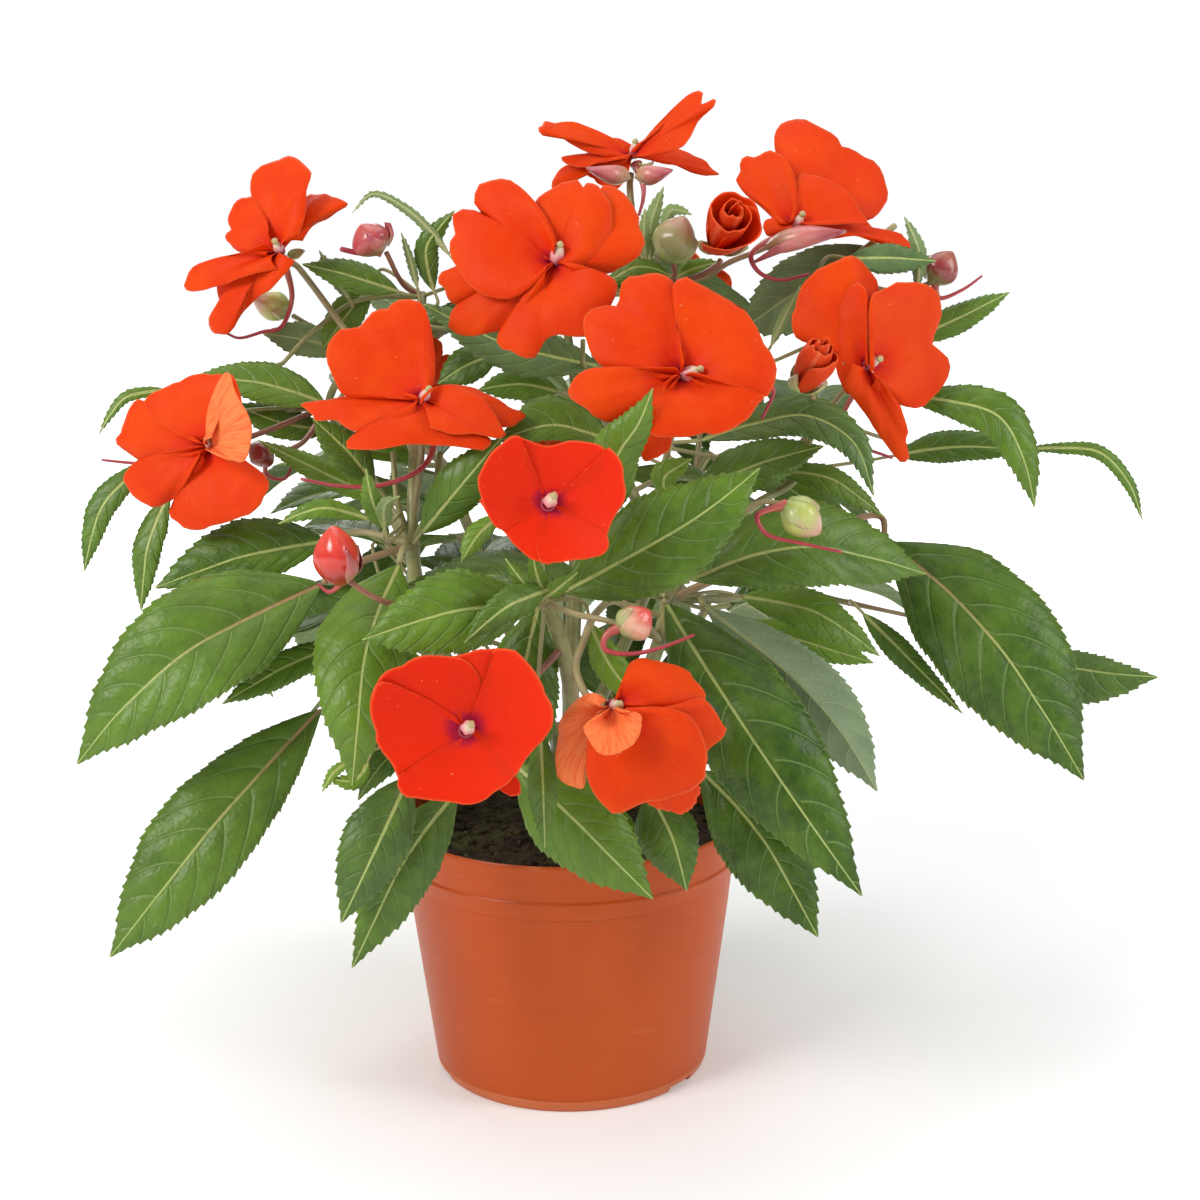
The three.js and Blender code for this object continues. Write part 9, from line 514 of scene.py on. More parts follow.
def leaf(shape, mid, left, right, peak, seed, tint, under=0, small=False, teeth=1.0, shift=(0, 0, 0), rows=8):
    """One blade: veined, quilted and toothed. tint is (young, pale, red at the base)."""
    M = np.asarray(mid, float) + np.asarray(shift, float)
    L = np.linalg.norm(np.diff(M, axis=0), axis=1).sum()
    EL, ER = np.asarray(left, float), np.asarray(right, float)
    W = (np.linalg.norm(EL) + np.linalg.norm(ER)) / 2
    n_teeth = int(round(L / (3.1 if not small else 2.3)))
    n_teeth = max(9, min(n_teeth, 34))
    nu = n_teeth * 4 if not small else n_teeth * 3
    half = rows if not small else 4
    ts = np.linspace(0, 1, nu + 1)
    C = spline(M, ts)
    T = unit(spline(M, np.minimum(ts + 0.02, 1)) - spline(M, np.maximum(ts - 0.02, 0)))
    # side directions carried along the midrib, and the face turned up and outwards
    c = nu // 2
    A, B = frames(T, c, EL), frames(T, c, ER)
    N = unit(np.cross(T, B - A))
    out = np.array([M[2][0], M[2][1], 0.0])
    out = unit(out) if np.linalg.norm(out) > 1 else np.array([0, -1.0, 0])
    ref = out * 0.7 + np.array([0, 0, 1.0])
    side = np.sign(np.dot(N[c], ref)) or 1.0
    if under:
        side = -side
    N = N * side
    w = np.maximum(blade_width(ts, peak), 0.0)
    w = w * (1 + 0.035 * wave(ts * 7, seed)) + 0.010
    s = np.concatenate([-(np.arange(half, 0, -1) / half) ** 1.12, [0.0], (np.arange(1, half + 1) / half) ** 1.12])
    P = np.zeros((nu + 1, 2 * half + 1, 3))
    s2 = np.abs(s)
    for j, v in enumerate(s):
        E = A if v < 0 else B
        P[:, j] = C + E * (w * abs(v))[:, None]
    TT, SS = np.meshgrid(ts, s, indexing="ij")
    WW = w[:, None] * np.ones_like(SS)
    AS = np.abs(SS)
    pairs = 8.0 if not small else 6.0
    lean = W / L
    off = np.where(SS < 0, 0.0, 0.45 * (0.4 + rnd(seed, 3)))
    ph = pairs * (TT - lean * WW * (0.50 * AS + 1.00 * AS ** 2.2)) + off + 0.35
    env = np.clip(AS * 3.2, 0, 1) * (1 - 0.55 * AS ** 2) * np.clip(WW * 1.4, 0, 1)
    puff = np.abs(np.sin(np.pi * ph)) ** 0.9
    k = min(W / 17.0, 1.15)
    h = 0.80 * k * env * (puff - 0.55)
    # midrib groove, crowned halves, wavy margin
    h -= 0.9 * k * np.exp(-(SS * WW * W / 1.5) ** 2) * np.clip(1.15 - TT, 0, 1)
    h += 0.055 * W * 4 * AS * (1 - AS) * WW
    h -= 0.05 * W * AS ** 3 * WW
    for sgn in (-1, 1):
        on = (SS * sgn > 0)
        h += on * (0.075 * W * AS ** 2.2 * WW * wave(TT * 9 + sgn * 3.1, seed + sgn * 0.7, 2))
    h += 0.04 * W * wave(TT * 4.2, seed + 5, 2) * WW
    if small:
        h *= 0.8
    P += N[:, None, :] * h[..., None]
    # teeth: each leans towards the tip and ends in a short bristle
    per = 4 if not small else 3
    prof = np.array([0.0, 0.25, 0.55, 1.0]) if per == 4 else np.array([0.0, 0.4, 1.0])
    tooth = np.array([prof[i % per] for i in range(nu + 1)]) * np.clip(ts * 8 - 0.35, 0, 1) * np.clip((1 - ts) * 9, 0.15, 1)
    size = (0.72 if not small else 0.50) * teeth * (0.75 + 0.25 * min(W / 12, 1))
    for j, E in ((0, A), (2 * half, B)):
        jit = 1 + 0.35 * wave(np.arange(nu + 1) * 1.9, seed + j, 2)
        P[:, j] += unit(E) * (tooth * size * jit)[:, None] + T * (tooth * size * 0.9)[:, None]
    thick = 0.42 if not small else 0.34
    tt = thick * (1 - 0.72 * AS ** 3)
    rib = 0.75 * k * np.exp(-(SS * WW * W / 1.0) ** 2) * np.clip(1.25 - TT, 0, 1)
    side_rib = 0.28 * k * np.exp(-((np.abs((ph + 0.5) % 1 - 0.5)) / 0.10) ** 2) * env
    top = P + N[:, None, :] * (tt / 2)[..., None]
    bot = P - N[:, None, :] * (tt / 2 + rib + side_rib)[..., None]
    V, q1, q2, q3 = sheet(top, bot)
    lf = np.stack([ph, SS, TT], -1).reshape(-1, 3)
    x = TT * L
    y = SS * WW * W
    mm = np.stack([x, y, np.full_like(x, seed * 17.3 % 100)], -1).reshape(-1, 3)
    shape.add(V, [q1, q2, q3], [0, 1, 0], {"lf": np.vstack([lf, lf]), "mm": np.vstack([mm, mm]), "tint": np.array(tint, float)})


# ------------------------------------------------------------ petals and flowers
def petal(shape, base, outline, normal, belly, tone, seed, lift, size):
    """One petal: a fan from the throat to its outline, rippled, veined and a little notched."""
    base, O, n = np.asarray(base, float), np.asarray(outline, float), unit(normal)
    na, nr = 34, 20
    ta = np.linspace(0, 1, na + 1)
    Q = spline(O, ta)
    r = 0.045 + 0.955 * np.linspace(0, 1, nr + 1) ** 0.9
    R, Aa = np.meshgrid(r, ta, indexing="ij")
    span = np.linalg.norm(Q - base, axis=1)
    edge = 1 + 0.016 * wave(ta * 17, seed, 3) - 0.02 * np.exp(-((ta - 0.5) / 0.05) ** 2) * (rnd(seed, 1) > 0.4)
    P = base + (Q * 1.0 - base)[None] * (R * (1 + (edge[None] - 1) * R ** 3))[..., None]
    mid = np.clip(4 * Aa * (1 - Aa), 0, 1)
    k = size / 28.0
    h = belly * 4 * R * (1 - R)
    h = h + k * 1.30 * R ** 2.2 * wave(Aa * 5.5 + rnd(seed, 2) * 6, seed + 1, 2)
    h = h + k * 0.10 * R * (0.35 + mid) * np.sin(2 * np.pi * (Aa * 7.5) + seed)
    h = h - k * 0.30 * np.exp(-((Aa - 0.5) / 0.09) ** 2) * R * (1 - 0.6 * R)
    h = h + lift * (0.25 + 0.75 * R)
    if belly < 0:
        # a bowl: the height follows the distance from the throat, so neighbours lie in one another
        rel = P - base
        ht = rel @ n
        flat = rel - ht[..., None] * n
        rho = np.clip(np.linalg.norm(flat, axis=-1) / size, 0, 1.15)
        turn = np.arctan2(flat @ unit(np.cross(n, [0.1, 0.2, 1.0])), flat @ unit(np.cross(n, unit(np.cross(n, [0.1, 0.2, 1.0])))))
        top_h = float(((O - base) @ n).max())
        h = (max(top_h, 0.0) + 3.0) * rho ** 1.7 - ht + 0.9 * k * rho ** 2 * np.sin(3 * turn + 1.0) + 0.35 * k * rho ** 2 * wave(Aa * 3.0, seed, 2) + min(top_h, 0.0) + 0.25 * lift
    P = P + n * h[..., None]
    th = 0.30
    g1 = np.gradient(P, axis=0)
    g2 = np.gradient(P, axis=1)
    nn = unit(np.cross(g1, g2))
    nn = nn * np.sign(np.sum(nn * n, -1, keepdims=True) + 1e-9)
    top, bot = P + nn * th / 2, P - nn * th / 2
    V, q1, q2, q3 = sheet(top, bot)
    pt = np.stack([Aa, R, np.full_like(R, float(tone))], -1).reshape(-1, 3)
    x = R * span[None, :] * np.cos((Aa - 0.5) * 2.0)
    y = R * span[None, :] * np.sin((Aa - 0.5) * 2.0)
    mm = np.stack([x, y, np.full_like(x, (seed * 7.7) % 50)], -1).reshape(-1, 3)
    shape.add(V, [q1, q2, q3], [0, 1, 0], {"pt": np.vstack([pt, pt]), "mm": np.vstack([mm, mm]), "tint": np.array([tone, rnd(seed, 4), 1.0 if belly < 0 else 0.0])})


def wrap(shape, foot, axis, radius, height, start, span, tuck, curl, seed, tone=0.0):
    """One petal rolled round the axis of a half-open flower, its free side tucked inwards."""
    ax = unit(axis)
    a = unit(np.cross(ax, [0, 0, 1.0]))
    b = np.cross(ax, a)
    v, u = np.meshgrid(np.linspace(0, 1, 21), np.linspace(0, 1, 41), indexing="ij")
    prof = 0.10 + 0.90 * v ** 0.6 * (1 - 0.22 * v ** 4) + curl * v ** 7
    rad = radius * prof * (1 - tuck * u) * (1 + 0.03 * wave(u * 6, seed, 2) * v)
    up = height * v * (1 - 0.30 * (2 * u - 1) ** 4 + 0.05 * wave(u * 8, seed + 2, 2) * v) - 0.06 * height * np.maximum(v - 0.85, 0) * 6 * max(curl, 0) * 3
    an = start + span * u
    P = np.asarray(foot, float) + ax * up[..., None] + (np.cos(an)[..., None] * a + np.sin(an)[..., None] * b) * rad[..., None]
    nn = unit(np.cross(np.gradient(P, axis=0), np.gradient(P, axis=1)))
    V, q1, q2, q3 = sheet(P + nn * 0.16, P - nn * 0.16)
    pt = np.stack([u, 0.45 + 0.55 * v, np.full_like(u, tone)], -1).reshape(-1, 3)
    mm = np.stack([an * radius, up, np.full_like(u, seed * 3.1 % 50)], -1).reshape(-1, 3)
    shape.add(V, [q1, q2, q3], [0, 1, 0], {"pt": np.vstack([pt, pt]), "mm": np.vstack([mm, mm]), "tint": np.array([tone, rnd(seed, 4), 0.3])})


def blob(shape, centre, axis, length, radius, mat, attr, lobes=0, depth=0.0, twist=0.0, tipness=1.0, nu=14, nv=18, bend=None):
    """A closed egg-like body along an axis, with optional spiral folds."""
    ax = unit(axis)
    a = unit(np.cross(ax, [0, 0, 1.0] if abs(ax[2]) < 0.9 else [1.0, 0, 0]))
    b = np.cross(ax, a)
    u = np.linspace(0, 1, nu + 1)[1:-1]
    prof = np.sin(np.pi * u ** tipness) ** 0.75
    an = np.arange(nv) * 2 * np.pi / nv
    rr = radius * prof[:, None] * (1 + depth * np.cos(lobes * an[None, :] + twist * u[:, None] * 2 * np.pi))
    c = np.asarray(centre, float)
    z = (u - 0.5) * length
    P = c + ax * z[:, None, None] + rr[..., None] * (np.cos(an)[None, :, None] * a + np.sin(an)[None, :, None] * b)
    V = np.vstack([P.reshape(-1, 3), [c - ax * length / 2], [c + ax * length / 2]])
    m = nu - 1
    I = np.arange(m * nv).reshape(m, nv)
    J = np.roll(I, -1, axis=1)
    q = np.stack([I[:-1], J[:-1], J[1:], I[1:]], -1).reshape(-1, 4)
    e0, e1 = len(V) - 2, len(V) - 1
    caps = np.vstack([np.stack([np.full(nv, e0), J[0], I[0]], -1), np.stack([np.full(nv, e1), I[-1], J[-1]], -1)])
    U = np.concatenate([np.repeat(u, nv), [0, 1]])
    AN = np.concatenate([np.tile(an / (2 * np.pi), m), [0, 0]])
    bd = np.stack([U, AN * 1.0, np.full_like(U, radius)], -1)
    shape.add(V, [q, caps], [mat, mat], {"bd": bd, "mm": V - c, "tint": np.array(attr, float)})


def scale_leaf(shape, foot, tip, wide, out, mat, attr, cup=0.35):
    """A small sepal: pointed, cupped round what it holds."""
    foot, tip, out = np.asarray(foot, float), np.asarray(tip, float), unit(out)
    ax = tip - foot
    L = np.linalg.norm(ax)
    sd = unit(np.cross(ax, out))
    out = unit(np.cross(sd, ax))
    nu, nv = 12, 6
    u = np.linspace(0, 1, nu + 1)
    v = np.linspace(-1, 1, nv + 1)
    U, S = np.meshgrid(u, v, indexing="ij")
    w = wide * (np.sin(np.pi * np.clip(U, 0, 1) ** 0.75) ** 0.8 + 0.03) * (1 - 0.25 * U)
    P = foot + ax * U[..., None] + sd * (w * S)[..., None] + out * (0.18 * L * np.sin(np.pi * U) - cup * wide * S ** 2)[..., None]
    V, q1, q2, q3 = sheet(P + out * 0.16, P - out * 0.16)
    bd = np.stack([U, S * 0.5 + 0.5, np.full_like(U, wide)], -1).reshape(-1, 3)
    shape.add(V, [q1, q2, q3], [mat, mat, mat], {"bd": np.vstack([bd, bd]), "mm": V - foot, "tint": np.array(attr, float)})


# ------------------------------------------------------------ materials
class Nodes:
    """Short spellings for a material's node tree."""

    def __init__(self, name):
        self.mat = bpy.data.materials.new(name)
        self.mat.use_nodes = True
        self.t = self.mat.node_tree
        self.t.nodes.clear()
        self.out = self.t.nodes.new("ShaderNodeOutputMaterial")
        self.p = self.t.nodes.new("ShaderNodeBsdfPrincipled")
        self.t.links.new(self.p.outputs[0], self.out.inputs[0])

    def link(self, a, b):
        if isinstance(a, (int, float)):
            b.default_value = a
        elif isinstance(a, (tuple, list)):
            b.default_value = (*a, 1.0) if len(a) == 3 and len(b.default_value) == 4 else a
        else:
            self.t.links.new(a, b)

    def math(self, op, a, b=0.0, c=None, clamp=False):
        n = self.t.nodes.new("ShaderNodeMath")
        n.operation = op
        n.use_clamp = clamp
        self.link(a, n.inputs[0])
        self.link(b, n.inputs[1])
        if c is not None:
            self.link(c, n.inputs[2])
        return n.outputs[0]

    def ramp(self, x, lo, hi, a=0.0, b=1.0, smooth=True):
        n = self.t.nodes.new("ShaderNodeMapRange")
        n.interpolation_type = "SMOOTHSTEP" if smooth else "LINEAR"
        self.link(x, n.inputs[0])
        for i, v in enumerate((lo, hi, a, b)):
            self.link(v, n.inputs[i + 1])
        return n.outputs[0]

    def mix(self, f, a, b, mode="MIX"):
        n = self.t.nodes.new("ShaderNodeMix")
        n.data_type = "RGBA"
        n.blend_type = mode
        n.clamp_factor = True
        self.link(f, n.inputs[0])
        self.link(a, n.inputs[6])
        self.link(b, n.inputs[7])
        return n.outputs[2]

    def attr(self, name):
        n = self.t.nodes.new("ShaderNodeAttribute")
        n.attribute_name = name
        return n.outputs["Vector"]

    def xyz(self, v):
        n = self.t.nodes.new("ShaderNodeSeparateXYZ")
        self.link(v, n.inputs[0])
        return n.outputs[0], n.outputs[1], n.outputs[2]

    def vec(self, x, y, z=0.0):
        n = self.t.nodes.new("ShaderNodeCombineXYZ")
        for i, v in enumerate((x, y, z)):
            self.link(v, n.inputs[i])
        return n.outputs[0]

    def noise(self, v, scale, detail=3.0, rough=0.55, distort=0.0):
        n = self.t.nodes.new("ShaderNodeTexNoise")
        self.link(v, n.inputs["Vector"])
        n.inputs["Scale"].default_value = scale
        n.inputs["Detail"].default_value = detail
        n.inputs["Roughness"].default_value = rough
        n.inputs["Distortion"].default_value = distort
        return n.outputs["Fac"]

    def cells(self, v, scale, feature="DISTANCE_TO_EDGE", rand=1.0):
        n = self.t.nodes.new("ShaderNodeTexVoronoi")
        n.feature = feature
        self.link(v, n.inputs["Vector"])
        n.inputs["Scale"].default_value = scale
        n.inputs["Randomness"].default_value = rand
        return n.outputs["Distance"]

    def bump(self, height, strength, distance):
        n = self.t.nodes.new("ShaderNodeBump")
        n.inputs["Strength"].default_value = strength
        n.inputs["Distance"].default_value = distance
        self.link(height, n.inputs["Height"])
        self.t.links.new(n.outputs[0], self.p.inputs["Normal"])

    def set(self, **kw):
        names = {"color": "Base Color", "rough": "Roughness", "spec": "Specular IOR Level", "coat": "Coat Weight", "coat_rough": "Coat Roughness",
                 "sss": "Subsurface Weight", "sheen": "Sheen Weight", "sheen_rough": "Sheen Roughness"}
        for k, v in kw.items():
            self.link(v, self.p.inputs[names[k]])
        return self.mat


def leaf_material(name, under):
    m = Nodes(name)
    ph, s, t = m.xyz(m.attr("lf"))
    mm = m.attr("mm")
    young, pale, red = m.xyz(m.attr("tint"))
    a = m.math("ABSOLUTE", s)
    # distance to the nearest side vein, 0 on the vein and 0.5 midway
    f = m.math("FRACT", m.math("ADD", ph, 0.5))
    d = m.math("ABSOLUTE", m.math("SUBTRACT", f, 0.5))
    _, y, _ = m.xyz(mm)
    y = m.math("ABSOLUTE", y)
    big = m.noise(mm, 0.07, 3.0, 0.6)
    fine = m.noise(mm, 0.30, 3.0, 0.5)
    net = m.cells(mm, 0.42)
    fade = m.ramp(a, 0.55, 1.0, 1.0, 0.25)
    vein = m.math("MULTIPLY", m.ramp(d, 0.008, 0.042, 1.0, 0.0), fade)
    vein_valley_shade = m.ramp(d, 0.02, 0.30, 1.0, 0.0)
    rib_w = m.ramp(t, 0.0, 1.0, 1.05, 0.30, False)
    rib = m.ramp(m.math("DIVIDE", y, rib_w), 0.35, 0.85, 1.0, 0.0)
    web = m.ramp(net, 0.0, 0.10, 1.0, 0.0)
    if not under:
        base = m.mix(m.ramp(big, 0.32, 0.70), (0.026, 0.064, 0.003), (0.072, 0.142, 0.006))
        base = m.mix(m.math("MULTIPLY", m.ramp(fine, 0.40, 0.75), 0.35), base, (0.100, 0.190, 0.010))
        # painted shade: darker green in the sunken valleys along the side veins, where the quilted blade dips between
        # its puffs
        base = m.mix(m.math("MULTIPLY", vein_valley_shade, 0.30), base, (0.022, 0.075, 0.008))
        base = m.mix(young, base, (0.225, 0.380, 0.028))
        base = m.mix(pale, base, (0.190, 0.270, 0.130))
        base = m.mix(m.math("MULTIPLY", web, 0.07), base, (0.135, 0.260, 0.035))
        base = m.mix(m.math("MULTIPLY", vein, 0.50), base, (0.220, 0.310, 0.070))
        midcol = m.mix(m.math("MULTIPLY", red, m.ramp(t, 0.05, 0.75, 1.0, 0.0)), (0.420, 0.500, 0.150), (0.400, 0.200, 0.110))
        base = m.mix(m.math("MULTIPLY", rib, 0.85), base, midcol)
        # dried water marks and scratches
        mark = m.ramp(m.noise(mm, 0.22, 5.0, 0.7, 1.5), 0.665, 0.69)
        mark = m.math("MULTIPLY", mark, m.ramp(m.noise(mm, 0.035, 2.0), 0.46, 0.58))
        base = m.mix(m.math("MULTIPLY", mark, 0.42), base, (0.42, 0.47, 0.36))
        edge = m.ramp(a, 0.95, 1.0)
        base = m.mix(m.math("MULTIPLY", edge, 0.40), base, (0.200, 0.270, 0.060))
        rough = m.math("ADD", m.ramp(fine, 0.2, 0.8, 0.34, 0.48, False), m.math("MULTIPLY", mark, 0.25))
        m.set(color=base, rough=rough, spec=0.30, coat=0.06, coat_rough=0.30)
        h = m.math("ADD", m.math("MULTIPLY", m.ramp(net, 0.0, 0.35), 0.22), m.math("MULTIPLY", fine, 0.20))
        h = m.math("SUBTRACT", h, m.math("MULTIPLY", m.ramp(d, 0.0, 0.12, 1.0, 0.0), 0.8))
        h = m.math("SUBTRACT", h, m.math("MULTIPLY", rib, 0.5))
        m.bump(h, 0.60, 0.0006)
    else:
        base = m.mix(m.ramp(big, 0.30, 0.70), (0.115, 0.185, 0.065), (0.185, 0.265, 0.110))
        base = m.mix(young, base, (0.260, 0.360, 0.095))
        base = m.mix(m.math("MULTIPLY", pale, 0.8), base, (0.300, 0.370, 0.235))
        base = m.mix(m.math("MULTIPLY", web, 0.20), base, (0.260, 0.340, 0.160))
        base = m.mix(m.math("MULTIPLY", vein, 0.70), base, (0.330, 0.420, 0.190))
        midcol = m.mix(m.math("MULTIPLY", red, m.ramp(t, 0.05, 0.75, 1.0, 0.0)), (0.420, 0.480, 0.210), (0.430, 0.230, 0.160))
        base = m.mix(m.math("MULTIPLY", rib, 0.9), base, midcol)
        m.set(color=base, rough=m.ramp(fine, 0.2, 0.8, 0.50, 0.66, False), spec=0.35)
        h = m.math("ADD", m.math("MULTIPLY", fine, 0.4), m.math("MULTIPLY", vein, 0.8))
        h = m.math("ADD", h, m.math("MULTIPLY", web, 0.35))
        m.bump(h, 0.5, 0.0005)
    return m.mat


def petal_material(name, back):
    m = Nodes(name)
    ang, r, tone = m.xyz(m.attr("pt"))
    mm = m.attr("mm")
    _, var, bowl = m.xyz(m.attr("tint"))
    big = m.noise(mm, 0.06, 3.0, 0.6)
    rays = m.noise(m.vec(m.math("MULTIPLY", ang, 60.0), m.math("MULTIPLY", r, 3.0), var), 1.0, 3.0, 0.6)
    sparkle_glint_mask = m.ramp(m.noise(mm, 0.9, 2.0, 0.5), 0.735, 0.76)
    scratch = m.math("MULTIPLY", m.ramp(m.noise(mm, 0.20, 6.0, 0.75, 2.5), 0.665, 0.685), m.ramp(m.noise(mm, 0.05, 2.0), 0.50, 0.60))
    base = m.mix(m.ramp(big, 0.30, 0.72), (0.640, 0.034, 0.0010), (0.700, 0.054, 0.0012))
    base = m.mix(m.math("MULTIPLY", m.ramp(rays, 0.42, 0.72), 0.14), base, (0.600, 0.024, 0.001))
    base = m.mix(m.math("MULTIPLY", bowl, 0.8), base, (0.690, 0.014, 0.0015))
    base = m.mix(m.ramp(r, 0.10, 0.50, 0.55, 0.0), base, (0.700, 0.020, 0.010))
    throat = m.ramp(m.math("SUBTRACT", m.math("ADD", r, m.math("MULTIPLY", rays, 0.10)), m.math("MULTIPLY", bowl, 0.10)), 0.09, 0.245, 1.0, 0.0)
    base = m.mix(throat, base, (0.330, 0.005, 0.030))
    rim = m.ramp(r, 0.965, 1.0)
    base = m.mix(m.math("MULTIPLY", rim, 0.30), base, (0.900, 0.210, 0.060))
    if back:
        base = m.mix(0.28, base, (0.560, 0.080, 0.030))
        base = m.mix(m.math("MULTIPLY", m.ramp(m.math("ABSOLUTE", m.math("SUBTRACT", ang, 0.5)), 0.0, 0.06, 1.0, 0.0), 0.35), base, (0.780, 0.260, 0.120))
    base = m.mix(m.math("MULTIPLY", tone, 0.85), base, m.mix(m.ramp(rays, 0.4, 0.7), (0.900, 0.230, 0.070), (0.860, 0.130, 0.035)))
    # painted glints: small lighter spots that stand in for the sparkle of light on the velvety petal surface
    base = m.mix(m.math("MULTIPLY", sparkle_glint_mask, 0.35), base, (0.95, 0.35, 0.18))
    base = m.mix(m.math("MULTIPLY", scratch, 0.25), base, (0.95, 0.30, 0.14))
    m.set(color=base, rough=m.ramp(big, 0.2, 0.8, 0.46, 0.58, False), spec=0.10, sss=0.12)
    m.p.inputs["Subsurface Radius"].default_value = (1.0, 0.12, 0.04)
    m.p.inputs["Subsurface Scale"].default_value = 0.0025
    h = m.math("ADD", m.math("MULTIPLY", rays, 0.6), m.math("MULTIPLY", m.noise(mm, 2.2, 2.0), 0.4))
    m.bump(h, 0.40, 0.0004)
    return m.mat


def stalk_material(name):
    """Stems and stalks: tint is (redness, paleness, 0)."""
    m = Nodes(name)
    along, around, _ = m.xyz(m.attr("lf"))
    mm = m.attr("mm")
    red, pale, _ = m.xyz(m.attr("tint"))
    n = m.noise(m.vec(m.math("MULTIPLY", along, 0.10), m.math("MULTIPLY", around, 4.0), 0.0), 1.0, 3.0, 0.6)
    streak = m.noise(m.vec(m.math("MULTIPLY", along, 0.04), m.math("MULTIPLY", around, 14.0), 3.0), 1.0, 3.0, 0.6)
    green = m.mix(m.ramp(n, 0.35, 0.70), (0.140, 0.185, 0.045), (0.290, 0.330, 0.110))
    green = m.mix(pale, green, (0.430, 0.430, 0.190))
    redc = m.mix(m.ramp(n, 0.35, 0.70), (0.180, 0.018, 0.028), (0.380, 0.080, 0.060))
    base = m.mix(m.math("ADD", red, m.math("MULTIPLY", m.ramp(streak, 0.50, 0.68), 0.30), clamp=True), green, redc)
    base = m.mix(m.math("MULTIPLY", m.ramp(m.noise(mm, 1.2, 3.0), 0.62, 0.70), 0.35), base, (0.42, 0.40, 0.26))
    m.set(color=base, rough=m.ramp(n, 0.2, 0.8, 0.32, 0.48, False), spec=0.5, coat=0.12, coat_rough=0.3)
    m.bump(m.math("ADD", m.math("MULTIPLY", streak, 0.7), m.math("MULTIPLY", n, 0.3)), 0.4, 0.0004)
    return m.mat


def bud_material(name, low, mid, high, gloss=0.25):
    """Buds, sepals and stamens: colour runs from the foot to the tip."""
    m = Nodes(name)
    u, around, _ = m.xyz(m.attr("bd"))
    mm = m.attr("mm")
    n = m.noise(mm, 0.35, 3.0, 0.6)
    f = m.noise(m.vec(m.math("MULTIPLY", around, 22.0), m.math("MULTIPLY", u, 1.6), 0.0), 1.0, 3.0)
    k = m.math("ADD", u, m.math("MULTIPLY", m.math("SUBTRACT", n, 0.5), 0.35))
    base = m.mix(m.ramp(k, 0.10, 0.50), low, mid)
    base = m.mix(m.ramp(k, 0.50, 0.92), base, high)
    base = m.mix(m.math("MULTIPLY", m.ramp(f, 0.45, 0.70), 0.28), base, tuple(c * 0.55 for c in mid))
    m.set(color=base, rough=m.ramp(n, 0.2, 0.8, gloss, gloss + 0.14, False), spec=0.55, coat=0.35, coat_rough=0.16, sss=0.08)
    m.p.inputs["Subsurface Radius"].default_value = (1.0, 0.25, 0.10)
    m.p.inputs["Subsurface Scale"].default_value = 0.0015
    m.bump(m.math("ADD", m.math("MULTIPLY", f, 0.6), m.math("MULTIPLY", n, 0.4)), 0.35, 0.0003)
    return m.mat


def pot_material():
    m = Nodes("moulded_plastic")
    g = m.t.nodes.new("ShaderNodeTexCoord")
    v = g.outputs["Object"]
    x, y, z = m.xyz(v)
    big = m.noise(v, 14.0, 3.0, 0.55)
    fine = m.noise(v, 520.0, 3.0, 0.6)
    rings = m.noise(m.vec(m.math("MULTIPLY", m.math("ADD", x, y), 3.0), 0.0, m.math("MULTIPLY", z, 900.0)), 1.0, 2.0)
    dust = m.ramp(m.noise(v, 70.0, 6.0, 0.7, 1.0), 0.60, 0.78)
    base = m.mix(m.ramp(big, 0.30, 0.70), (0.440, 0.062, 0.005), (0.500, 0.078, 0.008))
    base = m.mix(m.math("MULTIPLY", m.ramp(rings, 0.40, 0.65), 0.07), base, (0.530, 0.135, 0.036))
    base = m.mix(m.math("MULTIPLY", dust, 0.10), base, (0.560, 0.190, 0.075))
    foot = m.math("MULTIPLY", m.ramp(z, 0.0035, 0.0045, 1.0, 0.0), m.ramp(z, 0.0, 0.0012, 0.0, 1.0))
    base = m.mix(m.math("MULTIPLY", foot, 0.35), base, (0.640, 0.250, 0.110))
    scuff = m.math("MULTIPLY", m.ramp(m.noise(m.vec(m.math("MULTIPLY", x, 60.0), m.math("MULTIPLY", y, 60.0), m.math("MULTIPLY", z, 400.0)), 1.0, 4.0), 0.66, 0.70), 0.18)
    base = m.mix(scuff, base, (0.600, 0.240, 0.120))
    rough = m.math("ADD", m.ramp(big, 0.2, 0.8, 0.34, 0.42, False), m.math("MULTIPLY", dust, 0.12))
    m.set(color=base, rough=rough, spec=0.24, sss=0.04)
    m.p.inputs["Subsurface Radius"].default_value = (1.0, 0.3, 0.1)
    m.p.inputs["Subsurface Scale"].default_value = 0.0008
    m.bump(m.math("ADD", m.math("MULTIPLY", fine, 0.5), m.math("MULTIPLY", rings, 0.5)), 0.22, 0.00025)
    return m.mat


def soil_material():
    m = Nodes("peat")
    g = m.t.nodes.new("ShaderNodeTexCoord")
    v = g.outputs["Object"]
    n = m.noise(v, 160.0, 6.0, 0.7)
    c = m.cells(v, 330.0, "F1")
    moss = m.math("MULTIPLY", m.ramp(m.noise(v, 38.0, 4.0, 0.6), 0.52, 0.66), 0.55)
    bits = m.ramp(m.noise(v, 420.0, 2.0), 0.68, 0.72)
    base = m.mix(m.ramp(n, 0.3, 0.7), (0.012, 0.0075, 0.0045), (0.075, 0.046, 0.026))
    base = m.mix(moss, base, (0.105, 0.112, 0.032))
    base = m.mix(m.math("MULTIPLY", bits, 0.6), base, (0.24, 0.19, 0.11))
    m.set(color=base, rough=m.ramp(n, 0.2, 0.8, 0.72, 0.95, False), spec=0.25)
    m.bump(m.math("ADD", m.math("MULTIPLY", n, 0.7), m.math("MULTIPLY", c, 0.6)), 0.9, 0.0012)
    return m.mat


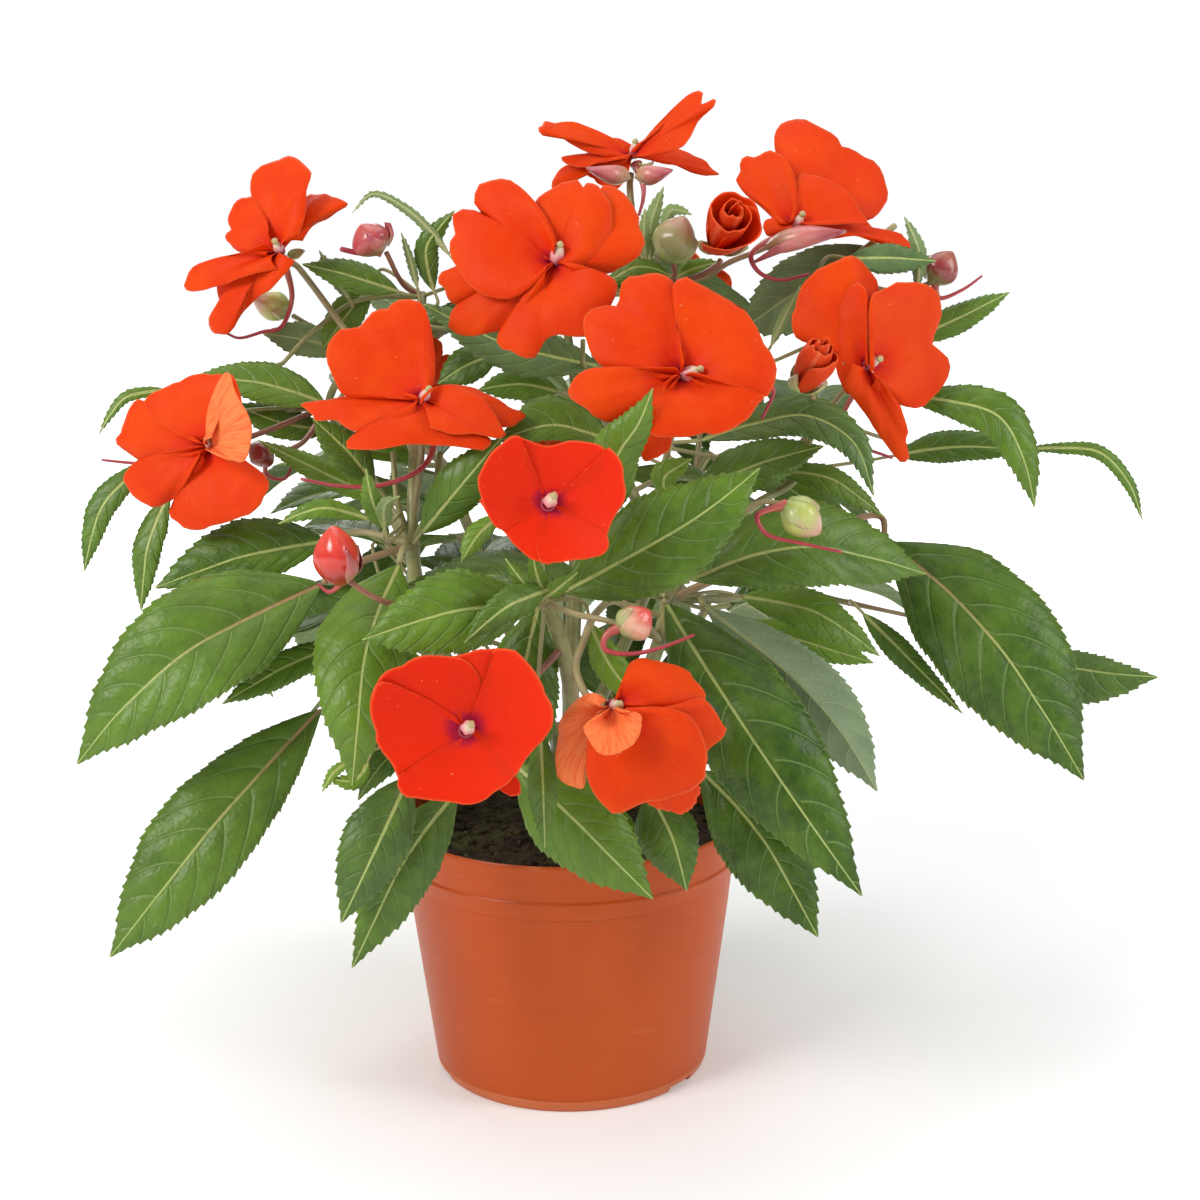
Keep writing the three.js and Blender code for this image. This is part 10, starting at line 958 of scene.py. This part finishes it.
LEAF_TOP, LEAF_UNDER = leaf_material("leaf_top", False), leaf_material("leaf_under", True)
PETAL_FACE, PETAL_BACK = petal_material("petal_face", False), petal_material("petal_back", True)
STALK = stalk_material("stalk")
BUD = {
    "pinkred": bud_material("bud_pinkred", (0.30, 0.16, 0.08), (0.42, 0.045, 0.055), (0.50, 0.10, 0.09)),
    "red": bud_material("bud_red", (0.36, 0.03, 0.02), (0.60, 0.022, 0.010), (0.72, 0.07, 0.04), 0.16),
    "green": bud_material("bud_green", (0.30, 0.36, 0.07), (0.47, 0.50, 0.13), (0.62, 0.33, 0.24)),
    "redpale": bud_material("bud_redpale", (0.40, 0.42, 0.16), (0.74, 0.40, 0.27), (0.66, 0.06, 0.04), 0.18),
    "darkred": bud_material("bud_darkred", (0.24, 0.22, 0.07), (0.25, 0.020, 0.022), (0.34, 0.09, 0.05)),
    "greenbrown": bud_material("bud_greenbrown", (0.26, 0.31, 0.09), (0.36, 0.34, 0.14), (0.40, 0.20, 0.11)),
}
SEPAL_GREEN = bud_material("sepal_green", (0.30, 0.36, 0.10), (0.42, 0.46, 0.18), (0.46, 0.34, 0.16), 0.35)
SEPAL_PINK = bud_material("sepal_pink", (0.45, 0.30, 0.16), (0.55, 0.16, 0.14), (0.40, 0.05, 0.07), 0.30)
SPUR = bud_material("spur", (0.50, 0.10, 0.07), (0.46, 0.035, 0.050), (0.34, 0.015, 0.030), 0.28)
ANTHER = bud_material("anther", (0.50, 0.045, 0.12), (0.72, 0.34, 0.36), (0.66, 0.60, 0.42), 0.35)
THROAT = bud_material("throat", (0.10, 0.002, 0.010), (0.26, 0.004, 0.028), (0.42, 0.02, 0.05), 0.30)


# ------------------------------------------------------------ leaves
# (young, pale, red at the base) where a leaf differs from its neighbours
TINTS = {
    "L1": (0.22, 0.05, 0.9), "L2": (0.20, 0.05, 0.8), "L16": (0.05, 0.02, 0.8), "L6": (0.30, 0.0, 0.2), "L7": (0.28, 0.0, 0.1),
    "L10": (0.30, 0.0, 0.1), "L19": (0.16, 0.0, 0.1), "L34": (0.0, 0.35, 0.0), "L15": (0.0, 0.55, 0.2), "L13": (0.0, 0.0, 0.1),
    "L14": (0.06, 0.0, 0.2), "L8": (0.08, 0.12, 0.1), "L9": (0.12, 0.05, 0.1), "L20": (0.05, 0.22, 0.1), "L27": (0.0, 0.30, 0.0),
    "L31": (0.35, 0.15, 0.0), "L17": (0.10, 0.15, 0.2), "L23": (0.20, 0.0, 0.1), "L26": (0.06, 0.08, 0.2), "L3": (0.10, 0.0, 0.1),
}
by_name = {r[0]: r for r in LEAVES}
SPROUTS = [r[0] for r in ROOTS]
SHOOTS = []
for row in STEMS:
    if row[1] not in SHOOTS:
        SHOOTS.append(row[1])
for i, (name, node, mid, left, right, peak, under, shy) in enumerate(LEAVES):
    if node in SHOOTS:
        continue
    g = Shape()
    tint = TINTS.get(name, (0.05 + 0.18 * rnd(i, 1), 0.06 * rnd(i, 2), 0.3 * rnd(i, 3)))
    leaf(g, mid, left, right, peak, 3.1 + i * 1.37, tint, under)
    g.make("blade_" + node[5:], [LEAF_TOP, LEAF_UNDER], node, "leaf_underside" if under else "leaf")
for shoot in SHOOTS:
    g = Shape()
    for i, (name, node, mid, left, right, peak, under, shy) in enumerate(LEAVES):
        if node != shoot:
            continue
        small = name in SPROUTS
        tip = name[1] in "cefrghi" or name[:2] == "Ks"
        if small:
            tint = TINTS.get(name, (0.28 + 0.40 * rnd(i, 1), 0.05 * rnd(i, 2), 0.2) if tip else (0.10 + 0.25 * rnd(i, 1), 0.04, 0.2))
        else:
            tint = TINTS.get(name, (0.04 + 0.16 * rnd(i, 1), 0.05 * rnd(i, 2), 0.3 * rnd(i, 3)))
        leaf(g, mid, left, right, peak, 5.7 + i * 1.91, tint, under, small=small, rows=6)
    if g.n:
        g.make("leaves_" + shoot[5:], [LEAF_TOP, LEAF_UNDER], shoot, "leaf")

# ------------------------------------------------------------ flowers
# which way the stamens lean
LEAN = {"F3": (0.75, 0, 0.1), "F2": (0.35, 0, 0.55), "F8": (0.5, 0, 0.1)}
# sepals that show beside the petals: foot, tip, half width, outwards
POUCHES = {
    "F5": [([66.0, -8.0, 284.3], [92.2, -12.0, 289.2], 4.2, (0.1, -1.0, 0.3)), ([89.9, -10.0, 288.6], [62.1, -8.0, 279.2], 2.4, (0.1, -1.0, 0.5))],
    "F4": [([23.5, 8.0, 307.0], [8.8, 2.0, 309.4], 3.6, (-0.3, -1.0, -0.2)), ([24.2, 8.0, 307.0], [36.6, 4.0, 308.7], 3.6, (0.3, -1.0, -0.2))],
}
for i, (name, node, kind, c, n, petals, spur) in enumerate(FLOWERS):
    g = Shape()
    c, n = np.array(c, float), unit(n)
    if kind == "half":
        wide = 12.8 if name == "F12" else 9.6
        tall = 21.0 if name == "F12" else 19.0
        ax = unit((0.22, -0.80, 0.50)) if name == "F12" else unit((0.34, -0.52, 0.72))
        foot = c + n * 3.0 - ax * tall * 0.55
        for k in range(7):
            f = 1 - 0.125 * k
            wrap(g, foot + ax * 0.35 * k, ax, wide * f, tall * (0.88 + 0.02 * k), 0.6 + 2.25 * k, 3.7 if k < 5 else 4.6, 0.30, (0.16 if name == "F12" else -0.12) - 0.05 * k, 4.1 + 2.7 * k + i)
        for j in range(3):
            d = unit(np.cross(ax, [math.cos(2.1 * j), 0.3, math.sin(2.1 * j)]))
            scale_leaf(g, foot + d * 1.5, foot + d * wide * 0.75 + ax * tall * 0.42, 3.0, d, 5, (0, 0, 0), cup=0.4)
        petals = []
    for k, (outline, pn, belly, tone) in enumerate(petals):
        O = np.array(outline, float)
        size = np.linalg.norm(O - c, axis=1).max()
        petal(g, c, O, pn, belly, tone, 2.3 + i * 3.7 + k * 1.9, 0.30 * k, size)
    if kind == "open":
        # mouth of the spur, stamens and their tip
        u = unit(np.cross(n, [0.2, 0.1, 1.0]))
        v = np.cross(n, u)
        an = np.linspace(0, 2 * np.pi, 13)[:-1]
        ring = np.array([c + n * 0.7 + (u * math.cos(a) + v * math.sin(a)) * 1.75 for a in np.append(an, an[0] + 2 * np.pi)])
        V, q, caps, _, _ = rod(ring, np.full(37, 0.62), 8, 36)
        bd = np.zeros((len(V), 3)) + (0.5, 0.5, 0)
        g.add(V, [q, caps], [4, 4], {"bd": bd, "mm": V - c, "tint": np.zeros(3)})
        lean = unit(n * 0.8 + LEAN.get(name, (0.25, 0, 0.35)))
        big_ = 1.45 if name in ("F2", "F3") else 1.2 if petals[0][2] < 0 else 1.0
        blob(g, c + lean * 2.6 * big_, lean, 6.0 * big_, 1.75 * big_ ** 0.7, 3, (0, 0, 0), lobes=5, depth=0.09, twist=0.3, tipness=0.85, nu=14, nv=20)
        blob(g, c + lean * 5.6 * big_, lean, 2.6, 1.15, 5, (0, 0, 0), lobes=3, depth=0.1, nu=8, nv=12)
    if spur:
        path, r0, r1 = spur
        st = 10 * (len(path) - 1)
        tt = np.linspace(0, 1, st + 1)
        V, q, caps, s, _ = rod(path, (r0 + (r1 - r0) * tt ** 0.8) * (1 + 0.9 * np.exp(-tt * 9)), 10, st, 0.6)
        bd = np.concatenate([np.repeat(tt, 10), [0, 1]])
        bd = np.stack([bd, np.tile(np.linspace(0, 1, 11)[:-1], st + 1).tolist() + [0, 0], np.ones_like(bd)], -1)
        g.add(V, [q, caps], [2, 2], {"bd": bd, "mm": V - c, "tint": np.zeros(3)})
    # two small sepals behind the petals, by the stalk
    if kind == "open":
        u = unit(np.cross(n, [0, 0, 1.0]))
        for sg in (-1, 1):
            foot = c - n * 2.6 + u * sg * 0.9
            scale_leaf(g, foot, foot + u * sg * 6.5 - n * 1.2 + np.array([0, 0, 1.8]), 2.0, -n, 5, (0, 0, 0))
    if name in POUCHES:
        for foot, tip, wide, out in POUCHES[name]:
            scale_leaf(g, foot, tip, wide, out, 6, (0, 0, 0), cup=0.7)
    g.make(node, [PETAL_FACE, PETAL_BACK, SPUR, ANTHER, THROAT, SEPAL_GREEN, SEPAL_PINK], node, "petal")

# ------------------------------------------------------------ buds
for i, (name, node, c, tip, foot, radius, colour, spur) in enumerate(BUDS):
    g = Shape()
    c, tip, foot = (np.array(p, float) for p in (c, tip, foot))
    ax = unit(tip - foot)
    L = np.linalg.norm(tip - foot)
    centre = (tip + foot) / 2 * 0.5 + c * 0.5
    blob(g, centre, ax, L * 1.02, radius, 0, (0, 0, 0), lobes=3, depth=0.055, twist=0.55, tipness=0.9, nu=26, nv=36)
    a = unit(np.cross(ax, [0.3, -1.0, 0.2]))
    b = np.cross(ax, a)
    for j in range(3):
        an = 2.1 * j + 0.6 * i
        d = a * math.cos(an) + b * math.sin(an)
        p0 = foot + d * radius * 0.35
        p1 = foot + ax * L * (0.62 if j else 0.5) + d * radius * (1.02 if j else 1.1)
        scale_leaf(g, p0, p1, radius * 0.55, d, 1, (0, 0, 0), cup=0.5)
    if spur:
        path, r0, r1 = spur
        st = 10 * (len(path) - 1)
        tt = np.linspace(0, 1, st + 1)
        V, q, caps, s, _ = rod(path, (r0 + (r1 - r0) * tt) * (1 + 1.0 * np.exp(-tt * 8)), 10, st, 0.6)
        bd = np.concatenate([np.repeat(tt, 10), [0, 1]])
        bd = np.stack([bd, np.tile(np.linspace(0, 1, 11)[:-1], st + 1).tolist() + [0, 0], np.ones_like(bd)], -1)
        g.add(V, [q, caps], [2, 2], {"bd": bd, "mm": V - c, "tint": np.zeros(3)})
    sep = SEPAL_PINK if colour in ("pinkred", "red") else SEPAL_GREEN
    g.make(node, [BUD[colour], sep, SPUR], node, "bud")

# ------------------------------------------------------------ stems and stalks
DARK_STALKS = {"d_B2", "d_B1", "d_F12", "d_B5", "d_B7", "d_F7", "d_F10"}
stalks = {node: Shape() for node in SHOOTS}
for i, (name, node, path, r0, r1) in enumerate(STEMS):
    g = stalks[node]
    main = name[0] in "tbne"
    st = max(8, 9 * (len(path) - 1))
    tt = np.linspace(0, 1, st + 1)
    rad = (r0 + (r1 - r0) * tt) * (1.0 + 0.05 * wave(tt * 11, i))
    if main:
        for k in range(3):
            rad = rad * (1 + 0.16 * np.exp(-((tt - (0.25 + 0.28 * k + 0.05 * rnd(i, k))) / 0.035) ** 2))
    rad = rad * (1 + 0.35 * np.exp(-tt * 16) + 0.12 * np.exp(-(1 - tt) * 14))
    sides = 14 if r0 > 2.5 else 10
    V, q, caps, s, _ = rod(path, rad, sides, st, 0.5)
    al = np.concatenate([np.repeat(s, sides), [0, s[-1]]])
    ar = np.concatenate([np.tile(np.arange(sides) / sides, st + 1), [0, 0]])
    red = 0.75 if name in DARK_STALKS else 0.30 if name[0] == "d" else 0.12 if main else 0.18
    if name in ("p_L1", "p_L16", "p_L17", "d_F5"):
        red = 0.5
    pale = 0.55 if name[0] in "pd" and name not in DARK_STALKS else 0.15
    g.add(V, [q, caps], [0, 0], {"lf": np.stack([al, ar, np.zeros_like(al)], -1), "mm": V - V[0] + i * 9.0, "tint": (red, pale, 0.0)})
for i, (name, root) in enumerate(ROOTS):
    _, node, mid, left, right, peak, under, shy = by_name[name]
    g = stalks[node]
    M = np.array(mid, float)
    d = unit(M[1] - M[0])
    root = np.array(root, float)
    gap = np.linalg.norm(M[0] - root)
    path = [root, M[0] - d * gap * 0.35, M[0] + d * 0.8] if gap > 3 else [root, M[0] + d * 0.8]
    st = 8 * (len(path) - 1)
    tt = np.linspace(0, 1, st + 1)
    V, q, caps, s, _ = rod(path, 0.72 - 0.22 * tt, 8, st, 0.5)
    al = np.concatenate([np.repeat(s, 8), [0, s[-1]]])
    ar = np.concatenate([np.tile(np.arange(8) / 8, st + 1), [0, 0]])
    g.add(V, [q, caps], [0, 0], {"lf": np.stack([al, ar, np.zeros_like(al)], -1), "mm": V - V[0] + i * 5.0, "tint": (0.15, 0.5, 0.0)})
for node in SHOOTS:
    stalks[node].make("stalks_" + node[5:], [STALK], node, "stem")

# ------------------------------------------------------------ pot
def flare(z):
    return BASE_R + (RIM_R - BASE_R) * z / POT_H


def lathe(profile, sides, fn=None):
    P = np.array(profile, float)
    an = np.arange(sides) * 2 * np.pi / sides
    m = len(P) - 2
    ring = np.stack([P[1:-1, 0, None] * np.cos(an), P[1:-1, 0, None] * np.sin(an), np.repeat(P[1:-1, 1, None], sides, 1)], -1)
    V = np.vstack([ring.reshape(-1, 3), [[0, 0, P[0, 1]], [0, 0, P[-1, 1]]]])
    I = np.arange(m * sides).reshape(m, sides)
    J = np.roll(I, -1, axis=1)
    q = np.stack([I[:-1], J[:-1], J[1:], I[1:]], -1).reshape(-1, 4)
    e0, e1 = len(V) - 2, len(V) - 1
    caps = np.vstack([np.stack([np.full(sides, e0), J[0], I[0]], -1), np.stack([np.full(sides, e1), I[-1], J[-1]], -1)])
    return V, q, caps


band, ridge = POT_H - 18.75, POT_H - 13.5
profile = [[0, 0], [12, 0.0], [16.6, 0], [17, 0.25], [18.3, 2.35], [18.8, 2.6], [40.6, 2.6], [41.1, 2.4], [42.0, 0.2], [42.5, 0.0], [46.4, 0], [47.2, 0.25], [47.75, 1.0], [flare(2.0), 2.0],
           [flare(3.6) + 0.02, 3.6], [flare(3.9) - 0.28, 3.9], [flare(4.3) - 0.28, 4.3], [flare(4.6), 4.6], [flare(12), 12], [flare(24), 24], [flare(36), 36], [flare(48), 48], [flare(60), 60],
           [flare(band) - 0.35, band - 0.9], [flare(band) - 0.30, band - 0.45], [flare(band) + 0.22, band - 0.15], [flare(band) + 0.32, band + 0.25],
           [flare(ridge) + 0.30, ridge - 0.8], [flare(ridge) + 0.72, ridge - 0.30], [flare(ridge) + 0.78, ridge], [flare(ridge) + 0.70, ridge + 0.35], [flare(ridge) + 0.22, ridge + 0.9],
           [flare(84) + 0.30, 84], [RIM_R - 0.15, 88.2], [RIM_R + 0.0, 89.3], [RIM_R - 0.12, 90.0], [RIM_R - 0.42, 90.35], [RIM_R - 0.85, 90.38], [RIM_R - 1.35, 90.1], [RIM_R - 1.55, 89.4],
           [flare(76) - 1.6, 76], [flare(50) - 1.7, 50], [flare(6.2) - 1.7, 6.2], [40.5, 4.4], [19.4, 4.4], [17.6, 1.8], [8, 1.8], [0, 1.8]]
V, q, caps = lathe(profile, 160)
me = bpy.data.meshes.new("pot_body")
me.from_pydata((V * MM).tolist(), [], q.tolist() + caps.tolist())
me.update()
bm_ob = bpy.data.objects.new("pot_body", me)
bpy.context.scene.collection.objects.link(bm_ob)
import bmesh
bm = bmesh.new()
bm.from_mesh(me)
if bm.calc_volume(signed=True) < 0:
    bmesh.ops.reverse_faces(bm, faces=bm.faces)
bm.to_mesh(me)
bm.free()
cut = bmesh.new()
for i in range(6):
    a = (i + 0.5) * math.pi / 3
    bmesh.ops.create_cone(cut, cap_ends=True, segments=28, radius1=0.004, radius2=0.004, depth=0.012,
                          matrix=Matrix.Translation((0.029 * math.cos(a), 0.029 * math.sin(a), 0.004)))
    if i % 2:
        continue
    a = math.radians(-39) + i * math.pi / 3
    bmesh.ops.create_cube(cut, size=1.0, matrix=Matrix.Rotation(a, 4, "Z") @ Matrix.Translation((0.046, 0, 0)) @ Matrix.Diagonal((0.014, 0.012, 0.0044, 1)))
cme = bpy.data.meshes.new("cutter")
cut.to_mesh(cme)
cut.free()
cob = bpy.data.objects.new("cutter", cme)
bpy.context.scene.collection.objects.link(cob)
mod = bm_ob.modifiers.new("cut", "BOOLEAN")
mod.operation, mod.solver, mod.object = "DIFFERENCE", "EXACT", cob
bpy.context.view_layer.update()
final = bpy.data.meshes.new_from_object(bm_ob.evaluated_get(bpy.context.evaluated_depsgraph_get()))
bm_ob.modifiers.clear()
bm_ob.data = final
bpy.data.objects.remove(cob)
final.materials.clear()
final.materials.append(pot_material())
final.polygons.foreach_set("use_smooth", [True] * len(final.polygons))
final.polygons.foreach_set("material_index", [0] * len(final.polygons))
for e in final.edges:
    pass
bm = bmesh.new()
bm.from_mesh(final)
for e in bm.edges:
    e.smooth = not (len(e.link_faces) == 2 and e.calc_face_angle(0.0) > 0.6)
bm.to_mesh(final)
bm.free()
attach(bm_ob, "root")
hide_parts("pot")

# ------------------------------------------------------------ soil
def lumps(x, y, s):
    return np.sin(x * s + 1.3 * np.sin(y * s * 0.7 + 2.0)) * np.sin(y * s * 1.1 + 1.1 * np.sin(x * s * 0.8 + 0.5))


inner = flare(83.2) - 2.1
rings_, sides = 60, 150
rr = np.linspace(0, 1, rings_ + 1)[1:] * inner
an = np.arange(sides) * 2 * np.pi / sides
X, Y = rr[:, None] * np.cos(an), rr[:, None] * np.sin(an)
f = rr[:, None] / inner


def ground(X, Y, f):
    z = 86.0 - 2.9 * f ** 2.2
    z = z + 0.75 * lumps(X, Y, 0.21) + 0.55 * lumps(X + 7, Y - 3, 0.47) + 0.38 * lumps(X, Y, 1.05) + 0.22 * lumps(X, Y, 2.1)
    return z


Z = ground(X, Y, f)
top = np.stack([X, Y, Z], -1)
low = [[inner - 0.1, 78.0], [flare(7) - 2.1, 7.0], [40, 4.8], [19, 4.8], [17, 2.2]]
lowring = np.stack([np.stack([r * np.cos(an), r * np.sin(an), np.full(sides, z)], -1) for r, z in low])
grid = np.vstack([top, lowring])
V = np.vstack([grid.reshape(-1, 3), [[0, 0, float(ground(np.zeros(1), np.zeros(1), np.zeros(1))[0])], [0, 0, 2.2]]])
m = len(grid)
I = np.arange(m * sides).reshape(m, sides)
J = np.roll(I, -1, axis=1)
q = np.stack([I[:-1], J[:-1], J[1:], I[1:]], -1).reshape(-1, 4)
e0, e1 = len(V) - 2, len(V) - 1
caps = np.vstack([np.stack([np.full(sides, e0), J[0], I[0]], -1), np.stack([np.full(sides, e1), I[-1], J[-1]], -1)])
g = Shape()
g.add(V, [q, caps], [0, 0], {"mm": V})
# crumbs and fibres on top
ico = np.array([[0, 0, 1], [0, 0, -1], [1, 0, 0], [-1, 0, 0], [0, 1, 0], [0, -1, 0]], float)
octa = np.array([[0, 2, 4], [0, 4, 3], [0, 3, 5], [0, 5, 2], [1, 4, 2], [1, 3, 4], [1, 5, 3], [1, 2, 5]])
sub = {}
pts, tri = [list(p) for p in ico], []


def mid(a, b):
    k = (min(a, b), max(a, b))
    if k not in sub:
        p = unit(np.array(pts[a]) + np.array(pts[b]))
        sub[k] = len(pts)
        pts.append(list(p))
    return sub[k]


for a, b, c in octa:
    ab, bc, ca = mid(a, b), mid(b, c), mid(c, a)
    tri += [[a, ab, ca], [b, bc, ab], [c, ca, bc], [ab, bc, ca]]
pts, tri = np.array(pts), np.array(tri)
for i in range(420):
    r = inner * 0.97 * math.sqrt(rnd(i, 1))
    a = 6.2832 * rnd(i, 2)
    x, y = r * math.cos(a), r * math.sin(a)
    z = float(ground(np.array([x]), np.array([y]), np.array([r / inner]))[0])
    s = 0.5 + 1.3 * rnd(i, 3) ** 2
    P = pts * (1 + 0.28 * np.sin(pts @ np.array([5.1, 3.7, 4.3]) + i))[:, None] * s * np.array([1.2, 0.9, 0.75])
    t = rnd(i, 5) * 6.28
    R = np.array([[math.cos(t), -math.sin(t), 0], [math.sin(t), math.cos(t), 0], [0, 0, 1]])
    g.add(P @ R.T + (x, y, z + s * 0.25), [tri], [0], {"mm": P})
for i in range(60):
    r = inner * 0.9 * math.sqrt(rnd(i, 11))
    a = 6.2832 * rnd(i, 12)
    x, y = r * math.cos(a), r * math.sin(a)
    t = rnd(i, 13) * 6.28
    L = 2.5 + 5 * rnd(i, 14)
    q3 = []
    for u_ in (-0.5, 0.0, 0.5):
        px, py = x + math.cos(t + u_ * 0.8) * L * u_, y + math.sin(t + u_ * 0.8) * L * u_
        rad_ = min(math.hypot(px, py), inner * 0.98)
        q3.append([px, py, float(ground(np.array([px]), np.array([py]), np.array([rad_ / inner]))[0]) + 0.35])
    V, q, caps, _, _ = rod(q3, np.full(7, 0.16 + 0.14 * rnd(i, 15)), 5, 6, 0.4)
    g.add(V, [q, caps], [0, 0], {"mm": V})
g.make("soil_bed", [soil_material()], "soil", "soil")

# ------------------------------------------------------------ camera, floor and light
scene = bpy.context.scene
yaw, pitch, roll = 0.01912, 0.19005, -0.00891
F = Vector((math.sin(yaw) * math.cos(pitch), math.cos(yaw) * math.cos(pitch), -math.sin(pitch)))
R0 = Vector((math.cos(yaw), -math.sin(yaw), 0))
U0 = Vector((math.sin(yaw) * math.sin(pitch), math.cos(yaw) * math.sin(pitch), math.cos(pitch)))
Rt = math.cos(roll) * R0 + math.sin(roll) * U0
Up = math.cos(roll) * U0 - math.sin(roll) * R0
cam_data = bpy.data.cameras.new("camera")
cam_data.sensor_width = 36.0
cam_data.lens = 36.0 * 1778.275 / 1200.0
cam_data.clip_start, cam_data.clip_end = 0.05, 20.0
cam = bpy.data.objects.new("camera", cam_data)
cam.matrix_world = Matrix(((Rt.x, Up.x, -F.x, 0.0), (Rt.y, Up.y, -F.y, -0.6), (Rt.z, Up.z, -F.z, 0.28097), (0, 0, 0, 1)))
scene.collection.objects.link(cam)
scene.camera = cam


def stage_mesh(name, verts, faces, material):
    me = bpy.data.meshes.new(name)
    me.from_pydata(verts, [], faces)
    me.materials.append(material)
    me.update()
    ob = bpy.data.objects.new(name, me)
    scene.collection.objects.link(ob)
    return ob


fl = Nodes("floor")
g_ = fl.t.nodes.new("ShaderNodeTexCoord")
fl.set(color=fl.mix(fl.noise(g_.outputs["Object"], 3.0, 2.0), (0.86, 0.86, 0.855), (0.88, 0.88, 0.875)), rough=0.75, spec=0.15)
fl.p.inputs["Emission Color"].default_value = (1, 1, 1, 1)
gx, gy, _ = fl.xyz(g_.outputs["Object"])
far = fl.math("SQRT", fl.math("ADD", fl.math("POWER", gx, 2.0), fl.math("POWER", gy, 2.0)))
fl.link(fl.ramp(far, 0.25, 1.6, 0.14, 0.90), fl.p.inputs["Emission Strength"])
S = 6.0
stage_mesh("floor", [(-S, -S, 0), (S, -S, 0), (S, S, 0), (-S, S, 0)], [(0, 1, 2, 3)], fl.mat)

world = bpy.data.worlds.new("studio")
scene.world = world
world.use_nodes = True
wt = world.node_tree
wt.nodes.clear()
wo = wt.nodes.new("ShaderNodeOutputWorld")
wb = wt.nodes.new("ShaderNodeBackground")
wb.inputs[0].default_value = (0.97, 0.985, 1.0, 1)
wb.inputs[1].default_value = WORLD
wlp = wt.nodes.new("ShaderNodeLightPath")
wmr = wt.nodes.new("ShaderNodeMapRange")
wt.links.new(wlp.outputs["Is Camera Ray"], wmr.inputs[0])
wmr.inputs[3].default_value, wmr.inputs[4].default_value = WORLD, 1.05
wt.links.new(wmr.outputs[0], wb.inputs[1])
wt.links.new(wb.outputs[0], wo.inputs[0])


def softbox(name, place, target, w, h, watts, colour=(1, 1, 1)):
    ld = bpy.data.lights.new(name, "AREA")
    ld.shape, ld.size, ld.size_y = "RECTANGLE", w, h
    ld.energy = watts
    ld.color = colour
    ob = bpy.data.objects.new(name, ld)
    ob.location = place
    d = Vector(target) - Vector(place)
    ob.rotation_mode = "QUATERNION"
    ob.rotation_quaternion = d.to_track_quat("-Z", "Y")
    scene.collection.objects.link(ob)


for row in LIGHTS:
    softbox(*row)
scene.view_settings.view_transform = "Standard"
scene.view_settings.look = "None"
scene.view_settings.exposure = 0.0
scene.view_settings.gamma = 1.0
